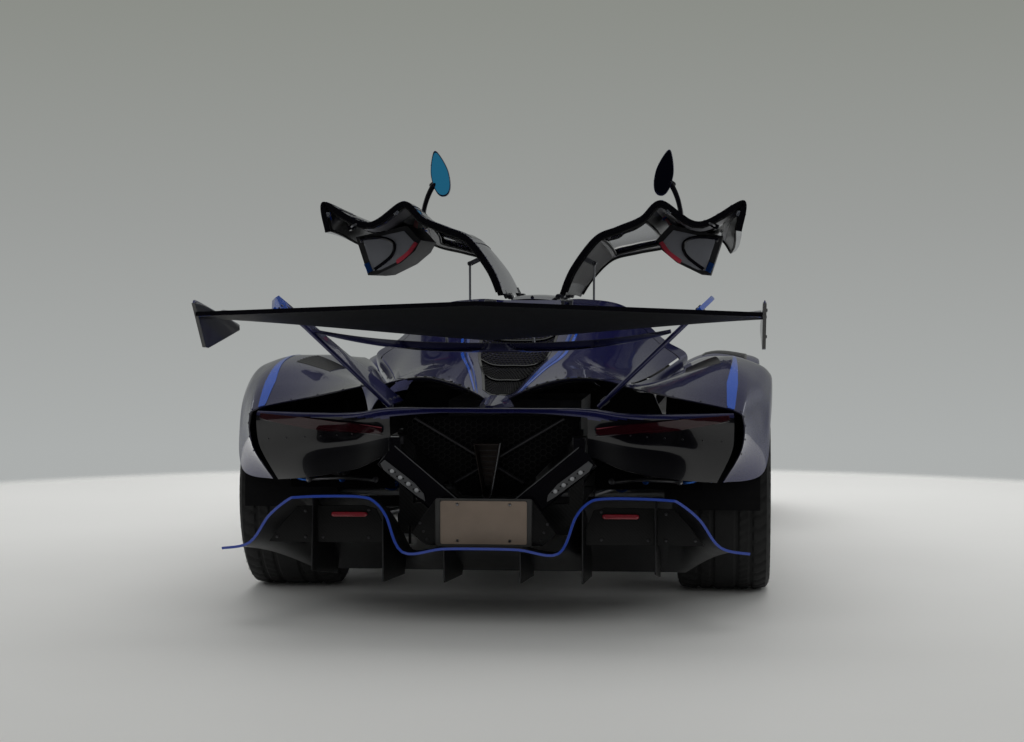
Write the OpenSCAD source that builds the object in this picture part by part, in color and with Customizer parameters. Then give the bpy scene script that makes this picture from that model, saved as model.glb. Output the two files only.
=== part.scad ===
// Track hypercar with gull-wing doors, closed coupe body on a carbon tub.
// Frame: +Y forward, +X to the right, +Z up, origin on the ground under the middle of the car.
// Doors are drawn open; every other panel is drawn shut. Sizes are in millimetres.

/* [Body] */
// Distance between the axles
wheelbase = 2700; // [2250:10:3240]
// From the front axle to the splitter's tip
front_overhang = 1173; // [980:1:1400]
// From the rear axle to the wing's trailing edge
rear_overhang = 1193; // [1000:1:1430]
// Width over the rear fenders
body_w = 1995; // [1850:1:2390]
// Height of the roof over the ground
roof_h = 1108; // [1000:1:1330]
// Thickness of the outer body panels
skin_t = 5; // [4:0.5:8]
// Thickness of the glazing
glass_t = 5; // [4:0.5:6]

/* [Wheels] */
// Outer diameter of the front tyres
front_tyre_d = 690; // [600:1:710]
// Width of the front tyres
front_tyre_w = 265; // [220:1:290]
// Outer diameter of the rear tyres
rear_tyre_d = 725; // [620:1:745]
// Width of the rear tyres
rear_tyre_w = 345; // [290:1:365]
// Diameter of the front rims at the tyre's bead
front_rim_d = 508; // [430:1:540]
// Diameter of the rear rims at the tyre's bead
rear_rim_d = 533; // [450:1:560]
// From the body's side to the outer face of the rear tyres
rear_inset = 12; // [5:1:60]
// From the body's side to the outer face of the front tyres
front_inset = 38; // [25:1:80]
// Radius of the stub axles that carry the hubs
stub_r = 25; // [20:0.5:30]
// Radial clearance of shafts and pins in their bores
fit = 0.05; // [0.02:0.01:0.1]

/* [Doors] */
// Angle by which the doors stand open
door_open = 64; // [45:1:70]
// Thickness of the doors
door_t = 24; // [18:1:28]
// Radius of the door hinge pins
hinge_pin_r = 6; // [4:0.5:8]

/* [Aero] */
// Length of the wing's chord
wing_chord = 470; // [390:1:520]
// Thickness of the wing's end plates
endplate_t = 12; // [8:0.5:16]
// Thickness of the wing's struts
strut_t = 18; // [12:0.5:24]
// Height of the flat floor over the ground
ride_h = 100; // [85:1:120]

/* [Mounts] */
// Radius of the sockets in the jacking pads
jack_r = 12; // [8:0.5:14]
// Thickness of the jacking pads
jack_depth = 19; // [12:1:21]

/* [Hidden] */
$fn = 48;

body_l = wheelbase + front_overhang + rear_overhang;
rear_axle_y = rear_overhang - body_l / 2;
front_axle_y = rear_axle_y + wheelbase;
half_w = body_w / 2;
front_wheel_x = half_w - front_inset - front_tyre_w / 2;
rear_wheel_x = half_w - rear_inset - rear_tyre_w / 2;
front_arch_r = front_tyre_d / 2 + 70;
rear_arch_r = rear_tyre_d / 2 + 50;
kingpin_x = front_wheel_x - 67;

paint = [0.09, 0.08, 0.22];
carbon = [0.06, 0.06, 0.07];
alloy = [0.55, 0.56, 0.58];
glass_grey = [0.25, 0.27, 0.33];

// ---- places on the body -------------------------------------------------------------------
// The body's points are given on the standard car, and follow its length, width and height.
std_wheelbase = 2700;
std_front = 1173;
std_rear = 1193;
std_half_w = 997.5;
std_roof = 1108;
std_front_axle = 1360;
std_rear_axle = -1340;
function along(y) =
    y > std_front_axle ? front_axle_y + (y - std_front_axle) * front_overhang / std_front
    : y < std_rear_axle ? rear_axle_y + (y - std_rear_axle) * rear_overhang / std_rear
    : rear_axle_y + (y - std_rear_axle) * wheelbase / std_wheelbase;
function across(x) = x * half_w / std_half_w;
function high(z) = z * roof_h / std_roof;
function at(p) = [across(p[0]), along(p[1]), high(p[2])];
function place(g) = [for (row = g) [for (p = row) at(p)]];

// ---- smooth surfaces through a grid of points -----------------------------------------------
function unit(v) = v / max(norm(v), 0.000001);
function clamp(i, n) = max(0, min(i, n - 1));
function blend4(a, b, c, d, t) =
    0.5 * (2 * b + (c - a) * t + (2 * a - 5 * b + 4 * c - d) * t * t
        + (3 * b - 3 * c + d - a) * t * t * t);
function on_line(p, v) =
    let (n = len(p), j = min(floor(v), n - 2))
    blend4(p[clamp(j - 1, n)], p[j], p[j + 1], p[clamp(j + 2, n)], v - j);
function on_grid(g, u, v) =
    let (n = len(g), i = min(floor(u), n - 2))
    blend4(on_line(g[clamp(i - 1, n)], v), on_line(g[i], v), on_line(g[i + 1], v),
        on_line(g[clamp(i + 2, n)], v), u - i);
function steps(from, to, n) = [for (k = [0 : n]) from + (to - from) * k / n];
function patch_at(g, us, vs) = [for (u = us) [for (v = vs) on_grid(g, u, v)]];
function patch(g, u, nu, v, nv) = patch_at(g, steps(u[0], u[1], nu), steps(v[0], v[1], nv));
function normal_at(g, i, j) =
    let (m = len(g), n = len(g[0]))
    unit(cross(g[min(i + 1, m - 1)][j] - g[max(i - 1, 0)][j],
        g[i][min(j + 1, n - 1)] - g[i][max(j - 1, 0)]));
function lifted(g, d) =
    [for (i = [0 : len(g) - 1]) [for (j = [0 : len(g[0]) - 1]) g[i][j] + d * normal_at(g, i, j)]];
function mirrored(p) = [-p[0], p[1], p[2]];
// A row given from the middle outwards, made into a row over the full width
function both_sides(row) =
    concat([for (k = [len(row) - 1 : -1 : 1]) mirrored(row[k])], row);
function full_width(g) = [for (row = g) both_sides(row)];

// Gap between a bracket and the panel that rests on it
seat_gap = 0.4;
pad_r = 5;
function facing(g, u, v) =
    let (e = 0.02, p = on_grid(g, u, v),
        n = unit(cross(on_grid(g, u + e, v) - p, on_grid(g, u, v + e) - p)))
    n[2] < 0 ? -n : n;
// Highest place for the flat top of a pad of radius pad_r under a sheet of thickness t
function pad_under(g, u, v, t) =
    let (n = facing(g, u, v), q = on_grid(g, u, v) - t * n)
    q - [0, 0, pad_r * norm([n[0], n[1]]) / n[2] + seat_gap];
// Lowest place for the flat foot of a pad of radius pad_r on top of a sheet
function pad_over(g, u, v) =
    let (n = facing(g, u, v))
    on_grid(g, u, v) + [0, 0, pad_r * norm([n[0], n[1]]) / n[2] + seat_gap];
// A round post from the height z up or down to p
module post(p, z) {
    translate([p[0], p[1], min(z, p[2])]) cylinder(r = pad_r, h = abs(p[2] - z), $fn = 24);
}

// A closed sheet of thickness t between the grid g and its offset. side is 1 where the outside
// is on the side of the cross product of the two grid directions, and -1 where it is not.
// Cells for which keep(i, j) is false are left open.
module sheet(g, t, side = 1, keep = function (i, j) true) {
    m = len(g) - 1;
    n = len(g[0]) - 1;
    inner = lifted(g, -side * t);
    count = (m + 1) * (n + 1);
    points = concat([for (row = g) each row], [for (row = inner) each row]);
    on = function (i, j) i >= 0 && j >= 0 && i < m && j < n && keep(i, j);
    id = function (i, j) i * (n + 1) + j;
    faces = [for (i = [0 : m - 1]) for (j = [0 : n - 1]) if (on(i, j))
        let (a = id(i, j), b = id(i + 1, j), c = id(i + 1, j + 1), d = id(i, j + 1), k = count)
        each concat(
            [[a, d, c], [a, c, b], [a + k, c + k, d + k], [a + k, b + k, c + k]],
            on(i, j - 1) ? [] : [[a, b, b + k], [a, b + k, a + k]],
            on(i - 1, j) ? [] : [[d, a, a + k], [d, a + k, d + k]],
            on(i, j + 1) ? [] : [[c, d, d + k], [c, d + k, c + k]],
            on(i + 1, j) ? [] : [[b, c, c + k], [b, c + k, b + k]])];
    polyhedron(points = points, convexity = 8,
        faces = side > 0 ? faces : [for (f = faces) [f[0], f[2], f[1]]]);
}

// A solid through closed rings of points, with its two ends capped
module rings(r) {
    m = len(r);
    n = len(r[0]);
    walls = [for (i = [0 : m - 2]) for (j = [0 : n - 1])
        let (a = i * n + j, b = i * n + (j + 1) % n, c = a + n, d = b + n)
        each [[a, c, d], [a, d, b]]];
    caps = [[for (j = [0 : n - 1]) j], [for (j = [n - 1 : -1 : 0]) (m - 1) * n + j]];
    polyhedron(points = [for (ring = r) each ring], faces = concat(walls, caps), convexity = 6);
}

// ---- small building blocks ------------------------------------------------------------------
module pair() {
    children();
    mirror([1, 0, 0]) children();
}

module rod(p, q, r, fn = 20) {
    d = q - p;
    length = norm(d);
    translate(p)
        rotate([0, acos(d[2] / length), atan2(d[1], d[0])])
            cylinder(r = r, h = length, $fn = fn);
}

module block(low, up) {
    translate(low) cube(up - low);
}

// A plate given by its outline over (y, z), from x0 to x1
module side_plate(outline, x0, x1) {
    translate([x0, 0, 0]) rotate([90, 0, 90]) linear_extrude(x1 - x0) polygon(outline);
}

// A plate given by its outline over (x, z), from y0 forward to y1
module cross_plate(outline, y0, y1) {
    translate([0, y1, 0]) rotate([90, 0, 0]) linear_extrude(y1 - y0) polygon(outline);
}

module along_x(r, h) {
    rotate([0, 90, 0]) cylinder(r = r, h = h);
}

// ---- body shapes, right-hand side: rows run from the front to the rear --------------------------
nose_grid = [
    [[0, 2495, 215], [80, 2482, 208], [160, 2450, 196], [270, 2385, 180]],
    [[0, 2400, 292], [90, 2390, 284], [180, 2360, 262], [300, 2305, 232]],
    [[0, 2150, 412], [110, 2145, 400], [220, 2130, 372], [345, 2105, 330]],
    [[0, 1850, 525], [125, 1850, 514], [250, 1845, 480], [390, 1835, 432]],
    [[0, 1500, 640], [150, 1500, 630], [300, 1500, 598], [450, 1500, 546]],
    [[0, 1180, 722], [185, 1172, 712], [350, 1130, 696], [500, 1060, 668]]];
front_fender_grid = [
    [[330, 2330, 225], [450, 2325, 290], [640, 2290, 335], [800, 2220, 325], [880, 2150, 265],
        [900, 2080, 185]],
    [[365, 2090, 340], [490, 2090, 452], [690, 2070, 530], [855, 2030, 505], [925, 1985, 410],
        [940, 1925, 275]],
    [[405, 1850, 440], [525, 1840, 585], [720, 1820, 682], [885, 1805, 650], [950, 1790, 540],
        [962, 1775, 355]],
    [[440, 1600, 550], [555, 1600, 690], [740, 1595, 775], [905, 1600, 752], [968, 1620, 712],
        [978, 1650, 650]],
    [[475, 1360, 625], [585, 1360, 748], [748, 1360, 818], [912, 1360, 805], [972, 1360, 786],
        [982, 1360, 764]],
    [[510, 1130, 655], [600, 1135, 752], [742, 1140, 806], [905, 1125, 778], [965, 1095, 705],
        [976, 1067, 642]],
    [[552, 985, 655], [640, 975, 708], [740, 965, 735], [870, 955, 695], [940, 950, 560],
        [950, 944, 355]],
    [[610, 960, 640], [672, 915, 645], [755, 810, 640], [850, 765, 600], [900, 760, 480],
        [905, 790, 340]]];
side_pod_grid = [
    [[610, 880, 420], [700, 885, 395], [800, 890, 330], [850, 895, 230], [845, 895, 125]],
    [[600, 500, 470], [705, 505, 440], [805, 510, 350], [862, 515, 235], [862, 515, 115]],
    [[600, 50, 480], [715, 50, 455], [822, 50, 370], [885, 50, 245], [885, 50, 112]],
    [[610, -420, 485], [745, -420, 468], [865, -420, 400], [920, -420, 265], [912, -420, 112]],
    [[620, -880, 490], [760, -880, 480], [890, -880, 430], [945, -880, 285], [930, -880, 112]]];
rear_fender_grid = [
    [[655, -480, 801], [690, -480, 836], [735, -490, 838], [845, -530, 768], [920, -565, 640],
        [930, -590, 505]],
    [[567, -800, 751], [650, -800, 822], [770, -800, 862], [895, -800, 800], [960, -810, 670],
        [965, -860, 500]],
    [[520, -1080, 735], [645, -1080, 812], [800, -1080, 872], [930, -1080, 822], [982, -1065, 735],
        [986, -1049, 656]],
    [[495, -1340, 750], [645, -1340, 815], [822, -1340, 874], [942, -1340, 848], [987, -1340, 812],
        [994, -1340, 778]],
    [[480, -1600, 775], [645, -1600, 812], [836, -1595, 848], [938, -1605, 800], [978, -1622, 725],
        [984, -1640, 656]],
    [[472, -1790, 788], [645, -1795, 788], [846, -1795, 786], [918, -1790, 735], [950, -1772, 600],
        [955, -1748, 470]],
    [[468, -1955, 790], [645, -1960, 752], [848, -1962, 708], [886, -1955, 665], [876, -1930, 560],
        [812, -1885, 446]]];
fuselage_grid = [
    [[0, -468, 1086], [112, -468, 1086], [232, -468, 1090], [400, -468, 1058], [560, -468, 922],
        [655, -468, 860], [640, -468, 775]],
    [[0, -800, 980], [100, -800, 986], [215, -800, 1010], [392, -800, 940], [490, -800, 860],
        [545, -800, 790], [558, -800, 739]],
    [[0, -1200, 852], [86, -1200, 856], [185, -1200, 892], [335, -1200, 850], [420, -1200, 805],
        [470, -1200, 768], [506, -1200, 735]],
    [[0, -1500, 786], [56, -1500, 790], [126, -1500, 828], [262, -1490, 832], [352, -1480, 818],
        [425, -1480, 792], [484, -1480, 758]],
    [[0, -1860, 728], [28, -1860, 730], [70, -1850, 756], [160, -1790, 790], [262, -1700, 808],
        [372, -1640, 800], [476, -1640, 772]]];
door_grid = [
    [[122, 440, 1080], [235, 450, 1064], [350, 500, 1022], [430, 620, 935], [510, 795, 832],
        [585, 905, 750], [615, 880, 665], [665, 840, 590], [625, 780, 512]],
    [[122, 330, 1091], [240, 330, 1086], [372, 350, 1042], [458, 420, 962], [540, 520, 875],
        [630, 600, 800], [640, 600, 700], [700, 580, 600], [650, 545, 508]],
    [[122, 150, 1096], [242, 150, 1096], [388, 150, 1060], [474, 160, 985], [556, 170, 905],
        [650, 180, 842], [645, 190, 705], [730, 180, 600], [670, 170, 512]],
    [[122, -120, 1098], [242, -120, 1101], [396, -120, 1070], [480, -120, 1000], [560, -120, 925],
        [660, -120, 868], [648, -120, 702], [765, -120, 590], [685, -120, 516]],
    [[122, -440, 1092], [242, -440, 1098], [400, -440, 1066], [480, -440, 1000], [560, -440, 930],
        [662, -440, 880], [650, -440, 700], [812, -440, 570], [690, -440, 520]]];
glass_grid = [
    [[0, 455, 1086], [120, 457, 1080], [230, 467, 1062], [329, 515, 1020]],
    [[0, 690, 992], [150, 684, 980], [300, 660, 952], [418, 628, 930]],
    [[0, 930, 862], [190, 920, 848], [360, 880, 832], [498, 808, 824]],
    [[0, 1172, 728], [205, 1160, 716], [395, 1085, 712], [572, 925, 740]]];
tail_grid = [
    [[0, -1700, 692], [170, -1700, 692], [345, -1700, 690], [480, -1725, 682], [660, -1790, 678],
        [835, -1830, 676]],
    [[0, -1950, 708], [170, -1950, 708], [345, -1945, 706], [480, -1915, 690], [660, -1900, 686],
        [842, -1905, 688]],
    [[0, -2150, 722], [170, -2150, 722], [345, -2146, 720], [480, -2098, 700], [660, -2046, 696],
        [848, -1985, 696]],
    [[0, -2156, 704], [170, -2156, 704], [345, -2152, 690], [480, -2106, 668], [660, -2054, 655],
        [850, -1990, 640]],
    [[0, -2130, 650], [170, -2130, 650], [345, -2135, 620], [480, -2062, 590], [660, -2004, 572],
        [842, -1955, 560]],
    [[0, -2140, 560], [170, -2140, 560], [345, -2140, 555], [480, -2082, 500], [650, -2010, 465],
        [790, -1900, 446]]];
diffuser_edge = [
    [0, 264], [130, 262], [262, 250], [318, 370], [362, 420], [410, 434], [520, 434], [630, 428],
    [668, 418], [738, 360], [806, 268], [905, 246]];

nose_pts = place(full_width(nose_grid));
fender_pts = place(front_fender_grid);
rear_fender_pts = place(rear_fender_grid);
fuselage_pts = place(full_width(fuselage_grid));
tail_pts = place(full_width(tail_grid));
door_pts = place(door_grid);

// Rows of the diffuser: its raised trailing edge swept forward and down to the floor
diffuser_n = len(diffuser_edge) - 1;
diffuser_pts = [for (k = [0 : 4]) [for (p = both_sides(diffuser_edge))
    let (s = k / 4, out = max(0, (abs(p[0]) - 560) / 345), lift = max(0, (abs(p[0]) - 262) / 640))
    at([p[0] * (1 - 0.25 * s * out), -2400 + 640 * s + 90 * lift * (1 - s),
        p[1] + (112 - p[1]) * (1 - cos(90 * s))])]];

// ---- chassis ----------------------------------------------------------------------------------
floor_t = 25;
sill_x = across(560);
sill_in = across(492);
foot_x = across(430);
tub_front = along(1250);
tub_back = along(-520);
sill_front = along(640);
bulkhead_t = 40;
jack_x = across(520);
jack_front_y = along(560);
jack_rear_y = along(-430);
jack_pad_w = 60;
beam_x = across(300);

module tub() {
    color(carbon) difference() {
        union() {
            // floor
            translate([0, 0, ride_h]) linear_extrude(floor_t) polygon([
                [-sill_x, tub_back], [sill_x, tub_back], [sill_x, sill_front],
                [foot_x, tub_front], [-foot_x, tub_front], [-sill_x, sill_front]]);
            // sills and footwell walls
            pair() translate([0, 0, ride_h]) linear_extrude(high(460) - ride_h) polygon([
                [sill_in, tub_back], [sill_x, tub_back], [sill_x, sill_front],
                [foot_x, tub_front], [foot_x - bulkhead_t, tub_front], [sill_in, sill_front]]);
            // rear bulkhead behind the seats
            cross_plate([[-sill_x, ride_h], [sill_x, ride_h], [sill_x, high(600)],
                [across(400), high(960)], [across(96), high(1040)], [-across(96), high(1040)],
                [-across(400), high(960)], [-sill_x, high(600)]], tub_back, tub_back + bulkhead_t);
            // front bulkhead
            cross_plate([[-foot_x, ride_h], [foot_x, ride_h], [foot_x, high(560)],
                [across(330), high(630)], [-across(330), high(630)], [-foot_x, high(560)]],
                tub_front - bulkhead_t, tub_front);
            // centre tunnel
            cross_plate([[-90, ride_h], [90, ride_h], [70, high(320)], [-70, high(320)]],
                tub_back, sill_front);
            // crash box under the nose
            side_plate([[tub_front, ride_h], [along(2180), ride_h], [along(2180), high(260)],
                [along(1800), high(400)], [tub_front, high(520)]], -across(150), across(150));
            // front rails that carry the wishbones
            pair() block([foot_x - bulkhead_t, tub_front - 1, high(190)],
                [foot_x, along(1500), high(496)]);
            // rear subframe beams
            pair() side_plate([[along(-2060), high(300)], [tub_back, high(300)],
                [tub_back, high(380)], [along(-2060), high(380)]], beam_x - 25, beam_x + 25);
            // rear crossmember behind the gearbox
            block([-beam_x, along(-2060), high(300)], [beam_x, along(-2020), high(380)]);
            // legs from the beams up to the tail
            pair() block([beam_x - 25, along(-2060), high(380)],
                [beam_x + 25, along(-2000), high(640)]);
            // posts under the nose, the deck and the tail, and down to the diffuser
            pair() {
                post(pad_under(nose_pts, 4.75, 4, skin_t), high(500));
                post(pad_under(nose_pts, 2, 4, skin_t), high(200));
                post(pad_under(fuselage_pts, 0.1, 8, skin_t), high(1000));
                post(pad_under(tail_pts, 4 / 3, 6.75, skin_t), high(600));
                post(pad_over(diffuser_pts, 2.5, diffuser_n + 2.5), high(320));
            }
            // shelf under the roof spine
            block([-across(70), tub_back + bulkhead_t - 1, high(1010)],
                [across(70), along(-442), high(1046) - seat_gap]);
            // pins of the gas struts
            pair() translate([body_pin[0], tub_back + bulkhead_t + body_pin_l, body_pin[2]])
                rotate([90, 0, 0]) cylinder(r = gas_pin_r, h = body_pin_l + 5, $fn = 24);
        }
        // notches for the drive shafts
        pair() block([beam_x - 30, rear_axle_y - 32, high(328)],
            [beam_x + 30, rear_axle_y + 32, high(400)]);
    }
}

// Jacking pads under the floor, each with a socket for the jack's pin
module jack_pads() {
    color(alloy) pair() for (y = [jack_front_y, jack_rear_y])
        translate([jack_x, y, ride_h - seat_gap - jack_depth / 2]) difference() {
            cube([jack_pad_w, jack_pad_w, jack_depth], center = true);
            cylinder(r = jack_r, h = jack_depth + 2, center = true);
        }
}

// ---- roof and glazing -----------------------------------------------------------------------------
hinge_x = across(104);
hinge_z = high(1100);
hinge_front_y = along(290);
hinge_rear_y = along(-290);
lug_l = 30;
lug_gap = 1;
spine_w = across(88);

module roof_spine() {
    color(paint) difference() {
        union() {
            side_plate([[along(-460), high(1046)], [along(380), high(1054)], [along(438), high(1066)],
                [along(438), high(1084)], [along(330), high(1098)], [along(100), high(1106)],
                [along(-120), high(1108)], [along(-300), high(1104)], [along(-460), high(1092)]],
                -spine_w, spine_w);
            // hinge lugs
            pair() for (y = [hinge_front_y, hinge_rear_y]) {
                translate([hinge_x, y + lug_l / 2, hinge_z]) rotate([90, 0, 0])
                    cylinder(r = 2 * hinge_pin_r, h = lug_l);
                block([spine_w - 10, y - lug_l / 2, hinge_z - 24], [hinge_x, y + lug_l / 2, hinge_z]);
            }
        }
        pair() for (y = [hinge_front_y, hinge_rear_y])
            translate([hinge_x, y, hinge_z]) rotate([90, 0, 0])
                cylinder(r = hinge_pin_r + fit, h = 2 * lug_l, center = true);
    }
}

windshield_pts = place(full_width(glass_grid));
pillar_t = 26;

module windshield_frame() {
    g = patch(windshield_pts, [0, 3], 12, [0, 6], 24);
    color(carbon) sheet(g, pillar_t, -1,
        function (i, j) i < 1 || i > 10 || j < 2 || j > 21);
}

module windshield() {
    g = patch(windshield_pts, [0.252, 2.748], 10, [0.504, 5.496], 20);
    color(glass_grey) sheet(lifted(g, (pillar_t - glass_t) / 2), glass_t, -1);
}

fender_nu = 24;
rear_fender_nu = 22;
fender_nv = 14;

// ---- front body -------------------------------------------------------------------------------------
module nose() {
    g = patch(nose_pts, [0, 5], 20, [0, 6], 18);
    color(paint) sheet(g, skin_t, 1);
}

module front_fenders() {
    g = patch(fender_pts, [0, 7], fender_nu, [0, 5], fender_nv);
    color(paint) pair() sheet(g, skin_t, 1);
}

module headlights() {
    g = patch(fender_pts, [0.12, 0.95], 5, [1.25, 2.9], 8);
    color("white") pair() sheet(lifted(g, 4), 3.5, 1);
}

splitter_t = 14;
splitter_z = ride_h - seat_gap;

module front_splitter() {
    right = [
        [0, 2533], [70, 2505], [250, 2440], [420, 2455], [640, 2395], [830, 2285], [950, 2100],
        [965, 1900], [930, 1790], [800, 1800], [720, 1850], [0, 1850]];
    outline = concat([for (p = right) [across(p[0]), along(p[1])]],
        [for (k = [len(right) - 2 : -1 : 1]) [-across(right[k][0]), along(right[k][1])]]);
    color(carbon) {
        translate([0, 0, splitter_z - splitter_t]) linear_extrude(splitter_t) polygon(outline);
        // fences at the outer ends
        pair() side_plate([[along(1900), splitter_z - 1], [along(2120), splitter_z - 1],
            [along(2080), high(165)], [along(1900), high(190)]],
            across(938), across(938) + splitter_t / 2);
        // stays up to the nose
        pair() block([across(200), along(2260), splitter_z - 1],
            [across(200) + splitter_t, along(2300), high(240)]);
    }
}

liner_t = 4;

// An arc of a ring in the (y, z) plane, as a band of thickness t inside radius r
function arc_band(r, t, from, to, n = 36) = concat(
    [for (k = [0 : n]) let (a = from + (to - from) * k / n) [r * cos(a), r * sin(a)]],
    [for (k = [n : -1 : 0]) let (a = from + (to - from) * k / n) [(r - t) * cos(a), (r - t) * sin(a)]]);

module liner(y, z, r, x0, x1, from, to) {
    translate([0, y, z]) side_plate(arc_band(r, liner_t, from, to), x0, x1);
}

module arch_liners() {
    front_web_y = tub_front - 10;
    color(carbon) pair() {
        liner(front_axle_y, front_tyre_d / 2, front_arch_r, across(650), across(940), -8, 188);
        // web from the front liner in to the footwell
        cross_plate([[foot_x + seat_gap, high(500)], [foot_x + seat_gap, high(558)],
            [across(600), high(741)], [across(660), high(741)], [across(660), high(718)], [across(610), high(704)]],
            front_web_y, front_web_y + 9);
        post(pad_under(fender_pts, 7 * 14 / fender_nu, 5 * 6 / fender_nv, skin_t),
            front_tyre_d / 2 + front_arch_r - 2);
        liner(rear_axle_y, rear_tyre_d / 2, rear_arch_r, across(600), across(945), -4, 184);
        // plates from the rear liner in to the subframe
        for (d = [-1, 1])
            block([beam_x + 25 + seat_gap, rear_axle_y + d * (rear_arch_r - 4) - 4, high(338)],
                [across(606), rear_axle_y + d * (rear_arch_r - 4) + 4, high(376)]);
        post(pad_under(rear_fender_pts, 6 * 11 / rear_fender_nu, 5 * 6 / fender_nv, skin_t),
            rear_tyre_d / 2 + rear_arch_r - 2);
    }
}

module side_pods() {
    g = patch(place(side_pod_grid), [0, 4], 12, [0, 4], 12);
    color(carbon) pair() {
        sheet(g, skin_t, 1);
        // flanges in to the sill
        for (y = [500, -420]) block([sill_x + seat_gap, along(y) - 20, high(430)],
            [across(618), along(y) + 20, high(y > 0 ? 466 : 480)]);
    }
}

// ---- rear body --------------------------------------------------------------------------------------
module rear_fenders() {
    g = patch(rear_fender_pts, [0, 6], rear_fender_nu, [0, 5], fender_nv);
    color(paint) pair() sheet(g, skin_t, 1);
}

lid_u = [0.33, 4];
lid_v = [1, 11];
lid_gap = 0.12;

// Hinge of the engine cover: a fixed knuckle on the deck between two on the cover
lid_pin_r = 3.5;
lid_knuckle_r = 8;
lid_knuckle_w = 16;
lid_hinge = [across(160), along(-573), on_grid(fuselage_pts, 0.31, 7.45)[2] + 11.5];

// Knuckle of the width w, with a foot reaching to the skin at the distance dy along the car
module lid_knuckle(x, w, dy) {
    foot = on_grid(fuselage_pts, dy > 0 ? 0.2 : 0.42, 7.45);
    translate([x, lid_hinge[1], lid_hinge[2]]) along_x(lid_knuckle_r, w);
    rings([for (e = [x + 1.5, x + w - 1.5]) dy > 0
        ? [[e, lid_hinge[1], lid_hinge[2] + lid_knuckle_r - 3],
            [e, lid_hinge[1] + 4, lid_hinge[2] - lid_knuckle_r + 1], [e, foot[1], foot[2] - 4],
            [e, foot[1], foot[2] + 3]]
        : [[e, lid_hinge[1], lid_hinge[2] + lid_knuckle_r - 3], [e, foot[1], foot[2] + 3],
            [e, foot[1], foot[2] - 4], [e, lid_hinge[1] - 4, lid_hinge[2] - lid_knuckle_r + 1]]]);
}

module rear_deck() {
    g = patch_at(fuselage_pts, concat([0], steps(lid_u[0] - 0.02, 4, 14)), steps(0, 12, 36));
    color(paint) {
        sheet(g, skin_t, 1, function (i, j) i < 1 || j < 3 || j > 32);
        pair() difference() {
            lid_knuckle(lid_hinge[0] - lid_knuckle_w / 2, lid_knuckle_w, 1);
            translate([lid_hinge[0] - lid_knuckle_w, lid_hinge[1], lid_hinge[2]])
                along_x(lid_pin_r + fit, 2 * lid_knuckle_w);
        }
    }
}

module engine_cover() {
    g = patch(fuselage_pts, lid_u, 18, [lid_v[0] + lid_gap, lid_v[1] - lid_gap], 28);
    color(paint) {
        sheet(g, skin_t, 1);
        pair() {
            lid_knuckle(lid_hinge[0] + lid_knuckle_w / 2 + 1, lid_knuckle_w, -1);
            lid_knuckle(lid_hinge[0] - 1.5 * lid_knuckle_w - 1, lid_knuckle_w, -1);
            translate([lid_hinge[0] - lid_knuckle_w, lid_hinge[1], lid_hinge[2]])
                along_x(lid_pin_r, 2 * lid_knuckle_w);
        }
    }
}

module tail_panel() {
    g = patch(tail_pts, [0, 5], 15, [0, 10], 40);
    color(carbon) {
        sheet(g, skin_t, 1, function (i, j) i < 9 || j < 12 || j > 27);
        // spine between the panel's rear edge and the engine cover
        rings([for (k = [0 : 4]) let (y = along(-1868 - 62 * k), w = across(64 - 12 * k),
            z = high(712), top = high(752 - 6 * k))
            [[w, y, z], [w * 0.4, y, top], [-w * 0.4, y, top], [-w, y, z]]]);
    }
}

// A straight bar of square section between two points, with its faces towards the rear
module bar(p, q, w, d) {
    dir = unit(q - p);
    n = [-dir[2], 0, dir[0]];
    y = [0, 1, 0];
    ends = function (c) [c - n * w / 2 + y * d / 2, c + n * w / 2 + y * d / 2,
        c + n * w / 2 - y * d / 2, c - n * w / 2 - y * d / 2];
    rings([ends(p), ends(q)]);
}

arm_w = 92;
arm_d = 40;
arm_top = at([352, -2182, 560]);
arm_foot = at([126, -2200, 374]);
recess_y = along(-2100);

module tail_frame() {
    color(carbon) {
        // arms of the wide V
        pair() bar(arm_top, arm_foot, arm_w, arm_d);
        // crossed stays in the recess
        pair() bar(at([262, -2108, 684]), at([-120, -2108, 458]), 12, 24);
        // back plate behind the stays
        cross_plate([[-across(318), high(690)], [across(318), high(690)], [across(300), high(620)],
            [across(96), high(412)], [-across(96), high(412)], [-across(300), high(620)]],
            recess_y, along(-2084));
        // bosses from the arms in to the legs of the subframe
        pair() block([beam_x - 32, arm_top[1] + arm_d / 2 - 8, high(596)],
            [beam_x + 16, along(-2060) - seat_gap, high(622)]);
        pair() block([across(296), arm_top[1] - arm_d / 2 + 6, high(560)],
            [beam_x + 16, arm_top[1] + arm_d / 2, high(622)]);
    }
}

module rear_lights() {
    g = patch(tail_pts, [2.25, 3.0], 4, [0.15, 3.1], 12);
    color("darkred") {
        sheet(lifted(g, 5.5), 3.5, 1);
        mirror([1, 0, 0]) sheet(lifted(g, 5.5), 3.5, 1);
    }
    color("whitesmoke") pair()
        bar(at([362, -2209, 532]), at([208, -2221, 416]), 34, 12);
}

plate_w = 305;
plate_h = 152;
plate_t = 4;
plate_z = high(262);
plate_y = along(-2290);

module number_plate() {
    color("tan") {
        cross_plate([[-plate_w / 2, plate_z], [plate_w / 2, plate_z],
            [plate_w / 2, plate_z + plate_h], [-plate_w / 2, plate_z + plate_h]],
            plate_y - plate_t - seat_gap, plate_y - seat_gap);
    }
}

pipe_wall = 4;
pipe_front = along(-2108) - 12 - seat_gap;
pipe_rear = along(-2198);

// Narrow V with a rounded foot, drawn in from its outline by the amount d
function pipe_outline(d) = concat(
    [[across(46) - d, high(602) - d], [-across(46) + d, high(602) - d]],
    [for (a = [190 : 20 : 350]) [(across(15) - d) * cos(a), high(427) + (across(15) - d) * sin(a)]]);

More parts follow.
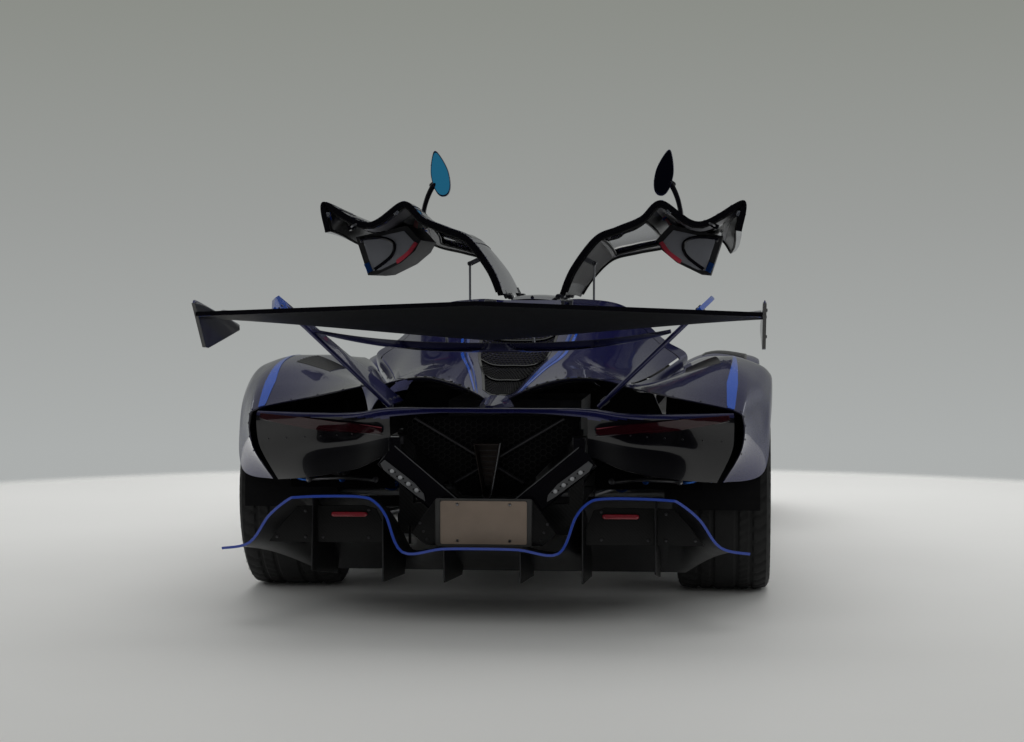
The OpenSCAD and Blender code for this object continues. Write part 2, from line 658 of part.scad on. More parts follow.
module exhaust() {
    color(alloy) difference() {
        cross_plate(pipe_outline(0), pipe_rear, pipe_front);
        cross_plate(pipe_outline(pipe_wall), pipe_rear - 1, pipe_front - pipe_wall);
    }
}

// Height of the diffuser's flat middle under the plate's carrier
plate_foot = let (a = on_grid(diffuser_pts, 0.5, diffuser_n), b = on_grid(diffuser_pts, 1, diffuser_n))
    a[2] + (b[2] - a[2]) * (a[1] - plate_y) / (a[1] - b[1]) + seat_gap;
fin_t = 6;
// Places of the fins along the diffuser's edge, counted in points from the middle
fin_at = [1, 3.5, 6.6];
function fin_x(v) = on_grid(diffuser_pts, 1, diffuser_n + v)[0];

module rear_bumper() {
    color(carbon) {
        // panels under each tail light, between the fins inside the diffuser's arch
        pair() difference() {
            cross_plate([[fin_x(3.5) + fin_t / 2 + seat_gap, high(262)], [across(750), high(262)],
                [across(700), high(330)], [across(648), high(386)], [across(412), high(390)],
                [across(374), high(380)], [fin_x(3.5) + fin_t / 2 + seat_gap, high(320)]],
                along(-2265), along(-2257));
            block([fin_x(6.6) - fin_t / 2 - seat_gap, along(-2270), high(200)],
                [fin_x(6.6) + fin_t / 2 + seat_gap, along(-2250), high(430)]);
        }
        // carrier of the number plate
        cross_plate([[-across(200), plate_foot], [across(200), plate_foot], [across(250), high(300)],
            [across(165), high(418)], [-across(165), high(418)], [-across(250), high(300)]],
            plate_y, plate_y + 8);
    }
}

module diffuser() {
    color(carbon) {
        sheet(patch(diffuser_pts, [0, 4], 8, [0, 2 * diffuser_n], 4 * diffuser_n), skin_t, -1);
        for (v = fin_at) {
            x = fin_x(v);
            top = [for (u = [0.4 : 0.4 : 3.6]) let (p = on_grid(diffuser_pts, u, diffuser_n + v))
                [p[1], p[2] - skin_t / 2]];
            tip_z = high(v > 6 ? 172 : 136);
            pair() side_plate(concat(top, [[along(-1840), high(100)], [along(-2330), tip_z]]),
                x - fin_t / 2, x + fin_t / 2);
        }
    }
}

// ---- wing -------------------------------------------------------------------------------------------
wing_te_y = along(-2525);
wing_tip_x = across(940);

// Height of the wing's lower front edge and of its trailing edge at a share s of the half span
function wing_low(s) = high(948 + 96 * pow(s, 1.15));
function wing_te(s) = high(1083 - 36 * s);
// Ring of points around the wing's section: chord line from the nose to the trailing edge,
// sagging below it, with a rounded nose and a thin tail
function wing_ring(x, nose, tail, sag, thick, n = 8) =
    let (c = tail - nose, up = unit([0, c[2], -c[1]]) * (c[1] > 0 ? -1 : 1),
        mid = function (t) nose + c * t - up * sag * sin(180 * pow(t, 0.8)),
        half = function (t) thick * (0.35 * sqrt(max(t, 0)) * (1 - t) * 2 + 0.06))
    [for (k = [0 : n]) let (t = pow(k / n, 1.3)) mid(t) + up * half(t),
     for (k = [n : -1 : 0]) let (t = pow(k / n, 1.3)) mid(t) - up * half(t)];

function wing_nose(x) = let (s = abs(x) / wing_tip_x)
    [x, wing_te_y + wing_chord * (1 - 0.12 * s), wing_low(s) + 14];
function wing_tail(x) = [x, wing_te_y, wing_te(abs(x) / wing_tip_x)];
function wing_top(x, y) =
    let (ring = wing_section(x), n = len(ring) / 2,
        k = [for (k = [0 : n - 2]) if (ring[k][1] >= y && ring[k + 1][1] < y) k][0],
        a = ring[k], b = ring[k + 1])
    a[2] + (b[2] - a[2]) * (y - a[1]) / (b[1] - a[1]);
function wing_section(x) = let (s = abs(x) / wing_tip_x)
    wing_ring(x, wing_nose(x), wing_tail(x), 26 - 14 * s, 30);

module rear_wing() {
    color(carbon) {
        rings([for (k = [-8 : 8]) wing_section(wing_tip_x * k / 8)]);
        // lower element ahead of the main plane, in the middle of the span
        rings([for (k = [-4 : 4]) let (x = across(630) * k / 4, s = pow(abs(k) / 4, 2.6))
            wing_ring(x, [x, along(-1995), high(912 + 74 * s)], [x, along(-2100), high(946 + 48 * s)],
                5, 14, 5)]);
        // brackets that hang the lower element from the main plane
        pair() side_plate([[along(-2030), high(922)], [along(-2098), high(944)],
            [along(-2098), wing_nose(across(150))[2]], [along(-2072), wing_nose(across(150))[2]]],
            across(150), across(150) + 6);
    }
}

module wing_endplates() {
    color(carbon) pair() side_plate([[along(-2532), high(1087)], [along(-2490), high(1091)],
        [along(-1850), high(1003)], [along(-1850), high(984)], [along(-2340), high(932)],
        [along(-2380), high(936)]], wing_tip_x + 0.3, wing_tip_x + 0.3 + endplate_t);
}

strut_foot = at([372, 0, 716]);
strut_top = at([768, 0, 1098]);
strut_lean = atan2(strut_top[2] - strut_foot[2], strut_top[0] - strut_foot[0]);
strut_len = norm(strut_top - strut_foot);

strut_pad_y = along(-2200);
strut_pad_x = strut_foot[0] + 0.9 * strut_len * cos(strut_lean);

// Blade that leans outwards from the tail and hooks over the wing's front edge
module wing_strut() {
    translate(strut_foot) rotate([0, 90 - strut_lean, 0]) rotate([90, 0, 90])
        translate([0, 0, -strut_t / 2]) linear_extrude(strut_t) polygon([
            [along(-1640), 0], [along(-1985), 0], [along(-2010), strut_len * 0.45],
            [along(-2030), strut_len * 0.76], [along(-2070), strut_len * 0.87],
            [along(-2240), strut_len * 0.88], [along(-2240), strut_len * 0.92],
            [along(-2080), strut_len], [along(-1980), strut_len * 1.02],
            [along(-1930), strut_len * 0.86], [along(-1820), strut_len * 0.5]]);
    // pad on the wing's top, and foot on the tail's shelf
    post([strut_pad_x, strut_pad_y, wing_top(strut_pad_x, strut_pad_y) + seat_gap + 0.3],
        strut_foot[2] + (strut_pad_x - strut_foot[0]) * tan(strut_lean));
    post(pad_over(tail_pts, 1, 7.2), strut_foot[2] + 4);
}

module wing_struts() {
    color(carbon) pair() wing_strut();
}

// ---- machinery --------------------------------------------------------------------------------------
module engine_block() {
    color(alloy) {
        block([-beam_x + 40, along(-1180), high(250)], [beam_x - 40, along(-600), high(700)]);
        // mounts on the subframe's beams
        pair() block([beam_x - 41, along(-900), high(310)],
            [beam_x - 25 - seat_gap, along(-830), high(370)]);
        // gearbox behind it
        block([-across(150), along(-1960), high(260)], [across(150), along(-1180), high(480)]);
    }
}

seat_x = across(268);
cushion_w = across(346);
seat_z = ride_h + floor_t + seat_gap;

module seats() {
    color("dimgray") pair() {
        side_plate([[along(330), seat_z], [along(-150), seat_z], [along(-250), high(170)],
            [along(-390), high(560)], [along(-395), high(760)], [along(-340), high(860)],
            [along(-300), high(855)], [along(-285), high(640)], [along(-170), high(290)],
            [along(300), high(250)], [along(345), high(225)]],
            seat_x - cushion_w / 2, seat_x + cushion_w / 2);
    }
}

column_x = -seat_x;
wheel_tilt = 22;
column_z = high(550);
column_l = 150;

module dashboard() {
    color("dimgray") {
        side_plate([[along(660), high(520)], [along(640), high(640)], [along(700), high(690)],
            [along(1060), high(691.4)], [along(1060), high(600)], [along(760), high(500)]],
            -across(478), across(478));
        // feet on the footwell walls
        pair() block([across(440), along(700), high(460) + seat_gap],
            [across(516), along(790), high(540)]);
        // steering column
        translate([column_x, along(655), column_z]) rotate([90 - wheel_tilt, 0, 0])
            cylinder(r = 24, h = column_l, $fn = 32);
    }
}

module steering_wheel() {
    color("black") translate([column_x, along(655), column_z]) rotate([90 - wheel_tilt, 0, 0])
        translate([0, 0, column_l + 0.3]) {
            cylinder(r = 45, h = 22, $fn = 40);
            rotate_extrude($fn = 64) translate([150, 11]) circle(r = 14, $fn = 24);
            for (a = [0, 180, 270]) rotate(a) translate([40, -12, 4]) cube([100, 24, 12]);
        }
}

// Points of the front and rear running gear on the right-hand side
front_hub = [front_wheel_x, front_axle_y, front_tyre_d / 2];
rear_hub = [rear_wheel_x, rear_axle_y, rear_tyre_d / 2];
arm_rise = 130;
ball_r = 14;
arm_r = 12;
arm_spread = 100;
// Room for the slanted end of an arm at the face that carries it
arm_seat = arm_r * arm_spread / norm([kingpin_x - foot_x, arm_spread]) + seat_gap;
rear_arm_seat = 5.6;

// Two-legged arm from the body at x0 to a ring around the kingpin at p
module wishbone(x0, spread, p) {
    difference() {
        union() {
            for (s = [-1, 1]) rod([x0, p[1] + s * spread, p[2]], p, arm_r);
            translate(p) cylinder(r = 2 * ball_r, h = 2.6 * arm_r, center = true, $fn = 32);
        }
        translate(p) cylinder(r = ball_r + fit, h = 6 * arm_r, center = true, $fn = 32);
    }
}

module suspension() {
    color(alloy) pair() {
        for (s = [-1, 1])
            wishbone(foot_x + arm_seat, arm_spread,
                [kingpin_x, front_axle_y, front_hub[2] + s * arm_rise]);
        // rear upright with its two arms and the drive shaft
        for (s = [-1, 1]) for (d = [-1, 1])
            rod([beam_x + 25 + rear_arm_seat, rear_axle_y + d * 170, high(340) + (s > 0 ? 25 : -25)],
                [rear_hub[0] - 90, rear_axle_y + d * 20, rear_hub[2] + s * arm_rise], arm_r);
        block([rear_hub[0] - 110, rear_axle_y - 45, rear_hub[2] - arm_rise - 30],
            [rear_hub[0] - 70, rear_axle_y + 45, rear_hub[2] + arm_rise + 30]);
        translate([across(150) + seat_gap, rear_axle_y, rear_hub[2]])
            along_x(22, rear_hub[0] - across(150) - 100);
        translate([rear_hub[0] - 90, rear_axle_y, rear_hub[2]]) along_x(stub_r, 150);
    }
}

// Steered upright: kingpin, carrier and stub axle
module knuckle() {
    z = front_hub[2];
    color(alloy) {
        translate([kingpin_x, front_axle_y, z - arm_rise - 20])
            cylinder(r = ball_r, h = 2 * arm_rise + 40, $fn = 32);
        translate([kingpin_x, front_axle_y, z - 80]) cylinder(r = 32, h = 160, $fn = 40);
        translate([kingpin_x, front_axle_y, z]) along_x(stub_r, front_hub[0] + 60 - kingpin_x);
        block([kingpin_x - 12, front_axle_y - 20, z - 60], [kingpin_x + 12, front_axle_y + 150, z + 60]);
    }
}

module knuckle_right() { knuckle(); }
module knuckle_left() { mirror([1, 0, 0]) knuckle(); }

// Hollow tyre around the x axis, centred on the origin
module tyre(r, w, rim_r) {
    wall = 12;
    crown = 18;
    lip = 14;
    rotate([0, 90, 0]) rotate_extrude($fn = 96) polygon([
        [rim_r + 1, -w / 2 + lip], [rim_r + 12, -w / 2 + 3], [(rim_r + r) / 2, -w / 2],
        [r - 22, -w / 2 + 5], [r - 6, -w / 2 + 16], [r, -w / 2 + 34], [r, w / 2 - 34],
        [r - 6, w / 2 - 16], [r - 22, w / 2 - 5], [(rim_r + r) / 2, w / 2], [rim_r + 12, w / 2 - 3],
        [rim_r + 1, w / 2 - lip], [rim_r + 1, w / 2 - lip - wall],
        [(rim_r + r) / 2, w / 2 - wall], [r - crown, w / 2 - 30], [r - crown, -w / 2 + 30],
        [(rim_r + r) / 2, -w / 2 + wall], [rim_r + 1, -w / 2 + lip + wall]]);
}

spokes = 10;
disc_r = 190;
disc_t = 32;

// Rim with its spokes, hub, brake disc and bore for the stub axle, outer face towards +x
module rim(rim_r, w) {
    face = w / 2 - 24;
    rotate([0, 90, 0]) {
        rotate_extrude($fn = 96) polygon([
            [rim_r, -w / 2 + 8], [rim_r + 0.7, -w / 2 + 12], [rim_r + 0.7, -w / 2 + 28],
            [rim_r - 16, -w / 2 + 44], [rim_r - 16, w / 2 - 44], [rim_r + 0.7, w / 2 - 28],
            [rim_r + 0.7, w / 2 - 12], [rim_r, w / 2 - 8], [rim_r - 10, w / 2 - 8],
            [rim_r - 10, w / 2 - 26], [rim_r - 24, w / 2 - 46], [rim_r - 24, -w / 2 + 46],
            [rim_r - 10, -w / 2 + 26], [rim_r - 10, -w / 2 + 8]]);
        for (k = [0 : spokes - 1]) rotate(360 * k / spokes) translate([40, -9, face - 34])
            cube([rim_r - 60, 18, 26]);
        difference() {
            union() {
                translate([0, 0, -20]) cylinder(r = 58, h = face + 17, $fn = 48);
                translate([0, 0, -20]) cylinder(r = disc_r, h = disc_t, $fn = 72);
            }
            translate([0, 0, -21]) cylinder(r = stub_r + fit, h = face + 5, $fn = 48);
        }
    }
}

module wheel_place(hub, side) {
    translate([side * hub[0], hub[1], hub[2]]) mirror([side > 0 ? 0 : 1, 0, 0]) children();
}

module tyre_front_left() {
    color("black") wheel_place(front_hub, -1)
        tyre(front_tyre_d / 2, front_tyre_w, front_rim_d / 2);
}
module tyre_front_right() {
    color("black") wheel_place(front_hub, 1)
        tyre(front_tyre_d / 2, front_tyre_w, front_rim_d / 2);
}
module tyre_rear_left() {
    color("black") wheel_place(rear_hub, -1)
        tyre(rear_tyre_d / 2, rear_tyre_w, rear_rim_d / 2);
}
module tyre_rear_right() {
    color("black") wheel_place(rear_hub, 1)
        tyre(rear_tyre_d / 2, rear_tyre_w, rear_rim_d / 2);
}
module rim_front_left() {
    color(alloy) wheel_place(front_hub, -1)
        rim(front_rim_d / 2, front_tyre_w);
}
module rim_front_right() {
    color(alloy) wheel_place(front_hub, 1)
        rim(front_rim_d / 2, front_tyre_w);
}
module rim_rear_left() {
    color(alloy) wheel_place(rear_hub, -1)
        rim(rear_rim_d / 2, rear_tyre_w);
}
module rim_rear_right() {
    color(alloy) wheel_place(rear_hub, 1)
        rim(rear_rim_d / 2, rear_tyre_w);
}

// ---- doors ------------------------------------------------------------------------------------------
door_nu = 16;
door_nv = 32;
// Gap around the side glass, in cells of the door's surface
pane_gap = 0.04;
strut_y = along(-424);
body_pin = [across(262), strut_y, high(750)];
body_pin_l = strut_y + 8 - (tub_back + bulkhead_t);
door_pin = [across(300), strut_y, high(1018)];
gas_tube_r = 11;
gas_rod_r = 5;
gas_pin_r = 5;
eye_r = 10;
eye_w = 12;
// From the middle of the rod's eye to the end of the door's stud
stud_gap = eye_w / 2 + 1;

// Moves a shut right-hand door to the angle at which it stands open
module opened() {
    translate([hinge_x, 0, hinge_z]) rotate([0, -door_open, 0]) translate([-hinge_x, 0, -hinge_z])
        children();
}

module door_shut() {
    g = patch(door_pts, [0, 4], door_nu, [0, 8], door_nv);
    color(paint) {
        sheet(g, door_t, 1, function (i, j) i < 2 || i > 13 || j < 9 || j > 15);
        // hinge lugs and pins
        for (y = [hinge_front_y, hinge_rear_y]) {
            for (s = [-1, 1]) {
                translate([hinge_x, y + s * (lug_l / 2 + lug_gap + 10) + 10, hinge_z]) rotate([90, 0, 0])
                    cylinder(r = 2 * hinge_pin_r, h = 20, $fn = 32);
                block([hinge_x, y + s * (lug_l / 2 + lug_gap + 10) - 10, hinge_z - 22],
                    [across(150), y + s * (lug_l / 2 + lug_gap + 10) + 10, hinge_z - 4]);
            }
            translate([hinge_x, y + lug_l / 2 + lug_gap + 5, hinge_z]) rotate([90, 0, 0])
                cylinder(r = hinge_pin_r, h = lug_l + 2 * lug_gap + 10, $fn = 32);
        }
        // stud that the gas strut's rod pushes on
        block([door_pin[0] - 10, strut_y + stud_gap + 8, door_pin[2] - 9],
            [door_pin[0] + 10, strut_y + stud_gap + 18, high(1080)]);
        translate([door_pin[0], strut_y + stud_gap + 10, door_pin[2]]) rotate([90, 0, 0])
            cylinder(r = gas_pin_r, h = 10, $fn = 24);
        // mirror on its curved stalk
        rod(stalk_foot, stalk_knee, stalk_r);
        translate(stalk_knee) sphere(r = stalk_r + 3, $fn = 24);
        rod(stalk_knee, mirror_at, stalk_r);
        mirror_head();
    }
}

mirror_w = 222;
mirror_h = 86;
stalk_r = 8;
mirror_at = at([806, 640, 970]);
mirror_tilt = 14;
stalk_foot = on_grid(door_pts, 1, 5) - 11 * facing(door_pts, 1, 5);
stalk_knee = (stalk_foot + mirror_at) / 2 + [across(14), 0, -high(16)];

// Drop-shaped housing, flat towards the rear where the glass sits
module mirror_head() {
    translate(mirror_at) rotate([0, -mirror_tilt, 0])
        rings([for (k = [[-22, 0.97], [-18, 1], [6, 1], [26, 0.82], [38, 0.5], [43, 0.16]])
            [for (a = [345 : -15 : 0])
                [mirror_w / 2 * k[1] * cos(a), k[0], mirror_h / 2 * k[1] * sin(a)]]]);
}

module door_right() { opened() door_shut(); }
module door_left() { mirror([1, 0, 0]) opened() door_shut(); }

module door_glass() {
    g = lifted(patch(door_pts, [0, 4], door_nu, [0, 8], door_nv), -(door_t - glass_t) / 2);
    pane = patch(g, [2 + pane_gap, 14 - pane_gap], 12, [9 + pane_gap, 16 - pane_gap], 7);
    color(glass_grey) sheet(pane, glass_t, 1);
}

module door_glass_right() { opened() door_glass(); }
module door_glass_left() { mirror([1, 0, 0]) opened() door_glass(); }

// ---- gas struts -------------------------------------------------------------------------------------
function turned(p, a) = let (d = p - [hinge_x, 0, hinge_z])
    [hinge_x + d[0] * cos(a) - d[2] * sin(a), p[1], hinge_z + d[0] * sin(a) + d[2] * cos(a)];
open_pin = turned(door_pin, door_open);
gas_line = open_pin - body_pin;
gas_len = norm(gas_line);
gas_tube_l = 248;
gas_overlap = 12;
gas_floor = 14;
gas_dir = unit(gas_line);
gas_lean = atan2(gas_dir[0], gas_dir[2]);

// Drawn along +z from the body's pin
module along_gas_line() {
    translate(body_pin) rotate([0, gas_lean, 0]) children();
}

module eye() {
    rotate([90, 0, 0]) cylinder(r = eye_r, h = eye_w, center = true, $fn = 32);
}

module eye_bore() {
    rotate([90, 0, 0]) cylinder(r = gas_pin_r + fit, h = 2 * eye_w, center = true, $fn = 32);
}

module gas_tube() {
    color("black") along_gas_line() difference() {
        union() {
            eye();
            translate([0, 0, 4]) cylinder(r = gas_tube_r, h = gas_tube_l - 4, $fn = 32);
        }
        eye_bore();
        translate([0, 0, gas_floor]) cylinder(r = gas_rod_r + fit, h = gas_tube_l, $fn = 32);
    }
}

module gas_rod() {
    color(alloy) along_gas_line() difference() {
        union() {
            translate([0, 0, gas_len]) eye();
            translate([0, 0, gas_tube_l - gas_overlap])
                cylinder(r = gas_rod_r, h = gas_len - gas_tube_l + gas_overlap, $fn = 32);
        }
        translate([0, 0, gas_len]) eye_bore();
    }
}

module strut_tube_right() { gas_tube(); }
module strut_tube_left() { mirror([1, 0, 0]) gas_tube(); }
module strut_rod_right() { gas_rod(); }
module strut_rod_left() { mirror([1, 0, 0]) gas_rod(); }

// ---- assembly --------------------------------------------------------------------------------------
tub();
roof_spine();
windshield_frame();
windshield();
nose();
front_fenders();
headlights();
front_splitter();
arch_liners();
side_pods();
rear_fenders();
rear_deck();
engine_cover();
tail_panel();
tail_frame();
rear_lights();
number_plate();
exhaust();
rear_bumper();
diffuser();
rear_wing();
wing_endplates();
wing_struts();
engine_block();
jack_pads();
seats();
dashboard();
steering_wheel();
suspension();
knuckle_left();
knuckle_right();
door_left();
door_right();
door_glass_left();
door_glass_right();
strut_tube_left();
strut_rod_left();
strut_tube_right();
strut_rod_right();
tyre_front_left();
tyre_front_right();
tyre_rear_left();
tyre_rear_right();
rim_front_left();
rim_front_right();
rim_rear_left();
rim_rear_right();
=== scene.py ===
import math

import bpy
import numpy as np
from mathutils import Matrix, Vector


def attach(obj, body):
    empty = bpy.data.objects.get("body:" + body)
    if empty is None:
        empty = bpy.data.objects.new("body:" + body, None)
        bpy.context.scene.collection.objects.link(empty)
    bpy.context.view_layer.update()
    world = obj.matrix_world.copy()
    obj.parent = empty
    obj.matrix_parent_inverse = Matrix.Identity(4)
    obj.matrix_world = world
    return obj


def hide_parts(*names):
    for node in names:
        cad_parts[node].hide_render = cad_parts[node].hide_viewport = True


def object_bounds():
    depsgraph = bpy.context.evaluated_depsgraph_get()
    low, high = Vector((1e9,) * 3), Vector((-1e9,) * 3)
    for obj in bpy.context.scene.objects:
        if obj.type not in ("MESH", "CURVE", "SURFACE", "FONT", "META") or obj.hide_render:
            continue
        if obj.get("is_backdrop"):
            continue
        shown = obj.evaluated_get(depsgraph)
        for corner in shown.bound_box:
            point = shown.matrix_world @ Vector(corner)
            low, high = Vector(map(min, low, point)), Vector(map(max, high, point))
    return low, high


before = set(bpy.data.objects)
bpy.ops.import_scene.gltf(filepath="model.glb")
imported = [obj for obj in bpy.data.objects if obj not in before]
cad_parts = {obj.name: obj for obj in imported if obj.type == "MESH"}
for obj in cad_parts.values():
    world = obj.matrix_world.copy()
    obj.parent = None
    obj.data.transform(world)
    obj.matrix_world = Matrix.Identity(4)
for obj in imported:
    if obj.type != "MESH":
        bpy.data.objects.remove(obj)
cad_lo, cad_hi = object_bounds()

# A track hypercar, seen from behind with its gull-wing doors open. The CAD's curved panels are
# drawn again here from the same grids, in metres, with the details that the CAD leaves out.

# ---- control grids, in millimetres, right-hand side, the same surfaces as the CAD ----------------
NOSE_GRID = [
    [[0,2495,215], [80,2482,208], [160,2450,196], [270,2385,180]],
    [[0,2400,292], [90,2390,284], [180,2360,262], [300,2305,232]],
    [[0,2150,412], [110,2145,400], [220,2130,372], [345,2105,330]],
    [[0,1850,525], [125,1850,514], [250,1845,480], [390,1835,432]],
    [[0,1500,640], [150,1500,630], [300,1500,598], [450,1500,546]],
    [[0,1180,722], [185,1172,712], [350,1130,696], [500,1060,668]],]
FRONT_FENDER_GRID = [[[330,2330,225], [450,2325,290], [640,2290,335], [800,2220,325],
                      [880,2150,265], [900,2080,185]],
                     [[365,2090,340], [490,2090,452], [690,2070,530], [855,2030,505],
                      [925,1985,410], [940,1925,275]],
                     [[405,1850,440], [525,1840,585], [720,1820,682], [885,1805,650],
                      [950,1790,540], [962,1775,355]],
                     [[440,1600,550], [555,1600,690], [740,1595,775], [905,1600,752],
                      [968,1620,712], [978,1650,650]],
                     [[475,1360,625], [585,1360,748], [748,1360,818], [912,1360,805],
                      [972,1360,786], [982,1360,764]],
                     [[510,1130,655], [600,1135,752], [742,1140,806], [905,1125,778],
                      [965,1095,705], [976,1067,642]],
                     [[552,985,655], [640,975,708], [740,965,735], [870,955,695], [940,950,560],
                      [950,944,355]], [[610,960,640], [672,915,645], [755,810,640], [850,765,600],
                                       [900,760,480], [905,790,340]],]
SIDE_POD_GRID = [
    [[610,880,420], [700,885,395], [800,890,330], [850,895,230], [845,895,125]],
    [[600,500,470], [705,505,440], [805,510,350], [862,515,235], [862,515,115]],
    [[600,50,480], [715,50,455], [822,50,370], [885,50,245], [885,50,112]],
    [[610,-420,485], [745,-420,468], [865,-420,400], [920,-420,265], [912,-420,112]],
    [[620,-880,490], [760,-880,480], [890,-880,430], [945,-880,285], [930,-880,112]],]
REAR_FENDER_GRID = [[[655,-480,801], [690,-480,836], [735,-490,838], [845,-530,768], [920,-565,640],
                     [930,-590,505]],
                    [[567,-800,751], [650,-800,822], [770,-800,862], [895,-800,800], [960,-810,670],
                     [965,-860,500]],
                    [[520,-1080,735], [645,-1080,812], [800,-1080,872], [930,-1080,822],
                     [982,-1065,735], [986,-1049,656]],
                    [[495,-1340,750], [645,-1340,815], [822,-1340,874], [942,-1340,848],
                     [987,-1340,812], [994,-1340,778]],
                    [[480,-1600,775], [645,-1600,812], [836,-1595,848], [938,-1605,800],
                     [978,-1622,725], [984,-1640,656]],
                    [[472,-1790,788], [645,-1795,788], [846,-1795,786], [918,-1790,735],
                     [950,-1772,600], [955,-1748,470]],
                    [[468,-1955,790], [645,-1960,752], [848,-1962,708], [886,-1955,665],
                     [876,-1930,560], [812,-1885,446]],]
FUSELAGE_GRID = [[[0,-468,1086], [112,-468,1086], [232,-468,1090], [400,-468,1058], [560,-468,922],
                  [655,-468,860], [640,-468,775]],
                 [[0,-800,980], [100,-800,986], [215,-800,1010], [392,-800,940], [490,-800,860],
                  [545,-800,790], [558,-800,739]],
                 [[0,-1200,852], [86,-1200,856], [185,-1200,892], [335,-1200,850], [420,-1200,805],
                  [470,-1200,768], [506,-1200,735]],
                 [[0,-1500,786], [56,-1500,790], [126,-1500,828], [262,-1490,832], [352,-1480,818],
                  [425,-1480,792], [484,-1480,758]],
                 [[0,-1860,728], [28,-1860,730], [70,-1850,756], [160,-1790,790], [262,-1700,808],
                  [372,-1640,800], [476,-1640,772]],]
DOOR_GRID = [[[122,440,1080], [235,450,1064], [350,500,1022], [430,620,935], [510,795,832],
              [585,905,750], [615,880,665], [665,840,590], [625,780,512]],
             [[122,330,1091], [240,330,1086], [372,350,1042], [458,420,962], [540,520,875],
              [630,600,800], [640,600,700], [700,580,600], [650,545,508]],
             [[122,150,1096], [242,150,1096], [388,150,1060], [474,160,985], [556,170,905],
              [650,180,842], [645,190,705], [730,180,600], [670,170,512]],
             [[122,-120,1098], [242,-120,1101], [396,-120,1070], [480,-120,1000], [560,-120,925],
              [660,-120,868], [648,-120,702], [765,-120,590], [685,-120,516]],
             [[122,-440,1092], [242,-440,1098], [400,-440,1066], [480,-440,1000], [560,-440,930],
              [662,-440,880], [650,-440,700], [812,-440,570], [690,-440,520]],]
GLASS_GRID = [
    [[0,455,1086], [120,457,1080], [230,467,1062], [329,515,1020]],
    [[0,690,992], [150,684,980], [300,660,952], [418,628,930]],
    [[0,930,862], [190,920,848], [360,880,832], [498,808,824]],
    [[0,1172,728], [205,1160,716], [395,1085,712], [572,925,740]],]
TAIL_GRID = [[[0,-1700,692], [170,-1700,692], [345,-1700,690], [480,-1725,682], [660,-1790,678],
              [835,-1830,676]], [[0,-1950,708], [170,-1950,708], [345,-1945,706], [480,-1915,690],
                                 [660,-1900,686], [842,-1905,688]],
             [[0,-2150,722], [170,-2150,722], [345,-2146,720], [480,-2098,700], [660,-2046,696],
              [848,-1985,696]], [[0,-2156,704], [170,-2156,704], [345,-2152,690], [480,-2106,668],
                                 [660,-2054,655], [850,-1990,640]],
             [[0,-2130,650], [170,-2130,650], [345,-2135,620], [480,-2062,590], [660,-2004,572],
              [842,-1955,560]], [[0,-2140,560], [170,-2140,560], [345,-2140,555], [480,-2082,500],
                                 [650,-2010,465], [790,-1900,446]],]
DIFFUSER_EDGE = [[0,264], [130,262], [262,250], [318,370], [362,420], [410,434], [520,434],
                 [630,428], [668,418], [738,360], [806,268], [905,246]]

# ---- numbers -------------------------------------------------------------------------------------
def weights(t, n):
    """Weights and indices of the four grid points round each place t of n, for a smooth curve."""
    t = np.asarray(t, float)
    j = np.clip(np.floor(t).astype(int), 0, n - 2)
    f = t - j
    w = np.stack([-.5 * f + f * f - .5 * f ** 3, 1 - 2.5 * f * f + 1.5 * f ** 3,
                  .5 * f + 2 * f * f - 1.5 * f ** 3, -.5 * f * f + .5 * f ** 3], -1)
    return w, np.clip(np.stack([j - 1, j, j + 1, j + 2], -1), 0, n - 1)


STEP = 0.01        # how far apart two places are when a slope is measured
SEAM = 0.001       # less than the gap between two stations of any grid


def pairs(u, v):
    """Two arrays of the same length from numbers or arrays."""
    return np.broadcast_arrays(np.atleast_1d(np.asarray(u, float)),
                               np.atleast_1d(np.asarray(v, float)))


class Surf:
    """A smooth surface through a grid of points; side is 1 where du x dv points outwards."""

    def __init__(self, rows, full=False, side=1):
        g = [[list(p) for p in r] for r in rows]
        if full:
            g = [[[-p[0], p[1], p[2]] for p in r[:0:-1]] + r for r in g]
        self.g = np.array(g, float) / 1000
        self.side = side

    def mesh(self, us, vs):
        wu, iu = weights(us, self.g.shape[0])
        wv, iv = weights(vs, self.g.shape[1])
        rows = np.einsum("ka,kanc->knc", wu, self.g[iu])
        return np.einsum("lb,klbc->klc", wv, rows[:, iv])

    def point(self, a, b):
        wu, iu = weights(a, self.g.shape[0])
        wv, iv = weights(b, self.g.shape[1])
        return np.einsum("ka,kb,kabc->kc", wu, wv, self.g[iu[:, :, None], iv[:, None, :]])

    def at(self, u, v, lift=0.0):
        """Points at the places (u, v), raised from the surface by lift."""
        u, v = pairs(u, v)
        p = self.point(u, v)
        if np.all(np.asarray(lift) == 0):
            return p
        return p + np.asarray(lift)[..., None] * self.normal(u, v)

    def normal(self, u, v):
        u, v = pairs(u, v)
        m, n = self.g.shape[0] - 1, self.g.shape[1] - 1
        du = self.point(np.minimum(u + STEP, m), v) - self.point(np.maximum(u - STEP, 0), v)
        dv = self.point(u, np.minimum(v + STEP, n)) - self.point(u, np.maximum(v - STEP, 0))
        c = np.cross(du, dv) * self.side
        return c / np.maximum(np.linalg.norm(c, axis=-1, keepdims=True), 1e-12)


def grid_normals(P, side=1):
    """Unit normals at the points of a grid."""
    du = np.gradient(P, axis=0)
    dv = np.gradient(P, axis=1)
    c = np.cross(du, dv) * side
    return c / np.maximum(np.linalg.norm(c, axis=-1, keepdims=True), 1e-12)


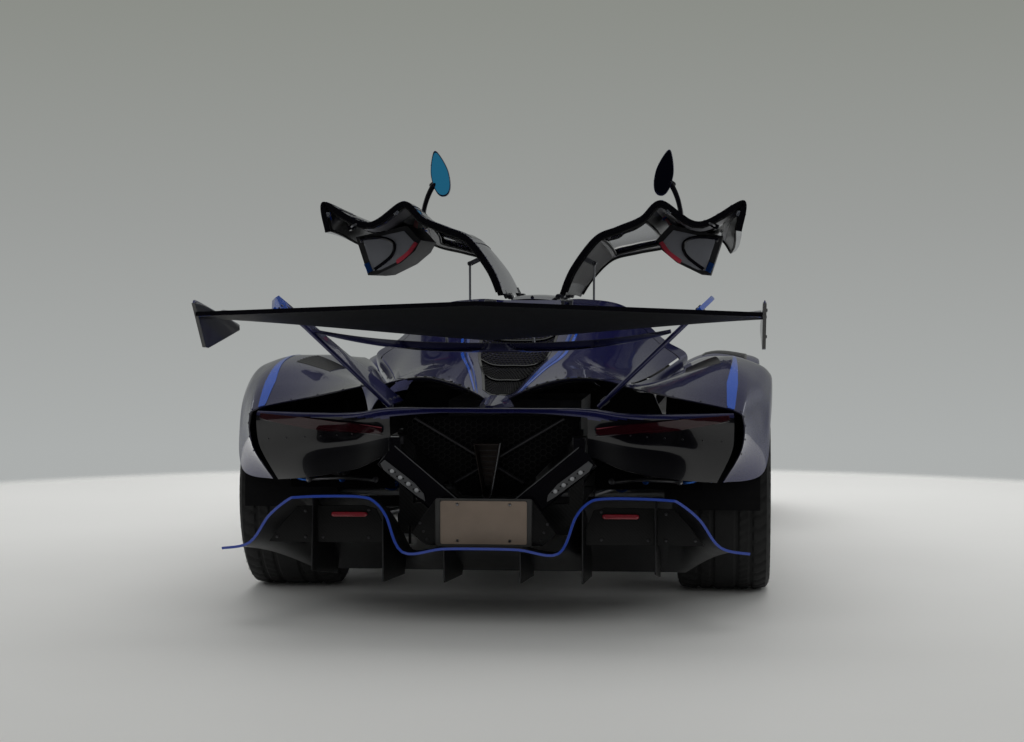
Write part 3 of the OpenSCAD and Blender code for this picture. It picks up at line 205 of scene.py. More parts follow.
def smooth(points, n, closed=False):
    """A smooth line of n points through the given ones."""
    p = np.array(points, float)
    if closed:
        p = np.vstack([p, p[:1]])
        k = len(points)
        t = np.linspace(0, k, n, endpoint=False)
        j = np.floor(t).astype(int)
        f = (t - j)[:, None]
        a, b, c, d = (p[:-1][(j + o) % k] for o in (-1, 0, 1, 2))
        return .5 * (2 * b + (c - a) * f + (2 * a - 5 * b + 4 * c - d) * f * f
                     + (3 * b - 3 * c + d - a) * f ** 3)
    w, i = weights(np.linspace(0, len(p) - 1, n), len(p))
    return np.einsum("ka,kac->kc", w, p[i])


def lin(a, b, n):
    return np.linspace(a, b, n)


def stations(a, b, n, *extra):
    """Places from a to b for a grid, with the extra ones that an opening needs."""
    return np.unique(np.round(np.concatenate([lin(a, b, n), extra]), 5))


def inside(opening, u, v):
    """Whether a cell that starts at (u, v) lies in an opening, given as u0, u1, v0, v1."""
    u0, u1, v0, v1 = opening
    return u0 - SEAM < u < u1 - SEAM and v0 - SEAM < v < v1 - SEAM


def turn(n):
    """The n angles of a full turn."""
    return np.linspace(0, 2 * np.pi, n, endpoint=False)


def span(a, b):
    """The two ends of a stretch, the lower one first."""
    return tuple(sorted((a, b)))


# ---- pieces --------------------------------------------------------------------------------------
class Piece:
    """Gathers the parts of one named piece; done() makes the object."""

    def __init__(self, name, body, slot=None, replaces=()):
        self.name, self.body, self.slot, self.stands_for = name, body, slot, replaces
        self.v, self.f, self.m, self.sm, self.mats, self.count = [], [], [], [], [], 0

    def add(self, verts, faces, mat, smooth_faces=True, warp=None):
        verts = np.asarray(verts, float).reshape(-1, 3)
        if warp is not None:
            verts, flip = warp(verts)
            if flip:
                faces = [list(f)[::-1] for f in faces]
        mats = mat if isinstance(mat, list) else None
        self.v.append(verts)
        for k, f in enumerate(faces):
            name = mats[k] if mats else mat
            if name not in self.mats:
                self.mats.append(name)
            self.f.append([int(i) + self.count for i in f])
            self.m.append(self.mats.index(name))
            self.sm.append(smooth_faces)
        self.count += len(verts)
        return self

    def done(self, bevel=0.0, angle=38, segments=1):
        me = bpy.data.meshes.new(self.name)
        me.from_pydata(np.vstack(self.v).tolist(), [], self.f)
        me.validate()
        for name in self.mats:
            me.materials.append(MATS[name])
        if len(me.polygons) == len(self.f):
            me.polygons.foreach_set("material_index", self.m)
            me.polygons.foreach_set("use_smooth", self.sm)
        me.set_sharp_from_angle(angle=math.radians(angle))
        me.update()
        ob = bpy.data.objects.new(self.name, me)
        bpy.context.scene.collection.objects.link(ob)
        if bevel:
            mod = ob.modifiers.new("edge", "BEVEL")
            mod.width = bevel
            mod.segments = segments
            mod.limit_method = "ANGLE"
            mod.angle_limit = math.radians(angle)
            mod.use_clamp_overlap = True
            mod.harden_normals = False
            weigh = ob.modifiers.new("normals", "WEIGHTED_NORMAL")
            weigh.keep_sharp = True
        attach(ob, self.body)
        if self.stands_for:
            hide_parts(*self.stands_for)
        return ob


def left(v):
    """To the car's left side; the faces turn over."""
    return v * np.array([-1, 1, 1]), True


def both(piece, verts, faces, mat, smooth_faces=True):
    piece.add(verts, faces, mat, smooth_faces)
    piece.add(verts, faces, mat, smooth_faces, warp=left)


HINGE = np.array([0.104, 0.0, 1.100])
OPEN = math.radians(64)          # how far the doors are drawn open
HINGE_PLACES = (0.29, -0.29)


def opened(v):
    """From the shut right door to the open one, about its hinge."""
    x, z = v[:, 0] - HINGE[0], v[:, 2] - HINGE[2]
    c, s = math.cos(OPEN), math.sin(OPEN)
    return np.stack([HINGE[0] + x * c - z * s, v[:, 1], HINGE[2] + x * s + z * c], -1), False


def opened_left(v):
    return opened(v)[0] * np.array([-1, 1, 1]), True


# ---- shapes, each as (vertices, faces) -----------------------------------------------------------
def grid_faces(m, n, wrap_u=False, wrap_v=False):
    out = []
    for i in range(m if wrap_u else m - 1):
        for j in range(n if wrap_v else n - 1):
            a, b = i * n + j, ((i + 1) % m) * n + j
            out.append([a, b, ((i + 1) % m) * n + (j + 1) % n, i * n + (j + 1) % n])
    return out


def sheet(P, t, side=1, keep=None, lift=0.0):
    """Closed sheet: returns vertices, faces and what each face is: o outer, i inner, w rim."""
    m, n = P.shape[0] - 1, P.shape[1] - 1
    N = grid_normals(P, side)
    outer = P + lift * N
    inner = outer - t * N
    on = np.ones((m, n), bool)
    if keep is not None:
        for i in range(m):
            for j in range(n):
                on[i, j] = keep(i, j)
    verts = np.vstack([outer.reshape(-1, 3), inner.reshape(-1, 3)])
    k = (m + 1) * (n + 1)
    faces, kind = [], []

    def put(f, what):
        faces.append(f if side > 0 else f[::-1])
        kind.append(what)
    for i in range(m):
        for j in range(n):
            if not on[i, j]:
                continue
            a, b = i * (n + 1) + j, (i + 1) * (n + 1) + j
            c, d = b + 1, a + 1
            put([a, b, c, d], "o")
            put([a + k, d + k, c + k, b + k], "i")
            if j == 0 or not on[i, j - 1]:
                put([a, a + k, b + k, b], "w")
            if j == n - 1 or not on[i, j + 1]:
                put([c, c + k, d + k, d], "w")
            if i == 0 or not on[i - 1, j]:
                put([d, d + k, a + k, a], "w")
            if i == m - 1 or not on[i + 1, j]:
                put([b, b + k, c + k, c], "w")
    used = np.zeros(2 * k, bool)
    for f in faces:
        used[f] = True
    remap = np.cumsum(used) - 1
    return verts[used], [[int(remap[x]) for x in f] for f in faces], kind


def skin(piece, P, t, mats, side=1, keep=None, warp=None, lift=0.0, mirrored=False):
    """Adds a sheet; mats is one name, or a dict for o, i and w."""
    v, f, kind = sheet(P, t, side, keep, lift)
    names = [mats] * len(f) if isinstance(mats, str) else [mats[x] for x in kind]
    piece.add(v, f, names, warp=warp)
    if mirrored:
        piece.add(v, f, names, warp=left)


def loft(rings, closed=True, caps=True):
    """Skin over equal rings of points; rings run counterclockwise about the way they follow."""
    R = np.array(rings, float)
    m, n = R.shape[:2]
    faces = []
    for i in range(m - 1):
        for j in range(n if closed else n - 1):
            a, b = i * n + j, i * n + (j + 1) % n
            faces.append([a, b, b + n, a + n])
    if caps and closed:
        faces.append(list(range(n))[::-1])
        faces.append([(m - 1) * n + j for j in range(n)])
    return R.reshape(-1, 3), faces


def frames(path):
    """Two ways square to a line at each of its points, which don't twist along it."""
    p = np.array(path, float)
    t = np.gradient(p, axis=0)
    t /= np.maximum(np.linalg.norm(t, axis=1, keepdims=True), 1e-12)
    up = np.array([0, 0, 1.0]) if abs(t[0][2]) < 0.9 else np.array([1.0, 0, 0])
    a = np.cross(t[0], up)
    a /= np.linalg.norm(a)
    out = []
    for k in range(len(p)):
        a = a - t[k] * np.dot(a, t[k])
        a /= max(np.linalg.norm(a), 1e-12)
        out.append((a.copy(), np.cross(t[k], a)))
    return out


def tube(path, r, n=12, caps=True, flat=1.0):
    """A round bar along a line of points; r is one radius or one for each point."""
    p = np.array(path, float)
    r = np.broadcast_to(np.asarray(r, float), (len(p),))
    th = turn(n)
    rings = []
    for k, (a, b) in enumerate(frames(p)):
        rings.append(p[k] + r[k] * (np.cos(th)[:, None] * a + flat * np.sin(th)[:, None] * b))
    return loft(rings, True, caps)


def extrude(outline, axis, lo, hi):
    """A plate: outline over the other two axes, in their order, from lo to hi along the axis."""
    o = np.array(outline, float)
    area = 0.5 * np.sum(o[:, 0] * np.roll(o[:, 1], -1) - np.roll(o[:, 0], -1) * o[:, 1])
    if area < 0:
        o = o[::-1]
    n = len(o)
    cols = [c for c in range(3) if c != axis]
    v = np.zeros((2 * n, 3))
    v[:n, cols[0]] = v[n:, cols[0]] = o[:, 0]
    v[:n, cols[1]] = v[n:, cols[1]] = o[:, 1]
    v[:n, axis], v[n:, axis] = lo, hi
    faces = [list(range(n))[::-1], list(range(n, 2 * n))]
    faces += [[k, (k + 1) % n, n + (k + 1) % n, n + k] for k in range(n)]
    if axis == 1:
        faces = [f[::-1] for f in faces]
    return v, faces


def box(lo, hi):
    return extrude([[lo[1], lo[2]], [hi[1], lo[2]], [hi[1], hi[2]], [lo[1], hi[2]]], 0, lo[0],
                   hi[0])


def lathe(profile, centre, axis=0, n=96, closed_profile=False):
    """Turns a profile of (radius, place along the axis) about the axis through centre."""
    p = np.array(profile, float)
    th = turn(n)
    v = np.zeros((n, len(p), 3))
    others = [(axis + 1) % 3, (axis + 2) % 3]
    v[:, :, axis] = p[None, :, 1]
    v[:, :, others[0]] = p[None, :, 0] * np.cos(th)[:, None]
    v[:, :, others[1]] = p[None, :, 0] * np.sin(th)[:, None]
    v += np.array(centre)
    faces = [f[::-1] for f in grid_faces(n, len(p), True, closed_profile)]
    return v.reshape(-1, 3), faces


def disc(r, h, n=16, dome=0.0):
    """Short round solid on the xy plane, for bolts, rivets and buttons."""
    prof = [(0, h + dome), (r * 0.6, h + dome * 0.7), (r * 0.92, h), (r, h * 0.8), (r, 0)]
    th = turn(n)
    rings = [[(a * math.cos(t), a * math.sin(t), z) for t in th] for a, z in prof[1:]]
    v = [(0, 0, prof[0][1])] + [q for ring in rings for q in ring]
    f = [[0, 1 + k, 1 + (k + 1) % n] for k in range(n)]
    for i in range(len(rings) - 1):
        for k in range(n):
            a, b = 1 + i * n + k, 1 + i * n + (k + 1) % n
            f.append([a, a + n, b + n, b])
    return np.array(v, float), f


def placed(shape, at, normal, spin=0.0, scale=1.0):
    """Moves a shape on the xy plane so that its z axis follows the normal."""
    v, f = shape
    z = np.array(normal, float) / max(np.linalg.norm(normal), 1e-12)
    x = np.cross([0, 1, 0] if abs(z[1]) < 0.9 else [1, 0, 0], z)
    x /= np.linalg.norm(x)
    y = np.cross(z, x)
    c, s = math.cos(spin), math.sin(spin)
    x, y = c * x + s * y, -s * x + c * y
    return np.asarray(v) * scale @ np.stack([x, y, z]) + np.array(at), f


def stripe(surf, path, width, lift=0.0006, t=0.0008, cross=4, along_n=60):
    """A thin strip that lies on a surface along a line of (u, v), of a width given in metres,
    as one number or one for each point of the line."""
    p = smooth(path, along_n)
    w = np.interp(np.linspace(0, 1, along_n), np.linspace(0, 1, len(np.atleast_1d(width))),
                  np.atleast_1d(width)) if np.ndim(width) else np.full(along_n, width)
    P0 = surf.at(p[:, 0], p[:, 1])
    du = (surf.at(p[:, 0] + STEP, p[:, 1]) - P0) / STEP
    dv = (surf.at(p[:, 0], p[:, 1] + STEP) - P0) / STEP
    d = np.gradient(p, axis=0)
    T = du * d[:, :1] + dv * d[:, 1:]
    T /= np.maximum(np.linalg.norm(T, axis=1, keepdims=True), 1e-12)
    S = np.cross(surf.normal(p[:, 0], p[:, 1]), T)
    rows = []
    for k in range(along_n):
        A = np.stack([du[k], dv[k]], 1)
        q, *_ = np.linalg.lstsq(A, S[k], rcond=None)
        offs = np.linspace(-w[k] / 2, w[k] / 2, cross + 1)
        rows.append(surf.at(p[k, 0] + offs * q[0], p[k, 1] + offs * q[1], lift + t))
    P = np.array(rows)
    outwards = surf.normal(p[:, 0], p[:, 1]).repeat(cross + 1, 0)
    side = 1 if np.sum(grid_normals(P).reshape(-1, 3) * outwards) > 0 else -1
    return sheet(P, t, side)[:2]


# ---- materials -----------------------------------------------------------------------------------
MATS = {}


class Tree:
    """A material's nodes, with short ways to make the usual ones."""

    def __init__(self, name):
        self.m = bpy.data.materials.new(name)
        self.m.use_nodes = True
        self.t = self.m.node_tree
        self.t.nodes.clear()
        self.out = self.new("ShaderNodeOutputMaterial")
        self.b = self.new("ShaderNodeBsdfPrincipled")
        self.t.links.new(self.b.outputs[0], self.out.inputs[0])
        self.co = self.new("ShaderNodeTexCoord").outputs["Object"]

    def new(self, kind, **props):
        n = self.t.nodes.new(kind)
        for k, v in props.items():
            setattr(n, k, v)
        return n

    def put(self, socket, value):
        if isinstance(value, bpy.types.NodeSocket):
            self.t.links.new(value, socket)
        elif value is not None:
            socket.default_value = value

    def math(self, op, a, b=None, c=None):
        n = self.new("ShaderNodeMath", operation=op)
        for k, x in enumerate((a, b, c)):
            if x is not None:
                self.put(n.inputs[k], x)
        return n.outputs[0]

    def mix(self, f, a, b):
        return self.math("ADD", self.math("MULTIPLY", a, self.math("SUBTRACT", 1.0, f)),
                         self.math("MULTIPLY", b, f))

    def colour(self, f, a, b):
        n = self.new("ShaderNodeMix", data_type="RGBA")
        self.put(n.inputs[0], f)
        self.put(n.inputs[6], (*a, 1) if isinstance(a, tuple) else a)
        self.put(n.inputs[7], (*b, 1) if isinstance(b, tuple) else b)
        return n.outputs[2]

    def noise(self, scale, detail=3.0, rough=0.55, stretch=None):
        co = self.co
        if stretch:
            m = self.new("ShaderNodeMapping")
            self.put(m.inputs[0], co)
            m.inputs[3].default_value = stretch
            co = m.outputs[0]
        n = self.new("ShaderNodeTexNoise")
        self.put(n.inputs["Vector"], co)
        n.inputs["Scale"].default_value = scale
        n.inputs["Detail"].default_value = detail
        n.inputs["Roughness"].default_value = rough
        return n.outputs[0]

    def bump(self, height, strength, distance=0.001, base=None):
        n = self.new("ShaderNodeBump")
        n.inputs["Strength"].default_value = strength
        n.inputs["Distance"].default_value = distance
        self.put(n.inputs["Height"], height)
        if base is not None:
            self.put(n.inputs["Normal"], base)
        return n.outputs[0]

    def flat(self):
        """Two coordinates across the surface, taken from the axis that it faces least."""
        s = self.new("ShaderNodeSeparateXYZ")
        self.put(s.inputs[0], self.co)
        g = self.new("ShaderNodeSeparateXYZ")
        self.put(g.inputs[0], self.new("ShaderNodeTexCoord").outputs["Normal"])
        ax, ay, az = (self.math("ABSOLUTE", g.outputs[k]) for k in range(3))
        fx = self.math("MULTIPLY", self.math("GREATER_THAN", ax, ay),
                       self.math("GREATER_THAN", ax, az))
        fy = self.math("MULTIPLY", self.math("GREATER_THAN", ay, ax),
                       self.math("GREATER_THAN", ay, az))
        p = self.mix(fx, s.outputs[0], s.outputs[1])
        q = self.mix(self.math("MAXIMUM", fx, fy), s.outputs[1], s.outputs[2])
        return p, q

    def twill(self, size):
        """Twill weave: (which tow lies on top, height of the cloth)."""
        p, q = self.flat()
        a, b = self.math("MULTIPLY", p, 1 / size), self.math("MULTIPLY", q, 1 / size)
        k = self.math("FLOORED_MODULO",
                      self.math("ADD", self.math("FLOOR", a), self.math("FLOOR", b)), 4.0)
        over = self.math("LESS_THAN", k, 2.0)
        ha = self.math("SINE", self.math("MULTIPLY", self.math("FRACT", a), math.pi))
        hb = self.math("SINE", self.math("MULTIPLY", self.math("FRACT", b), math.pi))
        return over, self.mix(over, ha, hb)

    def dots(self, size, radius):
        p, q = self.flat()
        a = self.math("SUBTRACT", self.math("FRACT", self.math("MULTIPLY", p, 1 / size)), 0.5)
        b = self.math("SUBTRACT", self.math("FRACT", self.math("MULTIPLY", q, 1 / size)), 0.5)
        d = self.math("SQRT", self.math("ADD", self.math("MULTIPLY", a, a),
                                        self.math("MULTIPLY", b, b)))
        return self.math("LESS_THAN", d, radius)


# The material's options: vary is (scale, strength) of the roughness' noise, tint the colour's
# noise, grain (scale, strength, depth) of the bumps, weave the width of a tow, perforated
# (spacing, radius) of the holes, painted near-black as shade, brushed the stretch of the
# scratches, worn the bare edges.
def material(name, colour, rough, metal=0.0, coat=0.0, coat_rough=0.03, spec=0.5, vary=(30.0, 0.08),
             tint=0.0, grain=None, weave=None, perforated=None, brushed=None, trans=0.0, ior=1.45,
             sheen=0.0, emit=None, worn=0.0):
    t = Tree(name)
    b = t.b.inputs
    n = t.noise(vary[0], 4)
    r = t.math("MULTIPLY_ADD", t.math("SUBTRACT", n, 0.5), 2 * vary[1], rough)
    base, normal = colour, None
    if tint:
        base = t.colour(t.noise(vary[0] * 0.37, 5), tuple(c * (1 - tint) for c in colour),
                        tuple(min(1, c * (1 + tint)) for c in colour))
    if weave:
        over, h = t.twill(weave)
        base = t.colour(over, tuple(c * 0.55 for c in colour), tuple(c * 1.5 for c in colour))
        r = t.math("ADD", r, t.math("MULTIPLY", over, 0.08))
        normal = t.bump(h, 0.25, weave * 0.12)
    if brushed:
        h = t.noise(90.0, 6, 0.7, brushed)
        r = t.math("MULTIPLY_ADD", t.math("SUBTRACT", h, 0.5), 0.25, r)
        normal = t.bump(h, 0.12, 0.0003)
    if perforated:
        # the holes are painted near-black: painted shade, with a dent
        hole = t.dots(*perforated)
        base = t.colour(hole, base, (0.004, 0.004, 0.005))
        normal = t.bump(hole, -0.5, 0.0006)
    if grain:
        normal = t.bump(t.noise(grain[0], 6, 0.65), grain[1], grain[2] if len(grain) > 2
                        else 0.0006, normal)
    if worn:
        geo = t.new("ShaderNodeNewGeometry")
        edge = t.math("MULTIPLY", t.math("GREATER_THAN", geo.outputs["Pointiness"], 0.53),
                      t.math("GREATER_THAN", t.noise(160.0, 3), 0.45))
        base = t.colour(t.math("MULTIPLY", edge, worn), base,
                        tuple(min(1, c * 2.2 + 0.06) for c in colour))
    t.put(b["Base Color"], (*base, 1) if isinstance(base, tuple) else base)
    t.put(b["Roughness"], r)
    t.put(b["Metallic"], metal)
    t.put(b["Specular IOR Level"], spec)
    t.put(b["Coat Weight"], coat)
    t.put(b["Coat Roughness"], coat_rough)
    t.put(b["IOR"], ior)
    t.put(b["Transmission Weight"], trans)
    t.put(b["Sheen Weight"], sheen)
    if normal is not None:
        t.put(b["Normal"], normal)
    if emit:
        t.put(b["Emission Color"], (*emit[0], 1))
        t.put(b["Emission Strength"], emit[1])
    MATS[name] = t.m
    return t


material("paint", (0.0100, 0.0110, 0.075), 0.28, metal=0.25, coat=1.0, coat_rough=0.012,
         vary=(420.0, 0.05), tint=0.12, grain=(900.0, 0.02, 0.0002))
material("paint_edge", (0.006, 0.005, 0.020), 0.35, metal=0.3, coat=0.8, vary=(200.0, 0.05),
         worn=0.2)
material("carbon", (0.0065, 0.0065, 0.0080), 0.32, coat=1.0, coat_rough=0.02, weave=0.003,
         vary=(24.0, 0.05))
material("carbon_dark", (0.0040, 0.0040, 0.0046), 0.45, coat=0.2, coat_rough=0.1, spec=0.2,
         weave=0.003, vary=(24.0, 0.05))
material("carbon_matte", (0.0080, 0.0086, 0.0086), 0.55, spec=0.3, weave=0.003, vary=(18.0, 0.08))
material("carbon_tub", (0.010, 0.010, 0.012), 0.42, coat=0.35, coat_rough=0.2, weave=0.004,
         vary=(14.0, 0.08))
material("gloss_black", (0.0030, 0.0028, 0.0045), 0.14, coat=0.7, coat_rough=0.012, spec=0.3,
         vary=(60.0, 0.03), tint=0.2)
material("blue", (0.012, 0.100, 0.60), 0.26, metal=0.2, coat=1.0, coat_rough=0.02,
         vary=(300.0, 0.05), tint=0.12)
material("blue_line", (0.012, 0.050, 0.36), 0.30, coat=0.8, vary=(300.0, 0.05), tint=0.12)
material("blue_soft", (0.020, 0.085, 0.45), 0.28, metal=0.2, coat=0.9, vary=(300.0, 0.05),
         tint=0.12)
# lilac: a painted reflection of the studio's light, on the wing's lip, the end plates' top edges
# and the doors' rear edges
material("lilac", (0.10, 0.10, 0.22), 0.26, metal=0.5, coat=1.0, vary=(300.0, 0.05), tint=0.1)
material("rubber", (0.007, 0.007, 0.007), 0.70, spec=0.3, vary=(40.0, 0.1), grain=(500.0, 0.25))
material("tyre", (0.016, 0.016, 0.0165), 0.70, spec=0.35, vary=(35.0, 0.12), tint=0.25,
         grain=(420.0, 0.35, 0.0006))
material("tyre_mark", (0.024, 0.024, 0.025), 0.55, spec=0.4, vary=(35.0, 0.1), grain=(900.0, 0.2))
material("rim", (0.030, 0.030, 0.034), 0.30, metal=0.85, coat=0.6, coat_rough=0.05,
         vary=(60.0, 0.08), worn=0.35)
material("rim_edge", (0.30, 0.31, 0.33), 0.28, metal=1.0, vary=(80.0, 0.08),
         brushed=(1.0, 8.0, 8.0))
material("disc", (0.20, 0.20, 0.205), 0.42, metal=0.9, vary=(30.0, 0.12), brushed=(1.0, 14.0, 14.0),
         tint=0.25)
material("caliper", (0.018, 0.07, 0.30), 0.30, metal=0.3, coat=0.8, vary=(60.0, 0.06), tint=0.1)
material("alloy", (0.46, 0.47, 0.49), 0.34, metal=1.0, vary=(60.0, 0.1), brushed=(6.0, 1.0, 6.0),
         tint=0.12)
material("steel", (0.30, 0.30, 0.32), 0.36, metal=1.0, vary=(80.0, 0.1), tint=0.2,
         grain=(300.0, 0.15))
material("dark_steel", (0.07, 0.07, 0.075), 0.42, metal=0.9, vary=(50.0, 0.12), tint=0.3,
         grain=(240.0, 0.2))
material("chrome", (0.75, 0.76, 0.80), 0.09, metal=1.0, vary=(90.0, 0.05), tint=0.05)
material("cast", (0.13, 0.13, 0.135), 0.60, metal=0.7, vary=(40.0, 0.12), tint=0.3,
         grain=(160.0, 0.5, 0.001))
material("heat_metal", (0.060, 0.050, 0.047), 0.34, metal=1.0, vary=(22.0, 0.12), tint=0.45,
         brushed=(6.0, 1.0, 6.0))
material("mesh_dark", (0.006, 0.006, 0.007), 0.45, metal=0.4, vary=(60.0, 0.1), grain=(400.0, 0.2))
material("mesh_lilac", (0.035, 0.030, 0.085), 0.34, metal=0.5, vary=(60.0, 0.1), tint=0.2, coat=0.5)
material("liner", (0.006, 0.006, 0.007), 0.82, spec=0.2, vary=(26.0, 0.1), tint=0.3,
         grain=(260.0, 0.6, 0.001))
# near-black: the nose hatch's gap, and painted shade in holes, slots and dark spaces behind parts
material("void", (0.003, 0.003, 0.0035), 0.9, spec=0.1, vary=(20.0, 0.05), tint=0.2)
material("suede", (0.022, 0.022, 0.026), 0.92, spec=0.2, sheen=0.5, vary=(60.0, 0.05), tint=0.35,
         grain=(1400.0, 0.6, 0.0005))
material("suede_grey", (0.085, 0.085, 0.095), 0.9, spec=0.2, sheen=0.4, vary=(60.0, 0.05),
         tint=0.25, grain=(1400.0, 0.6, 0.0005))
material("leather", (0.024, 0.023, 0.026), 0.52, spec=0.4, vary=(90.0, 0.08), tint=0.15,
         grain=(520.0, 0.5, 0.0005), perforated=(0.006, 0.17))
material("thread", (0.05, 0.13, 0.42), 0.75, sheen=0.3, vary=(400.0, 0.1), tint=0.3,
         grain=(1800.0, 0.6))
material("strap_red", (0.42, 0.02, 0.045), 0.72, sheen=0.4, vary=(300.0, 0.08), tint=0.2,
         weave=0.0016)
material("plastic", (0.020, 0.020, 0.022), 0.55, spec=0.4, vary=(70.0, 0.08), tint=0.2,
         grain=(700.0, 0.35))
material("grey_trim", (0.16, 0.16, 0.175), 0.46, spec=0.45, vary=(60.0, 0.08), tint=0.15,
         grain=(800.0, 0.3))
material("screen", (0.006, 0.008, 0.012), 0.06, spec=0.6, coat=1.0, vary=(30.0, 0.02), tint=0.2)
material("plate", (0.24, 0.185, 0.145), 0.42, spec=0.5, vary=(24.0, 0.1), tint=0.30, coat=0.2)
material("plate_frame", (0.045, 0.045, 0.045), 0.45, vary=(60.0, 0.1), tint=0.2, grain=(600.0, 0.2))
material("reflector", (0.24, 0.005, 0.016), 0.22, coat=1.0, vary=(60.0, 0.04),
         perforated=(0.0045, 0.10))
# light red of the line inside the tail lamps: a painted highlight, not lit
material("lamp_glow", (0.30, 0.06, 0.08), 0.35, coat=0.6, vary=(60.0, 0.05), tint=0.15)
# light grey of the light bars, also used for a painted highlight along the tail arms' edge
material("led", (0.085, 0.087, 0.092), 0.34, coat=0.6, vary=(50.0, 0.05), tint=0.10,
         grain=(350.0, 0.2))
material("led_dot", (0.42, 0.43, 0.45), 0.22, coat=1.0, vary=(50.0, 0.03), tint=0.06)
material("reflector_silver", (0.78, 0.79, 0.82), 0.14, metal=1.0, vary=(60.0, 0.05), tint=0.08)
material("anodised_red", (0.42, 0.02, 0.03), 0.30, metal=0.9, vary=(60.0, 0.06), tint=0.12)
material("anodised_blue", (0.03, 0.12, 0.45), 0.30, metal=0.9, vary=(60.0, 0.06), tint=0.12)
material("strut_black", (0.010, 0.010, 0.011), 0.25, coat=0.9, vary=(50.0, 0.05), tint=0.2)
material("grey_gloss", (0.30, 0.31, 0.34), 0.20, metal=0.3, coat=1.0, vary=(50.0, 0.04), tint=0.08)
# The left mirror's glass: a bright cyan tint and a weak glow of its own, a painted reflection,
# though it is no lamp
material("mirror", (0.30, 0.60, 0.85), 0.03, metal=1.0, vary=(20.0, 0.01), tint=0.02,
         emit=((0.02, 0.20, 0.36), 0.45))
material("mirror_blue", (0.030, 0.045, 0.13), 0.03, metal=1.0, coat=1.0, vary=(20.0, 0.01),
         tint=0.02)


def glass_material(name, tint, clear, rough=0.02):
    """Thin glazing: mostly see-through, with a clear reflection that grows at a slant."""
    t = Tree(name)
    t.put(t.b.inputs["Base Color"], (*tint, 1))
    t.put(t.b.inputs["Roughness"], t.math("MULTIPLY_ADD", t.noise(3.0, 3), 0.02, rough))
    t.put(t.b.inputs["Coat Weight"], 1.0)
    t.put(t.b.inputs["Coat Roughness"], 0.01)
    see = t.new("ShaderNodeBsdfTransparent")
    t.put(see.inputs[0], (*[c ** 0.35 for c in tint], 1))
    m = t.new("ShaderNodeMixShader")
    fres = t.new("ShaderNodeLayerWeight")
    fres.inputs[0].default_value = 0.25
    f = t.math("MULTIPLY_ADD", fres.outputs["Facing"], 0.35, 1.0 - clear)
    t.put(m.inputs[0], t.math("MINIMUM", f, 1.0))
    t.t.links.new(see.outputs[0], m.inputs[1])
    t.t.links.new(t.b.outputs[0], m.inputs[2])
    t.t.links.new(m.outputs[0], t.out.inputs[0])
    MATS[name] = t.m


glass_material("glass", (0.05, 0.05, 0.065), 0.62)
glass_material("glass_dark", (0.012, 0.010, 0.030), 0.38)
glass_material("lens_clear", (0.30, 0.32, 0.36), 0.75)
glass_material("lens_red", (0.035, 0.004, 0.008), 0.42)


# ---- body panels ---------------------------------------------------------------------------------
NOSE = Surf(NOSE_GRID, full=True)
FENDER = Surf(FRONT_FENDER_GRID)
POD = Surf(SIDE_POD_GRID)
REAR = Surf(REAR_FENDER_GRID)
DECK = Surf(FUSELAGE_GRID, full=True)
DOOR = Surf(DOOR_GRID)
GLASS = Surf(GLASS_GRID, full=True, side=-1)
TAIL = Surf(TAIL_GRID, full=True)
PANEL = dict(o="paint", i="carbon_tub", w="paint_edge")
CARBON_PANEL = dict(o="carbon", i="carbon_tub", w="carbon")
RIVET = disc(0.0035, 0.0012, 10, 0.0008)
BOLT = disc(0.006, 0.004, 6, 0.0006)


def rivets(piece, surf, points, mat="dark_steel", shape=RIVET, warp=None, mirrored=True, lift=0.0):
    p = np.array(points, float)
    P = surf.at(p[:, 0], p[:, 1], lift)
    N = surf.normal(p[:, 0], p[:, 1])
    for q, n in zip(P, N):
        v, f = placed(shape, q, n)
        piece.add(v, f, mat, warp=warp)
        if mirrored:
            piece.add(v, f, mat, warp=left)


# nose, with a raised spine, a hatch and its fasteners
b = Piece("nose_shell", "chassis", "paint", ["nose"])
skin(b, NOSE.mesh(lin(0, 5, 58), lin(0, 6, 65)), 0.005, PANEL)
hatch = [(3.6, 2.0), (3.6, 4.0), (4.5, 4.0), (4.5, 2.0)]
for a, c in zip(hatch, hatch[1:] + hatch[:1]):
    b.add(*stripe(NOSE, [a, ((a[0] + c[0]) / 2, (a[1] + c[1]) / 2), c], 0.004, 0.0004, 0.0004, 1,
                  30), "void")
rivets(b, NOSE, [(3.5, 2.2 + 0.32 * k) for k in range(6)]
       + [(4.6, 2.2 + 0.32 * k) for k in range(6)], shape=BOLT, mirrored=False)
rivets(b, NOSE, [(0.3 + 0.42 * k, 5.86) for k in range(11)]
       + [(0.3 + 0.42 * k, 0.14) for k in range(11)], mirrored=False)
b.add(*stripe(NOSE, [(0.05, 3.0), (2.5, 3.0), (4.95, 3.0)], [0.012, 0.02, 0.03], 0.0006, 0.0008, 2,
              60), "blue")
b.done(0.0012)

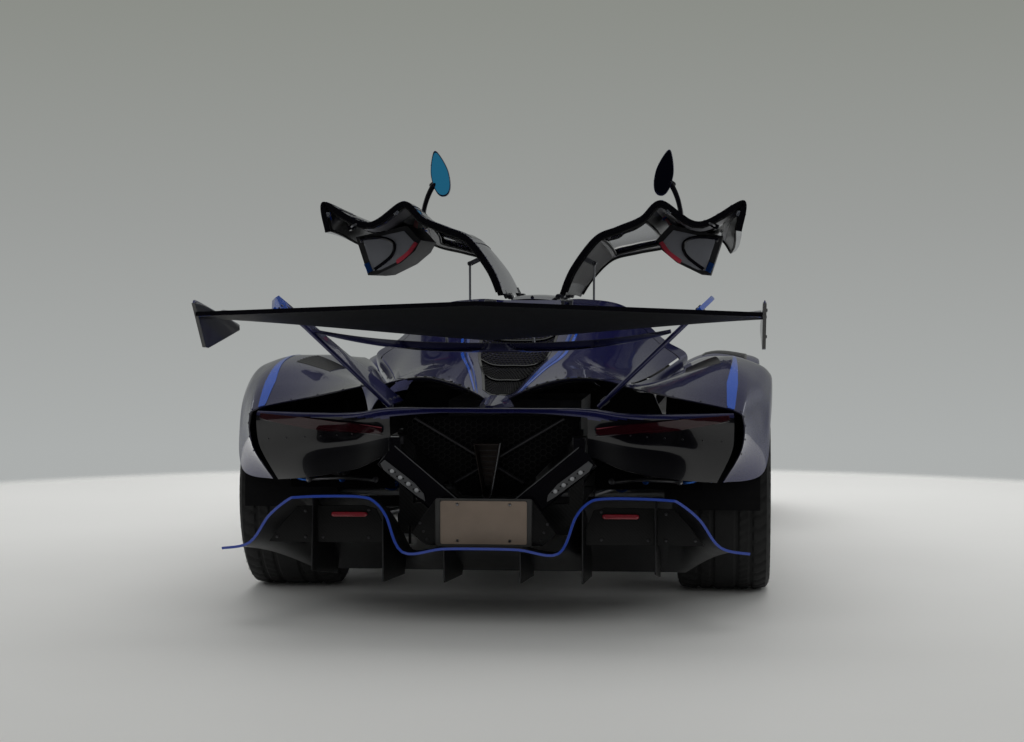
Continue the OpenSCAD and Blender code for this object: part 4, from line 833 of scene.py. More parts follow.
# front fenders, with the lamp's opening, and louvres over the wheels
LAMP_HOLE, LOUVRE_HOLE = (0.15, 0.92, 1.3, 2.85), (3.25, 4.75, 1.75, 3.0)
us = stations(0, 7, 64, *LAMP_HOLE[:2])
vs = stations(0, 5, 46, *LAMP_HOLE[2:])
b = Piece("front_fender_skins", "chassis", "paint", ["front_fenders"])
skin(b, FENDER.mesh(us, vs), 0.005, PANEL, mirrored=True,
     keep=lambda i, j: not (inside(LAMP_HOLE, us[i], vs[j]) or inside(LOUVRE_HOLE, us[i], vs[j])))
rivets(b, FENDER, [(0.4 + 0.45 * k, 0.12) for k in range(14)]
       + [(6.85, 0.5 + 0.5 * k) for k in range(9)])
both(b, *stripe(FENDER, [(1.0, 2.05), (2.0, 2.0), (3.1, 1.95)], [0.006, 0.03, 0.012], 0.0006,
                0.0008, 4, 50), "blue")
b.done(0.0012)
b = Piece("front_fender_louvres", "chassis", "carbon")
for k in range(9):
    u = 3.24 + 0.168 * k
    P = np.array([[FENDER.at(u + du, v, lift)[0] for v in lin(1.78, 3.02, 14)]
                  for du, lift in ((0.0, 0.0015), (0.06, 0.004), (0.14, -0.002), (0.20, -0.014))])
    both(b, *sheet(P, 0.0025)[:2], "carbon")
for v0 in (1.76, 3.01):
    both(b, *stripe(FENDER, [(3.2, v0), (4.0, v0), (4.8, v0)], 0.012, 0.0004, 0.002, 2, 30),
         "carbon")
b.done(0.0006)

# front lamps: dark bowl, three projectors, light blade and clear lens
b = Piece("headlight_units", "chassis", "lamp_lens", ["headlights"])
P = FENDER.mesh(lin(0.13, 0.94, 12), lin(1.27, 2.88, 18))
N = grid_normals(P)
depth = np.sin(np.linspace(0, np.pi, 12))[:, None] * np.sin(np.linspace(0, np.pi, 18))[None, :]
both(b, *sheet(P - N * (0.008 + 0.05 * depth[..., None]), 0.003)[:2], "gloss_black")
for k, w in enumerate((1.55, 2.05, 2.5)):
    q, n = FENDER.at(0.52, w, -0.035)[0], FENDER.normal(0.52, w)[0] * 0.4 + np.array([0, 1, 0])
    th = [(0.031, 0), (0.034, 0.018), (0.030, 0.020), (0.026, 0.016)]
    v, f = lathe(th, (0, 0, 0), 2, 32)
    both(b, *placed((v, f), q, n), "reflector_silver")
    both(b, *placed(disc(0.027, 0.012, 32, 0.010), q, n), "lens_clear")
both(b, *stripe(FENDER, [(0.24, 1.5), (0.2, 2.1), (0.3, 2.7)], 0.012, -0.006, 0.003, 3, 40),
     "led_dot")
both(b, *sheet(FENDER.mesh(lin(0.12, 0.95, 16), lin(1.25, 2.9, 24)), 0.0035, lift=0.004)[:2],
     "lens_clear")
b.done(0.0006)

# side pods with an intake, vertical vanes and a skirt
b = Piece("side_pod_skins", "chassis", "carbon", ["side_pods"])
skin(b, POD.mesh(lin(0, 4, 44), lin(0, 4, 37)), 0.005, CARBON_PANEL, mirrored=True)
rivets(b, POD, [(0.2 + 0.3 * k, 3.85) for k in range(13)]
       + [(0.2 + 0.3 * k, 0.15) for k in range(13)])
both(b, *stripe(POD, [(0.1, 2.75), (2.0, 2.75), (3.95, 2.75)], [0.006, 0.012, 0.012], 0.0006,
                0.0008, 2, 60), "blue")
for y in (0.5, -0.42):
    both(b, *box((0.5604, y - 0.02, 0.43), (0.618, y + 0.02, 0.466)), "carbon_tub")
for k in range(3):
    u = 0.5 + 0.35 * k
    P = np.array([[POD.at(u + 0.18 * s, v, 0.002 + 0.014 * math.sin(math.pi * s))[0]
                   for v in lin(0.8, 2.2, 10)] for s in lin(0, 1, 7)])
    both(b, *sheet(P, 0.003)[:2], "carbon_dark")
b.done(0.0012)

# rear fenders with the blue ridge stripe and louvres over the wheels
b = Piece("rear_fender_skins", "chassis", "paint", ["rear_fenders"])
REAR_LOUVRE_HOLE = (2.35, 3.65, 1.15, 1.8)
us = stations(0, 6, 64, *REAR_LOUVRE_HOLE[:2])
vs = stations(0, 5, 46, *REAR_LOUVRE_HOLE[2:])
skin(b, REAR.mesh(us, vs), 0.005, PANEL, mirrored=True,
     keep=lambda i, j: not inside(REAR_LOUVRE_HOLE, us[i], vs[j]))
rivets(b, REAR, [(0.35 + 0.43 * k, 0.16) for k in range(13)]
       + [(5.9, 0.5 + 0.45 * k) for k in range(9)])
both(b, *stripe(REAR, [(2.2, 2.25), (3.6, 2.15), (4.9, 2.0), (5.96, 1.93)],
                [0.004, 0.018, 0.040, 0.026], 0.0006, 0.0010, 5, 70), "blue")
b.done(0.0012)
b = Piece("rear_fender_louvres", "chassis", "carbon")
for k in range(8):
    u = 2.33 + 0.165 * k
    P = np.array([[REAR.at(u + du, v, lift)[0] for v in lin(1.14, 1.81, 10)]
                  for du, lift in ((0.0, 0.0015), (0.06, 0.004), (0.13, -0.003), (0.19, -0.016))])
    both(b, *sheet(P, 0.0025)[:2], "carbon")
b.done(0.0006)

LID_PIN = (-0.573, 1.08133)     # the pin of the engine cover's hinge, over (y, z)


def hinge_knuckle(piece, x, way):
    """A knuckle of the cover's hinge, round at the pin and flared down to the skin."""
    y, z = LID_PIN
    v, f = lathe([(0.0036, x - .008), (0.0072, x - .008), (0.008, x - .007), (0.008, x + .007),
                  (0.0072, x + .008), (0.0036, x + .008)], (0, y, z), 0, 28, True)
    both(piece, v, f, "alloy")
    foot = DECK.at(0.42 if way < 0 else 0.2, 7.45)[0]
    web = [[y - way * .002, z - .0035], [y + way * .0075, z - .002],
           [foot[1] + way * .004, foot[2] + .002], [foot[1] + way * .002, foot[2] - .003],
           [y + way * .001, z - .0078]]
    both(piece, *extrude(web, 0, x - .0065, x + .0065), "alloy")


# deck: the fixed frame round the engine cover
COVER_HOLE = (0.31, 4.1, 1, 11)       # open to the rear edge
us = np.concatenate([lin(0, 0.31, 6), lin(0.31, 4, 54)[1:]])
vs = np.concatenate([lin(0, 1, 9), lin(1, 11, 90)[1:], lin(11, 12, 9)[1:]])
b = Piece("deck_frame", "chassis", "paint", ["rear_deck"])
skin(b, DECK.mesh(us, vs), 0.005, PANEL, keep=lambda i, j: not inside(COVER_HOLE, us[i], vs[j]))
hinge_knuckle(b, 0.160, 1)
rivets(b, DECK, [(0.5 + 0.35 * k, 11.5) for k in range(10)]
       + [(0.5 + 0.35 * k, 0.5) for k in range(10)], mirrored=False)
b.done(0.0012)

# engine cover: dorsal fins edged in blue round a meshed window, vents and fasteners
COVER_WINDOW = (0.62, 3.62, 4.45, 7.55)
us = stations(0.33, 4, 56, *COVER_WINDOW[:2])
vs = stations(1.12, 10.88, 88, *COVER_WINDOW[2:])
b = Piece("engine_cover_skin", "engine_lid", "paint", ["engine_cover"])
skin(b, DECK.mesh(us, vs), 0.005, PANEL, keep=lambda i, j: not inside(COVER_WINDOW, us[i], vs[j]))
for v0 in (4.0, 8.0):
    s = 1 if v0 > 6 else -1
    rows = []
    for u in lin(0.45, 3.92, 60):
        base, n = DECK.at(u, v0)[0], DECK.normal(u, v0)[0]
        h = 0.017 * math.sin(math.pi * min(1, (u - 0.45) / 3.4) ** 0.7)
        a = DECK.at(u, v0 - 0.06 * s)[0]
        c = DECK.at(u, v0 + 0.05 * s)[0]
        top = base + np.array([0, 0, max(h, 0.001)])
        ring = [a - 0.001 * n, c - 0.001 * n, c * 0.35 + top * 0.65, top, a * 0.35 + top * 0.65]
        rows.append(ring if s > 0 else ring[::-1])
    b.add(*loft(rows), "blue_soft")
    b.add(*stripe(DECK, [(0.5, v0 + 0.16 * s), (2.2, v0 + 0.14 * s), (3.9, v0 + 0.16 * s)],
                  [0.004, 0.013, 0.005], 0.0006, 0.0010, 3, 60), "blue")
rivets(b, DECK, [(0.6 + 0.24 * k, 8.9) for k in range(13)]
       + [(0.6 + 0.24 * k, 3.1) for k in range(13)], mirrored=False)
rivets(b, DECK, [(3.9, 8.4 + 0.35 * k) for k in range(7)]
       + [(3.9, 3.6 - 0.35 * k) for k in range(7)], shape=BOLT, mirrored=False)
# knuckles of the hinge, and their pins
for x in (0.143, 0.177):
    hinge_knuckle(b, x, -1)
both(b, *lathe([(0.0001, 0.1441), (0.0035, 0.1441), (0.0035, 0.1759), (0.0001, 0.1759)],
               (0, *LID_PIN), 0, 20), "steel")
b.done(0.0012)
b = Piece("engine_window", "engine_lid", "carbon")
P = DECK.mesh(lin(0.60, 3.64, 60), lin(4.42, 7.58, 48))
skin(b, P, 0.003, "mesh_lilac", lift=-0.007)
b.done()
b = Piece("engine_window_mesh", "engine_lid", "carbon")
for i in range(46):
    for j in range(18):
        u, v = 0.66 + 0.064 * i, 4.56 + 0.168 * (j + 0.5 * (i % 2))
        if v < 7.45:
            th = turn(6)
            outer = DECK.at(u + 0.040 * np.cos(th), v + 0.093 * np.sin(th), -0.004)
            inner = DECK.at(u + 0.029 * np.cos(th), v + 0.068 * np.sin(th), -0.004)
            deep = DECK.at(u + 0.029 * np.cos(th), v + 0.068 * np.sin(th), -0.008)
            f = [[k, (k + 1) % 6, 6 + (k + 1) % 6, 6 + k] for k in range(6)]
            f += [[6 + k, 6 + (k + 1) % 6, 12 + (k + 1) % 6, 12 + k] for k in range(6)]
            b.add(np.vstack([outer, inner, deep]), f, "mesh_dark", False)
for v0 in COVER_WINDOW[2:]:
    b.add(*stripe(DECK, [(0.6, v0), (2.0, v0), (3.62, v0)], 0.012, -0.002, 0.003, 2, 60),
          "gloss_black")
for u0 in (0.64, 1.4, 2.16, 2.92, 3.6):
    b.add(*stripe(DECK, [(u0, 4.45), (u0, 6.0), (u0, 7.55)], 0.012, -0.003, 0.004, 2, 40),
          "gloss_black")
b.done()

# trailing edge of the cover: a lip over the dark outlets, with pale ducts under the arches
b = Piece("cover_lip", "engine_lid", "carbon")
rows = []
for v in lin(8.35, 10.85, 40):
    p, n = DECK.at(3.985, v)[0], DECK.normal(3.985, v)[0]
    back = DECK.at(4.0, v)[0] - DECK.at(3.9, v)[0]
    back /= np.linalg.norm(back)
    rows.append([p - 0.008 * back + 0.0005 * n, p + 0.004 * back + 0.0015 * n,
                 p + 0.010 * back - 0.002 * n, p + 0.008 * back - 0.009 * n,
                 p - 0.006 * back - 0.008 * n])
both(b, *loft([r[::-1] for r in rows]), "gloss_black")
b.done(0.0005)
b = Piece("outlet_ducts", "chassis", "carbon")
# the deeper sheet of each duct is black: painted shade
for u0, deep, mat in ((3.55, 0.030, "grey_gloss"), (3.2, 0.055, "void")):
    P = DECK.mesh(lin(u0, 3.93, 12), lin(8.5, 10.7, 26))
    N = grid_normals(P)
    d = lin(0.014, deep, 12)[::-1][:, None, None]
    both(b, *sheet(P - N * d, 0.003)[:2], mat)
b.done()

# ---- roof, windscreen ----------------------------------------------------------------------------
def roof_line(y):
    """The spine's height at a place along the car."""
    ys = [-0.46, -0.30, -0.12, 0.10, 0.33, 0.438]
    zs = [1.092, 1.104, 1.108, 1.106, 1.098, 1.084]
    w, i = weights(np.interp(y, ys, range(6)), 6)
    return float((w * np.array(zs)[i]).sum())


b = Piece("roof_skin", "chassis", "paint", ["roof_spine"])
rows = []
for y in lin(0.436, -0.459, 60):
    z = roof_line(y)
    xs = lin(-0.086, 0.086, 15)
    rows.append([[x, y, z - 0.0004 - 0.006 * (x / 0.088) ** 2] for x in xs])
P = np.array(rows)
skin(b, P, 0.004, PANEL, lift=0.0)
b.add(*extrude([[0.436, 1.067], [0.436, 1.079], [0.3, 1.092], [0, 1.099], [-0.3, 1.096],
                [-0.459, 1.084], [-0.459, 1.048], [0.36, 1.055]], 0, -0.085, 0.085), "carbon_tub")
b.done(0.0015)
b = Piece("roof_details", "chassis", "carbon")
for y in HINGE_PLACES:
    for s in (-1, 1):
        prof = [(0.0061, y - 0.0149), (0.0108, y - 0.0149), (0.012, y - 0.0135),
                (0.012, y + 0.0135), (0.0108, y + 0.0149), (0.0061, y + 0.0149)]
        b.add(*lathe([(r, z) for r, z in prof], (s * HINGE[0], 0, HINGE[2]), 1, 28, True), "alloy")
        lo, hi = span(s * 0.078, s * 0.0995)
        b.add(*box((lo, y - 0.0145, 1.078), (hi, y + 0.0145, 1.095)), "alloy")
b.add(*tube(smooth([(0, -0.40, 1.094), (0, -0.404, 1.0985), (0, -0.414, 1.101)], 12),
            lin(0.009, 0.004, 12), 14), "gloss_black")
b.done(0.0008)

b = Piece("windscreen_frame", "chassis", "carbon", ["windshield_frame"])
SCREEN_HOLE = (0.25, 2.75, 0.5, 5.5)
us = stations(0, 3, 49, *SCREEN_HOLE[:2])
vs = stations(0, 6, 97, *SCREEN_HOLE[2:])
skin(b, GLASS.mesh(us, vs), 0.026, dict(o="gloss_black", i="suede", w="rubber"), side=-1,
     keep=lambda i, j: not inside(SCREEN_HOLE, us[i], vs[j]))
b.done(0.002)
b = Piece("windscreen_glass", "chassis", "glass", ["windshield"])
P = GLASS.mesh(lin(0.252, 2.748, 44), lin(0.504, 5.496, 70))
skin(b, P, 0.004, dict(o="glass", i="glass", w="rubber"), side=-1, lift=-0.0105)
b.done()
b = Piece("wiper", "chassis", "carbon")
foot = GLASS.at(2.86, 3.0, -0.004)[0]
line = [GLASS.at(2.86 - 0.62 * t, 3.0 + 0.95 * t, -0.004)[0] + np.array([0, 0, 0.010])
        for t in lin(0, 1, 14)]
b.add(*tube(line, lin(0.007, 0.0035, 14), 10), "plastic")
blade = [GLASS.at(2.62 - 1.55 * t, 3.4 + 1.0 * t, -0.004)[0] + np.array([0, 0.002, 0.006])
         for t in lin(0, 1, 24)]
b.add(*tube(blade, 0.0035, 8, flat=1.6), "rubber")
b.add(*placed(disc(0.014, 0.016, 20, 0.004), foot + np.array([0, 0, -0.002]), (0, 0.3, 1)),
      "plastic")
b.done(0.0004)

# ---- splitter, dive planes -----------------------------------------------------------------------
b = Piece("splitter_blade", "chassis", "carbon", ["front_splitter"])
half = [[0, 2.533], [0.07, 2.505], [0.25, 2.44], [0.42, 2.455], [0.64, 2.395], [0.83, 2.285],
        [0.95, 2.1], [0.965, 1.9], [0.93, 1.79], [0.8, 1.8], [0.72, 1.85], [0, 1.85]]
fine = smooth(half[:8], 60).tolist() + half[8:]
fine[0] = [0, 2.5328]
fine = [[min(p[0], 0.965), p[1]] for p in fine]
outline = fine + [[-p[0], p[1]] for p in fine[-2:0:-1]]
b.add(*extrude(outline, 2, 0.0856, 0.0996), "carbon")
for s in (-1, 1):
    lo, hi = span(s * 0.938, s * 0.945)
    b.add(*extrude([[1.9, 0.0986], [2.12, 0.0986], [2.11, 0.13], [2.08, 0.165], [1.98, 0.182],
                    [1.9, 0.19]], 0, lo, hi), "carbon")
    lo, hi = span(s * 0.2, s * 0.206)
    b.add(*extrude([[2.26, 0.0986], [2.3, 0.0986], [2.31, 0.235], [2.25, 0.239]], 0, lo, hi),
          "alloy")
    lo, hi = span(s * 0.937, s * 0.9385)
    b.add(*extrude([[1.905, 0.186], [2.075, 0.161], [2.08, 0.166], [1.905, 0.1905]], 0, lo, hi),
          "blue")
b.done(0.0015)

# ---- tail ----------------------------------------------------------------------------------------
b = Piece("tail_shell", "chassis", "gloss_black", ["tail_panel"])
TAIL_HOLE = (3.0, 6.0, 3.0, 7.0)      # open to the lower edge
us = stations(0, 5, 46, TAIL_HOLE[0])
vs = stations(0, 10, 91, *TAIL_HOLE[2:])
v, f, kind = sheet(TAIL.mesh(us, vs), 0.005, keep=lambda i, j: not inside(TAIL_HOLE, us[i], vs[j]))
names = []
for face, what in zip(f, kind):
    z = v[face[0]][2]
    names.append(("paint" if z > 0.684 and what == "o" else "gloss_black") if what != "i"
                 else "carbon_tub")
b.add(v, f, names)
rows = []
for k in range(33):
    s = k / 8
    y, w, top = -1.868 - 0.062 * s, 0.064 - 0.012 * s, 0.752 - 0.006 * s
    rows.append([[w, y, 0.712], [w * 0.8, y, 0.727 + 0.3 * (top - 0.727)],
                 [w * 0.4, y, top - 0.001], [0, y, top + 0.0005], [-w * 0.4, y, top - 0.001],
                 [-w * 0.8, y, 0.727 + 0.3 * (top - 0.727)], [-w, y, 0.712]])
b.add(*loft(rows), "paint")
rivets(b, TAIL, [(1.5, 5.6 + 0.4 * k) for k in range(10)])
rivets(b, TAIL, [(3.6, 7.4 + 0.33 * k) for k in range(8)])
b.done(0.0012)

def along(a, b):
    """The way from a to b, and the way square to it that points up, in the rear view."""
    way = (b - a) / np.linalg.norm(b - a)
    square = np.array([-way[2], 0, way[0]])
    square /= np.linalg.norm(square)
    return way, square if square[2] > 0 else -square


# tail lamps: smoked lens, a thin light-red line under it that is a painted highlight, fins inside
b = Piece("tail_lamps", "chassis", "lamp_red", ["rear_lights"])
band = [(2.35, 0.15), (2.83, 1.0), (3.26, 2.0), (3.65, 2.8)]
shift = lambda path, d: [(u + d, v) for u, v in path]
both(b, *stripe(TAIL, band, [0.010, 0.034, 0.036, 0.016], 0.0014, 0.0008, 4, 44), "gloss_black")
both(b, *stripe(TAIL, band, [0.012, 0.038, 0.040, 0.018], 0.0055, 0.0030, 5, 44), "lens_red")
both(b, *stripe(TAIL, shift(band, -0.14), [0.002, 0.006, 0.006, 0.003], 0.0024, 0.0010, 1, 44),
     "lamp_glow")
both(b, *stripe(TAIL, shift(band, 0.20), [0.002, 0.0028, 0.0028, 0.002], 0.0060, 0.0008, 1, 44),
     "led")
for k in range(24):
    w = 0.38 + 0.098 * k
    u0 = float(np.interp(w, [p[1] for p in band], [p[0] for p in band]))
    both(b, *stripe(TAIL, [(u0 - 0.10, w), (u0, w + 0.02), (u0 + 0.14, w + 0.05)], 0.003, 0.0024,
                    0.0012, 1, 6), "reflector" if k % 2 else "mesh_dark")
# light bars on the arms, with four round lamps each
A = np.array([0.362, -2.2095, 0.532])
B = np.array([0.208, -2.2218, 0.416])
d, nrm = along(A, B)
L = np.linalg.norm(B - A)
face = [A + 0.015 * nrm, A - d * 0.004 - 0.004 * nrm, A + d * 0.02 - 0.015 * nrm,
        B - d * 0.03 - 0.015 * nrm, B + d * 0.006 - 0.012 * nrm, B - d * 0.012 + 0.005 * nrm,
        B - d * 0.06 + 0.015 * nrm]
poly = np.array([[p[0], p[2]] for p in face])
yb = lambda x, z: A[1] + (B[1] - A[1]) * np.dot(np.array([x, 0, z]) - [A[0], 0, A[2]],
                                                [d[0], 0, d[2]]) / L
front, back = [], []
for x, z in poly:
    front.append([x, yb(x, z) + 0.004, z])
    back.append([x, yb(x, z) - 0.0045, z])
n = len(poly)
v = np.array(back + front)
area = 0.5 * np.sum(poly[:, 0] * np.roll(poly[:, 1], -1) - np.roll(poly[:, 0], -1) * poly[:, 1])
f = [list(range(n)), list(range(n, 2 * n))[::-1]] + [[k2, n + k2, n + (k2 + 1) % n, (k2 + 1) % n]
                                                     for k2 in range(n)]
if area < 0:
    f = [q[::-1] for q in f]
both(b, v, f, "led")
for k2 in range(4):
    c = A + d * (0.045 + k2 * 0.036)
    both(b, *placed(disc(0.0075, 0.003, 20, 0.003), [c[0], yb(c[0], c[2]) - 0.0046, c[2]],
                    (0, -1, 0)), "led_dot")
    for o in (-1, 1):
        both(b, *placed(disc(0.0028, 0.0015, 10, 0.001),
                        [c[0] + o * 0.011, yb(c[0], c[2]) - 0.0046, c[2] + o * 0.004], (0, -1, 0)),
             "gloss_black")
b.done(0.0006)

# frame of the tail: wide V, stays, honeycomb
b = Piece("tail_arms", "chassis", "gloss_black", ["tail_frame"])
A0, B0 = np.array([0.352, -2.182, 0.560]), np.array([0.126, -2.200, 0.374])
d, nr = along(A0, B0)
rings = []
for s in lin(0, 1, 14):
    c = A0 + (B0 - A0) * s
    w, dp = 0.046, 0.020
    sec = []
    for t, y in ((-1, dp), (1, dp), (1, dp * 0.2), (0.97, -dp * 0.8), (0.86, -dp),
                 (0.0, -dp + 0.001), (-0.86, -dp), (-0.97, -dp * 0.8), (-1, dp * 0.2)):
        sec.append(c + nr * w * t + np.array([0, y, 0]))
    rings.append(sec)
both(b, *loft(rings), "gloss_black")
# a light line along each arm's upper inner edge: a painted highlight
line = [A0 + (B0 - A0) * s + nr * 0.0445 + np.array([0, -0.0185, 0]) for s in lin(0.02, 0.99, 10)]
both(b, *tube(line, 0.0022, 8), "led")
both(b, *box((0.293, -2.169, 0.596), (0.341, -2.0604, 0.622)), "dark_steel")
both(b, *box((0.300, -2.196, 0.556), (0.341, -2.162, 0.622)), "gloss_black")
P0, P1 = np.array([0.262, -2.108, 0.684]), np.array([-0.120, -2.108, 0.458])
both(b, *tube([P0, (P0 + P1) / 2, P1], 0.006, 12), "dark_steel")
# a black plate behind the honeycomb: painted shade
b.add(*extrude([[-0.318, 0.690], [0.318, 0.690], [0.300, 0.620], [0.096, 0.412], [-0.096, 0.412],
                [-0.300, 0.620]], 1, -2.088, -2.084), "void")
b.done(0.0014)
b = Piece("tail_honeycomb", "chassis", "gloss_black")
R, wall = 0.0125, 0.0016
for i in range(-20, 21):
    for j in range(-2, 20):
        x, z = i * R * 1.5, 0.412 + R * math.sqrt(3) * (j + 0.5 * (i % 2))
        half_w = np.interp(z, [0.412, 0.620, 0.690], [0.090, 0.290, 0.306])
        if abs(x) < half_w - R * 0.6 and 0.418 < z < 0.682:
            th = np.arange(6) * math.pi / 3
            o = np.stack([x + R * np.cos(th), np.full(6, -2.0965), z + R * np.sin(th)], -1)
            n = np.stack([x + (R - wall) * np.cos(th), np.full(6, -2.0965),
                          z + (R - wall) * np.sin(th)], -1)
            dp = n + [0, 0.0078, 0]
            b.add(np.vstack([o, n, dp]),
                  [[k, 6 + k, 6 + (k + 1) % 6, (k + 1) % 6] for k in range(6)]
                  + [[6 + k, 12 + k, 12 + (k + 1) % 6, 6 + (k + 1) % 6] for k in range(6)],
                  "mesh_dark", False)
b.done()

def pipe(dr, y, nx=10):
    """Ring of the outlet's outline, a tall wedge, smaller by dr, at a place along the car."""
    pts = [[0.046 - dr, y, 0.602 - dr], [-0.046 + dr, y, 0.602 - dr]]
    pts += [[(0.015 - dr) * math.cos(math.radians(a)), y,
             0.427 + (0.015 - dr) * math.sin(math.radians(a))] for a in lin(190, 350, nx)]
    return pts


# exhaust: a heat-stained wedge with slats
b = Piece("exhaust_outlet", "chassis", "exhaust_metal", ["exhaust"])
outer = [pipe(0.003, -2.1205), pipe(0, -2.124), pipe(0, -2.192), pipe(0.0015, -2.1975),
         pipe(0.0035, -2.198), pipe(0.005, -2.192), pipe(0.006, -2.126)]
b.add(*loft(outer), "heat_metal")
rim_line = np.array(pipe(-0.0015, -2.199, 14))
b.add(*tube(np.vstack([rim_line[2:], rim_line[:2]])[:-1], 0.0016, 8), "rim_edge")
for k in range(7):
    z = 0.455 + 0.02 * k
    hw = np.interp(z, [0.43, 0.60], [0.009, 0.036])
    b.add(*tube([(-hw, -2.150, z), (0, -2.152, z), (hw, -2.150, z)], 0.0018, 8), "dark_steel")
b.done(0.0006, angle=50)

# number plate: blank, with an embossed rim, a frame and screws
b = Piece("plate_blank", "chassis", "plate", ["number_plate"])
W, H, Z, Y = 0.1525, 0.152, 0.262, -2.290      # half width, height, lower edge, rear plane


def rounded(w, h, r, n=6):
    """Rectangle with round corners, of half width w and half height h."""
    pts = []
    for cx, cz, a0 in ((w - r, h - r, 0), (-w + r, h - r, 90), (-w + r, -h + r, 180),
                       (w - r, -h + r, 270)):
        pts += [[cx + r * math.cos(math.radians(a0 + 90 * k / n)),
                 cz + r * math.sin(math.radians(a0 + 90 * k / n))] for k in range(n + 1)]
    return pts


zc = Z + H / 2
ring = lambda w, h, r, y: [[p[0], y, zc + p[1]] for p in rounded(w, h, r)]
steps = ((0, 0, 0.010, 0.0006), (0, 0, 0.010, 0.0030), (0.002, 0.002, 0.009, 0.0042),
         (0.006, 0.006, 0.007, 0.0042), (0.008, 0.008, 0.006, 0.0032))
b.add(*loft([ring(W - dw, H / 2 - dh, r, Y - dy) for dw, dh, r, dy in steps]), "plate")
b.done(0.0003, angle=50)
b = Piece("plate_surround", "chassis", "carbon")
steps = ((0.014, 0.008, 0.012, 0.0004), (0.014, 0.008, 0.012, 0.006), (0.011, 0.006, 0.010, 0.0085),
         (-0.002, 0, 0.008, 0.0085), (-0.004, -0.002, 0.007, 0.0050))
fr = [ring(W + dw, H / 2 + dh, r, Y - dy) for dw, dh, r, dy in steps]
fr = [[[p[0], p[1], min(p[2], Z + H + 0.006)] for p in r] for r in fr]
b.add(*loft(fr, caps=False), "plate_frame")
for x in (-0.09, 0.09):
    for z in (Z + H - 0.014, Z + 0.014):
        b.add(*placed(disc(0.005, 0.002, 12, 0.001), (x, Y - 0.0042, z), (0, -1, 0)), "steel")
b.done(0.0005)

# bumper panels, reflectors and the plate's carrier
BUMPER_Y = -2.265
b = Piece("bumper_panels", "chassis", "carbon", ["rear_bumper"])
outline = [[0.348, 0.262], [0.580, 0.262], [0.580, 0.3885], [0.412, 0.390], [0.374, 0.380],
           [0.348, 0.320]]
both(b, *extrude(outline, 1, BUMPER_Y, BUMPER_Y + 0.008), "carbon_dark")
both(b, *extrude([[0.5915, 0.262], [0.750, 0.262], [0.700, 0.330], [0.648, 0.386],
                  [0.5915, 0.3885]], 1, BUMPER_Y, BUMPER_Y + 0.008), "carbon_dark")
b.add(*extrude([[-0.2, 0.2595], [0.2, 0.2595], [0.25, 0.3], [0.165, 0.418], [-0.165, 0.418],
                [-0.25, 0.3]], 1, Y, Y + 0.008), "carbon_dark")
for s in (-1, 1):
    for k in range(3):
        b.add(*placed(BOLT, (s * (0.195 + 0.012 * k), Y, 0.278 + 0.028 * k), (0, -1, 0)),
              "dark_steel")
    for x, z in ((0.40, 0.28), (0.56, 0.28), (0.62, 0.28), (0.72, 0.28), (0.62, 0.37),
                 (0.40, 0.375)):
        b.add(*placed(BOLT, (s * x, BUMPER_Y, z), (0, -1, 0)), "dark_steel")
b.done(0.0012)
b = Piece("rear_reflectors", "chassis", "lamp_red")
prof = rounded(0.0625, 0.0085, 0.0080, 5)
rr = lambda g, y: [[0.4665 + p[0] * g, y, 0.3600 + p[1] * g] for p in prof]
both(b, *loft([rr(1, -2.2652), rr(1, -2.272), rr(0.96, -2.2745), rr(0.86, -2.2757)]), "reflector")
b.done(0.0004)

# ---- diffuser ------------------------------------------------------------------------------------
def diffuser_rows():
    """Five rows from the shaped rear edge forwards and down to the flat floor."""
    edge = [[-p[0], p[1]] for p in DIFFUSER_EDGE[:0:-1]] + DIFFUSER_EDGE
    rows = []
    for k in range(5):
        s, row = k / 4, []
        for x, z in edge:
            out, lift = max(0, (abs(x) - 560) / 345), max(0, (abs(x) - 262) / 640)
            row.append([x * (1 - 0.25 * s * out), -2400 + 640 * s + 90 * lift * (1 - s),
                        z + (112 - z) * (1 - math.cos(math.radians(90 * s)))])
        rows.append(row)
    return rows


DIFF = Surf(diffuser_rows(), side=-1)
DN = len(DIFFUSER_EDGE) - 1
b = Piece("diffuser_shell", "chassis", "carbon", ["diffuser"])
skin(b, DIFF.mesh(lin(0, 4, 28), lin(0, 2 * DN, 10 * DN + 1)), 0.005,
     dict(o="carbon_dark", i="carbon_tub", w="carbon_dark"), side=-1)
for v0, tip in ((1, 0.136), (3.5, 0.136), (6.6, 0.172)):
    x = DIFF.at(1, DN + v0)[0][0]
    top = [[DIFF.at(u, DN + v0)[0][1], DIFF.at(u, DN + v0)[0][2] - 0.003]
           for u in lin(0.4, 3.6, 20)]
    for s in (-1, 1):
        lo, hi = span(s * (x - 0.0028), s * (x + 0.0028))
        b.add(*extrude(top + [[-1.84, 0.1003], [-2.33, tip]], 0, lo, hi), "carbon_dark")
        p = np.array([s * x, top[0][0] - 0.0012, top[0][1] - 0.004])
        q = np.array([s * x, -2.3312, tip + 0.002])
        b.add(*tube([p, (p + q) / 2, q], 0.0016, 8), "dark_steel")
for v0 in (2.0, 5.0, 8.4):
    for k in range(7):
        q = DIFF.at(0.35 + 0.4 * k, DN + v0 + 0.35, 0.0)[0]
        n = DIFF.normal(0.35 + 0.4 * k, DN + v0 + 0.35)[0]
        both(b, *placed(RIVET, q, n), "dark_steel")
b.done(0.0010)
b = Piece("diffuser_blue_edge", "chassis", "carbon")
rows = []
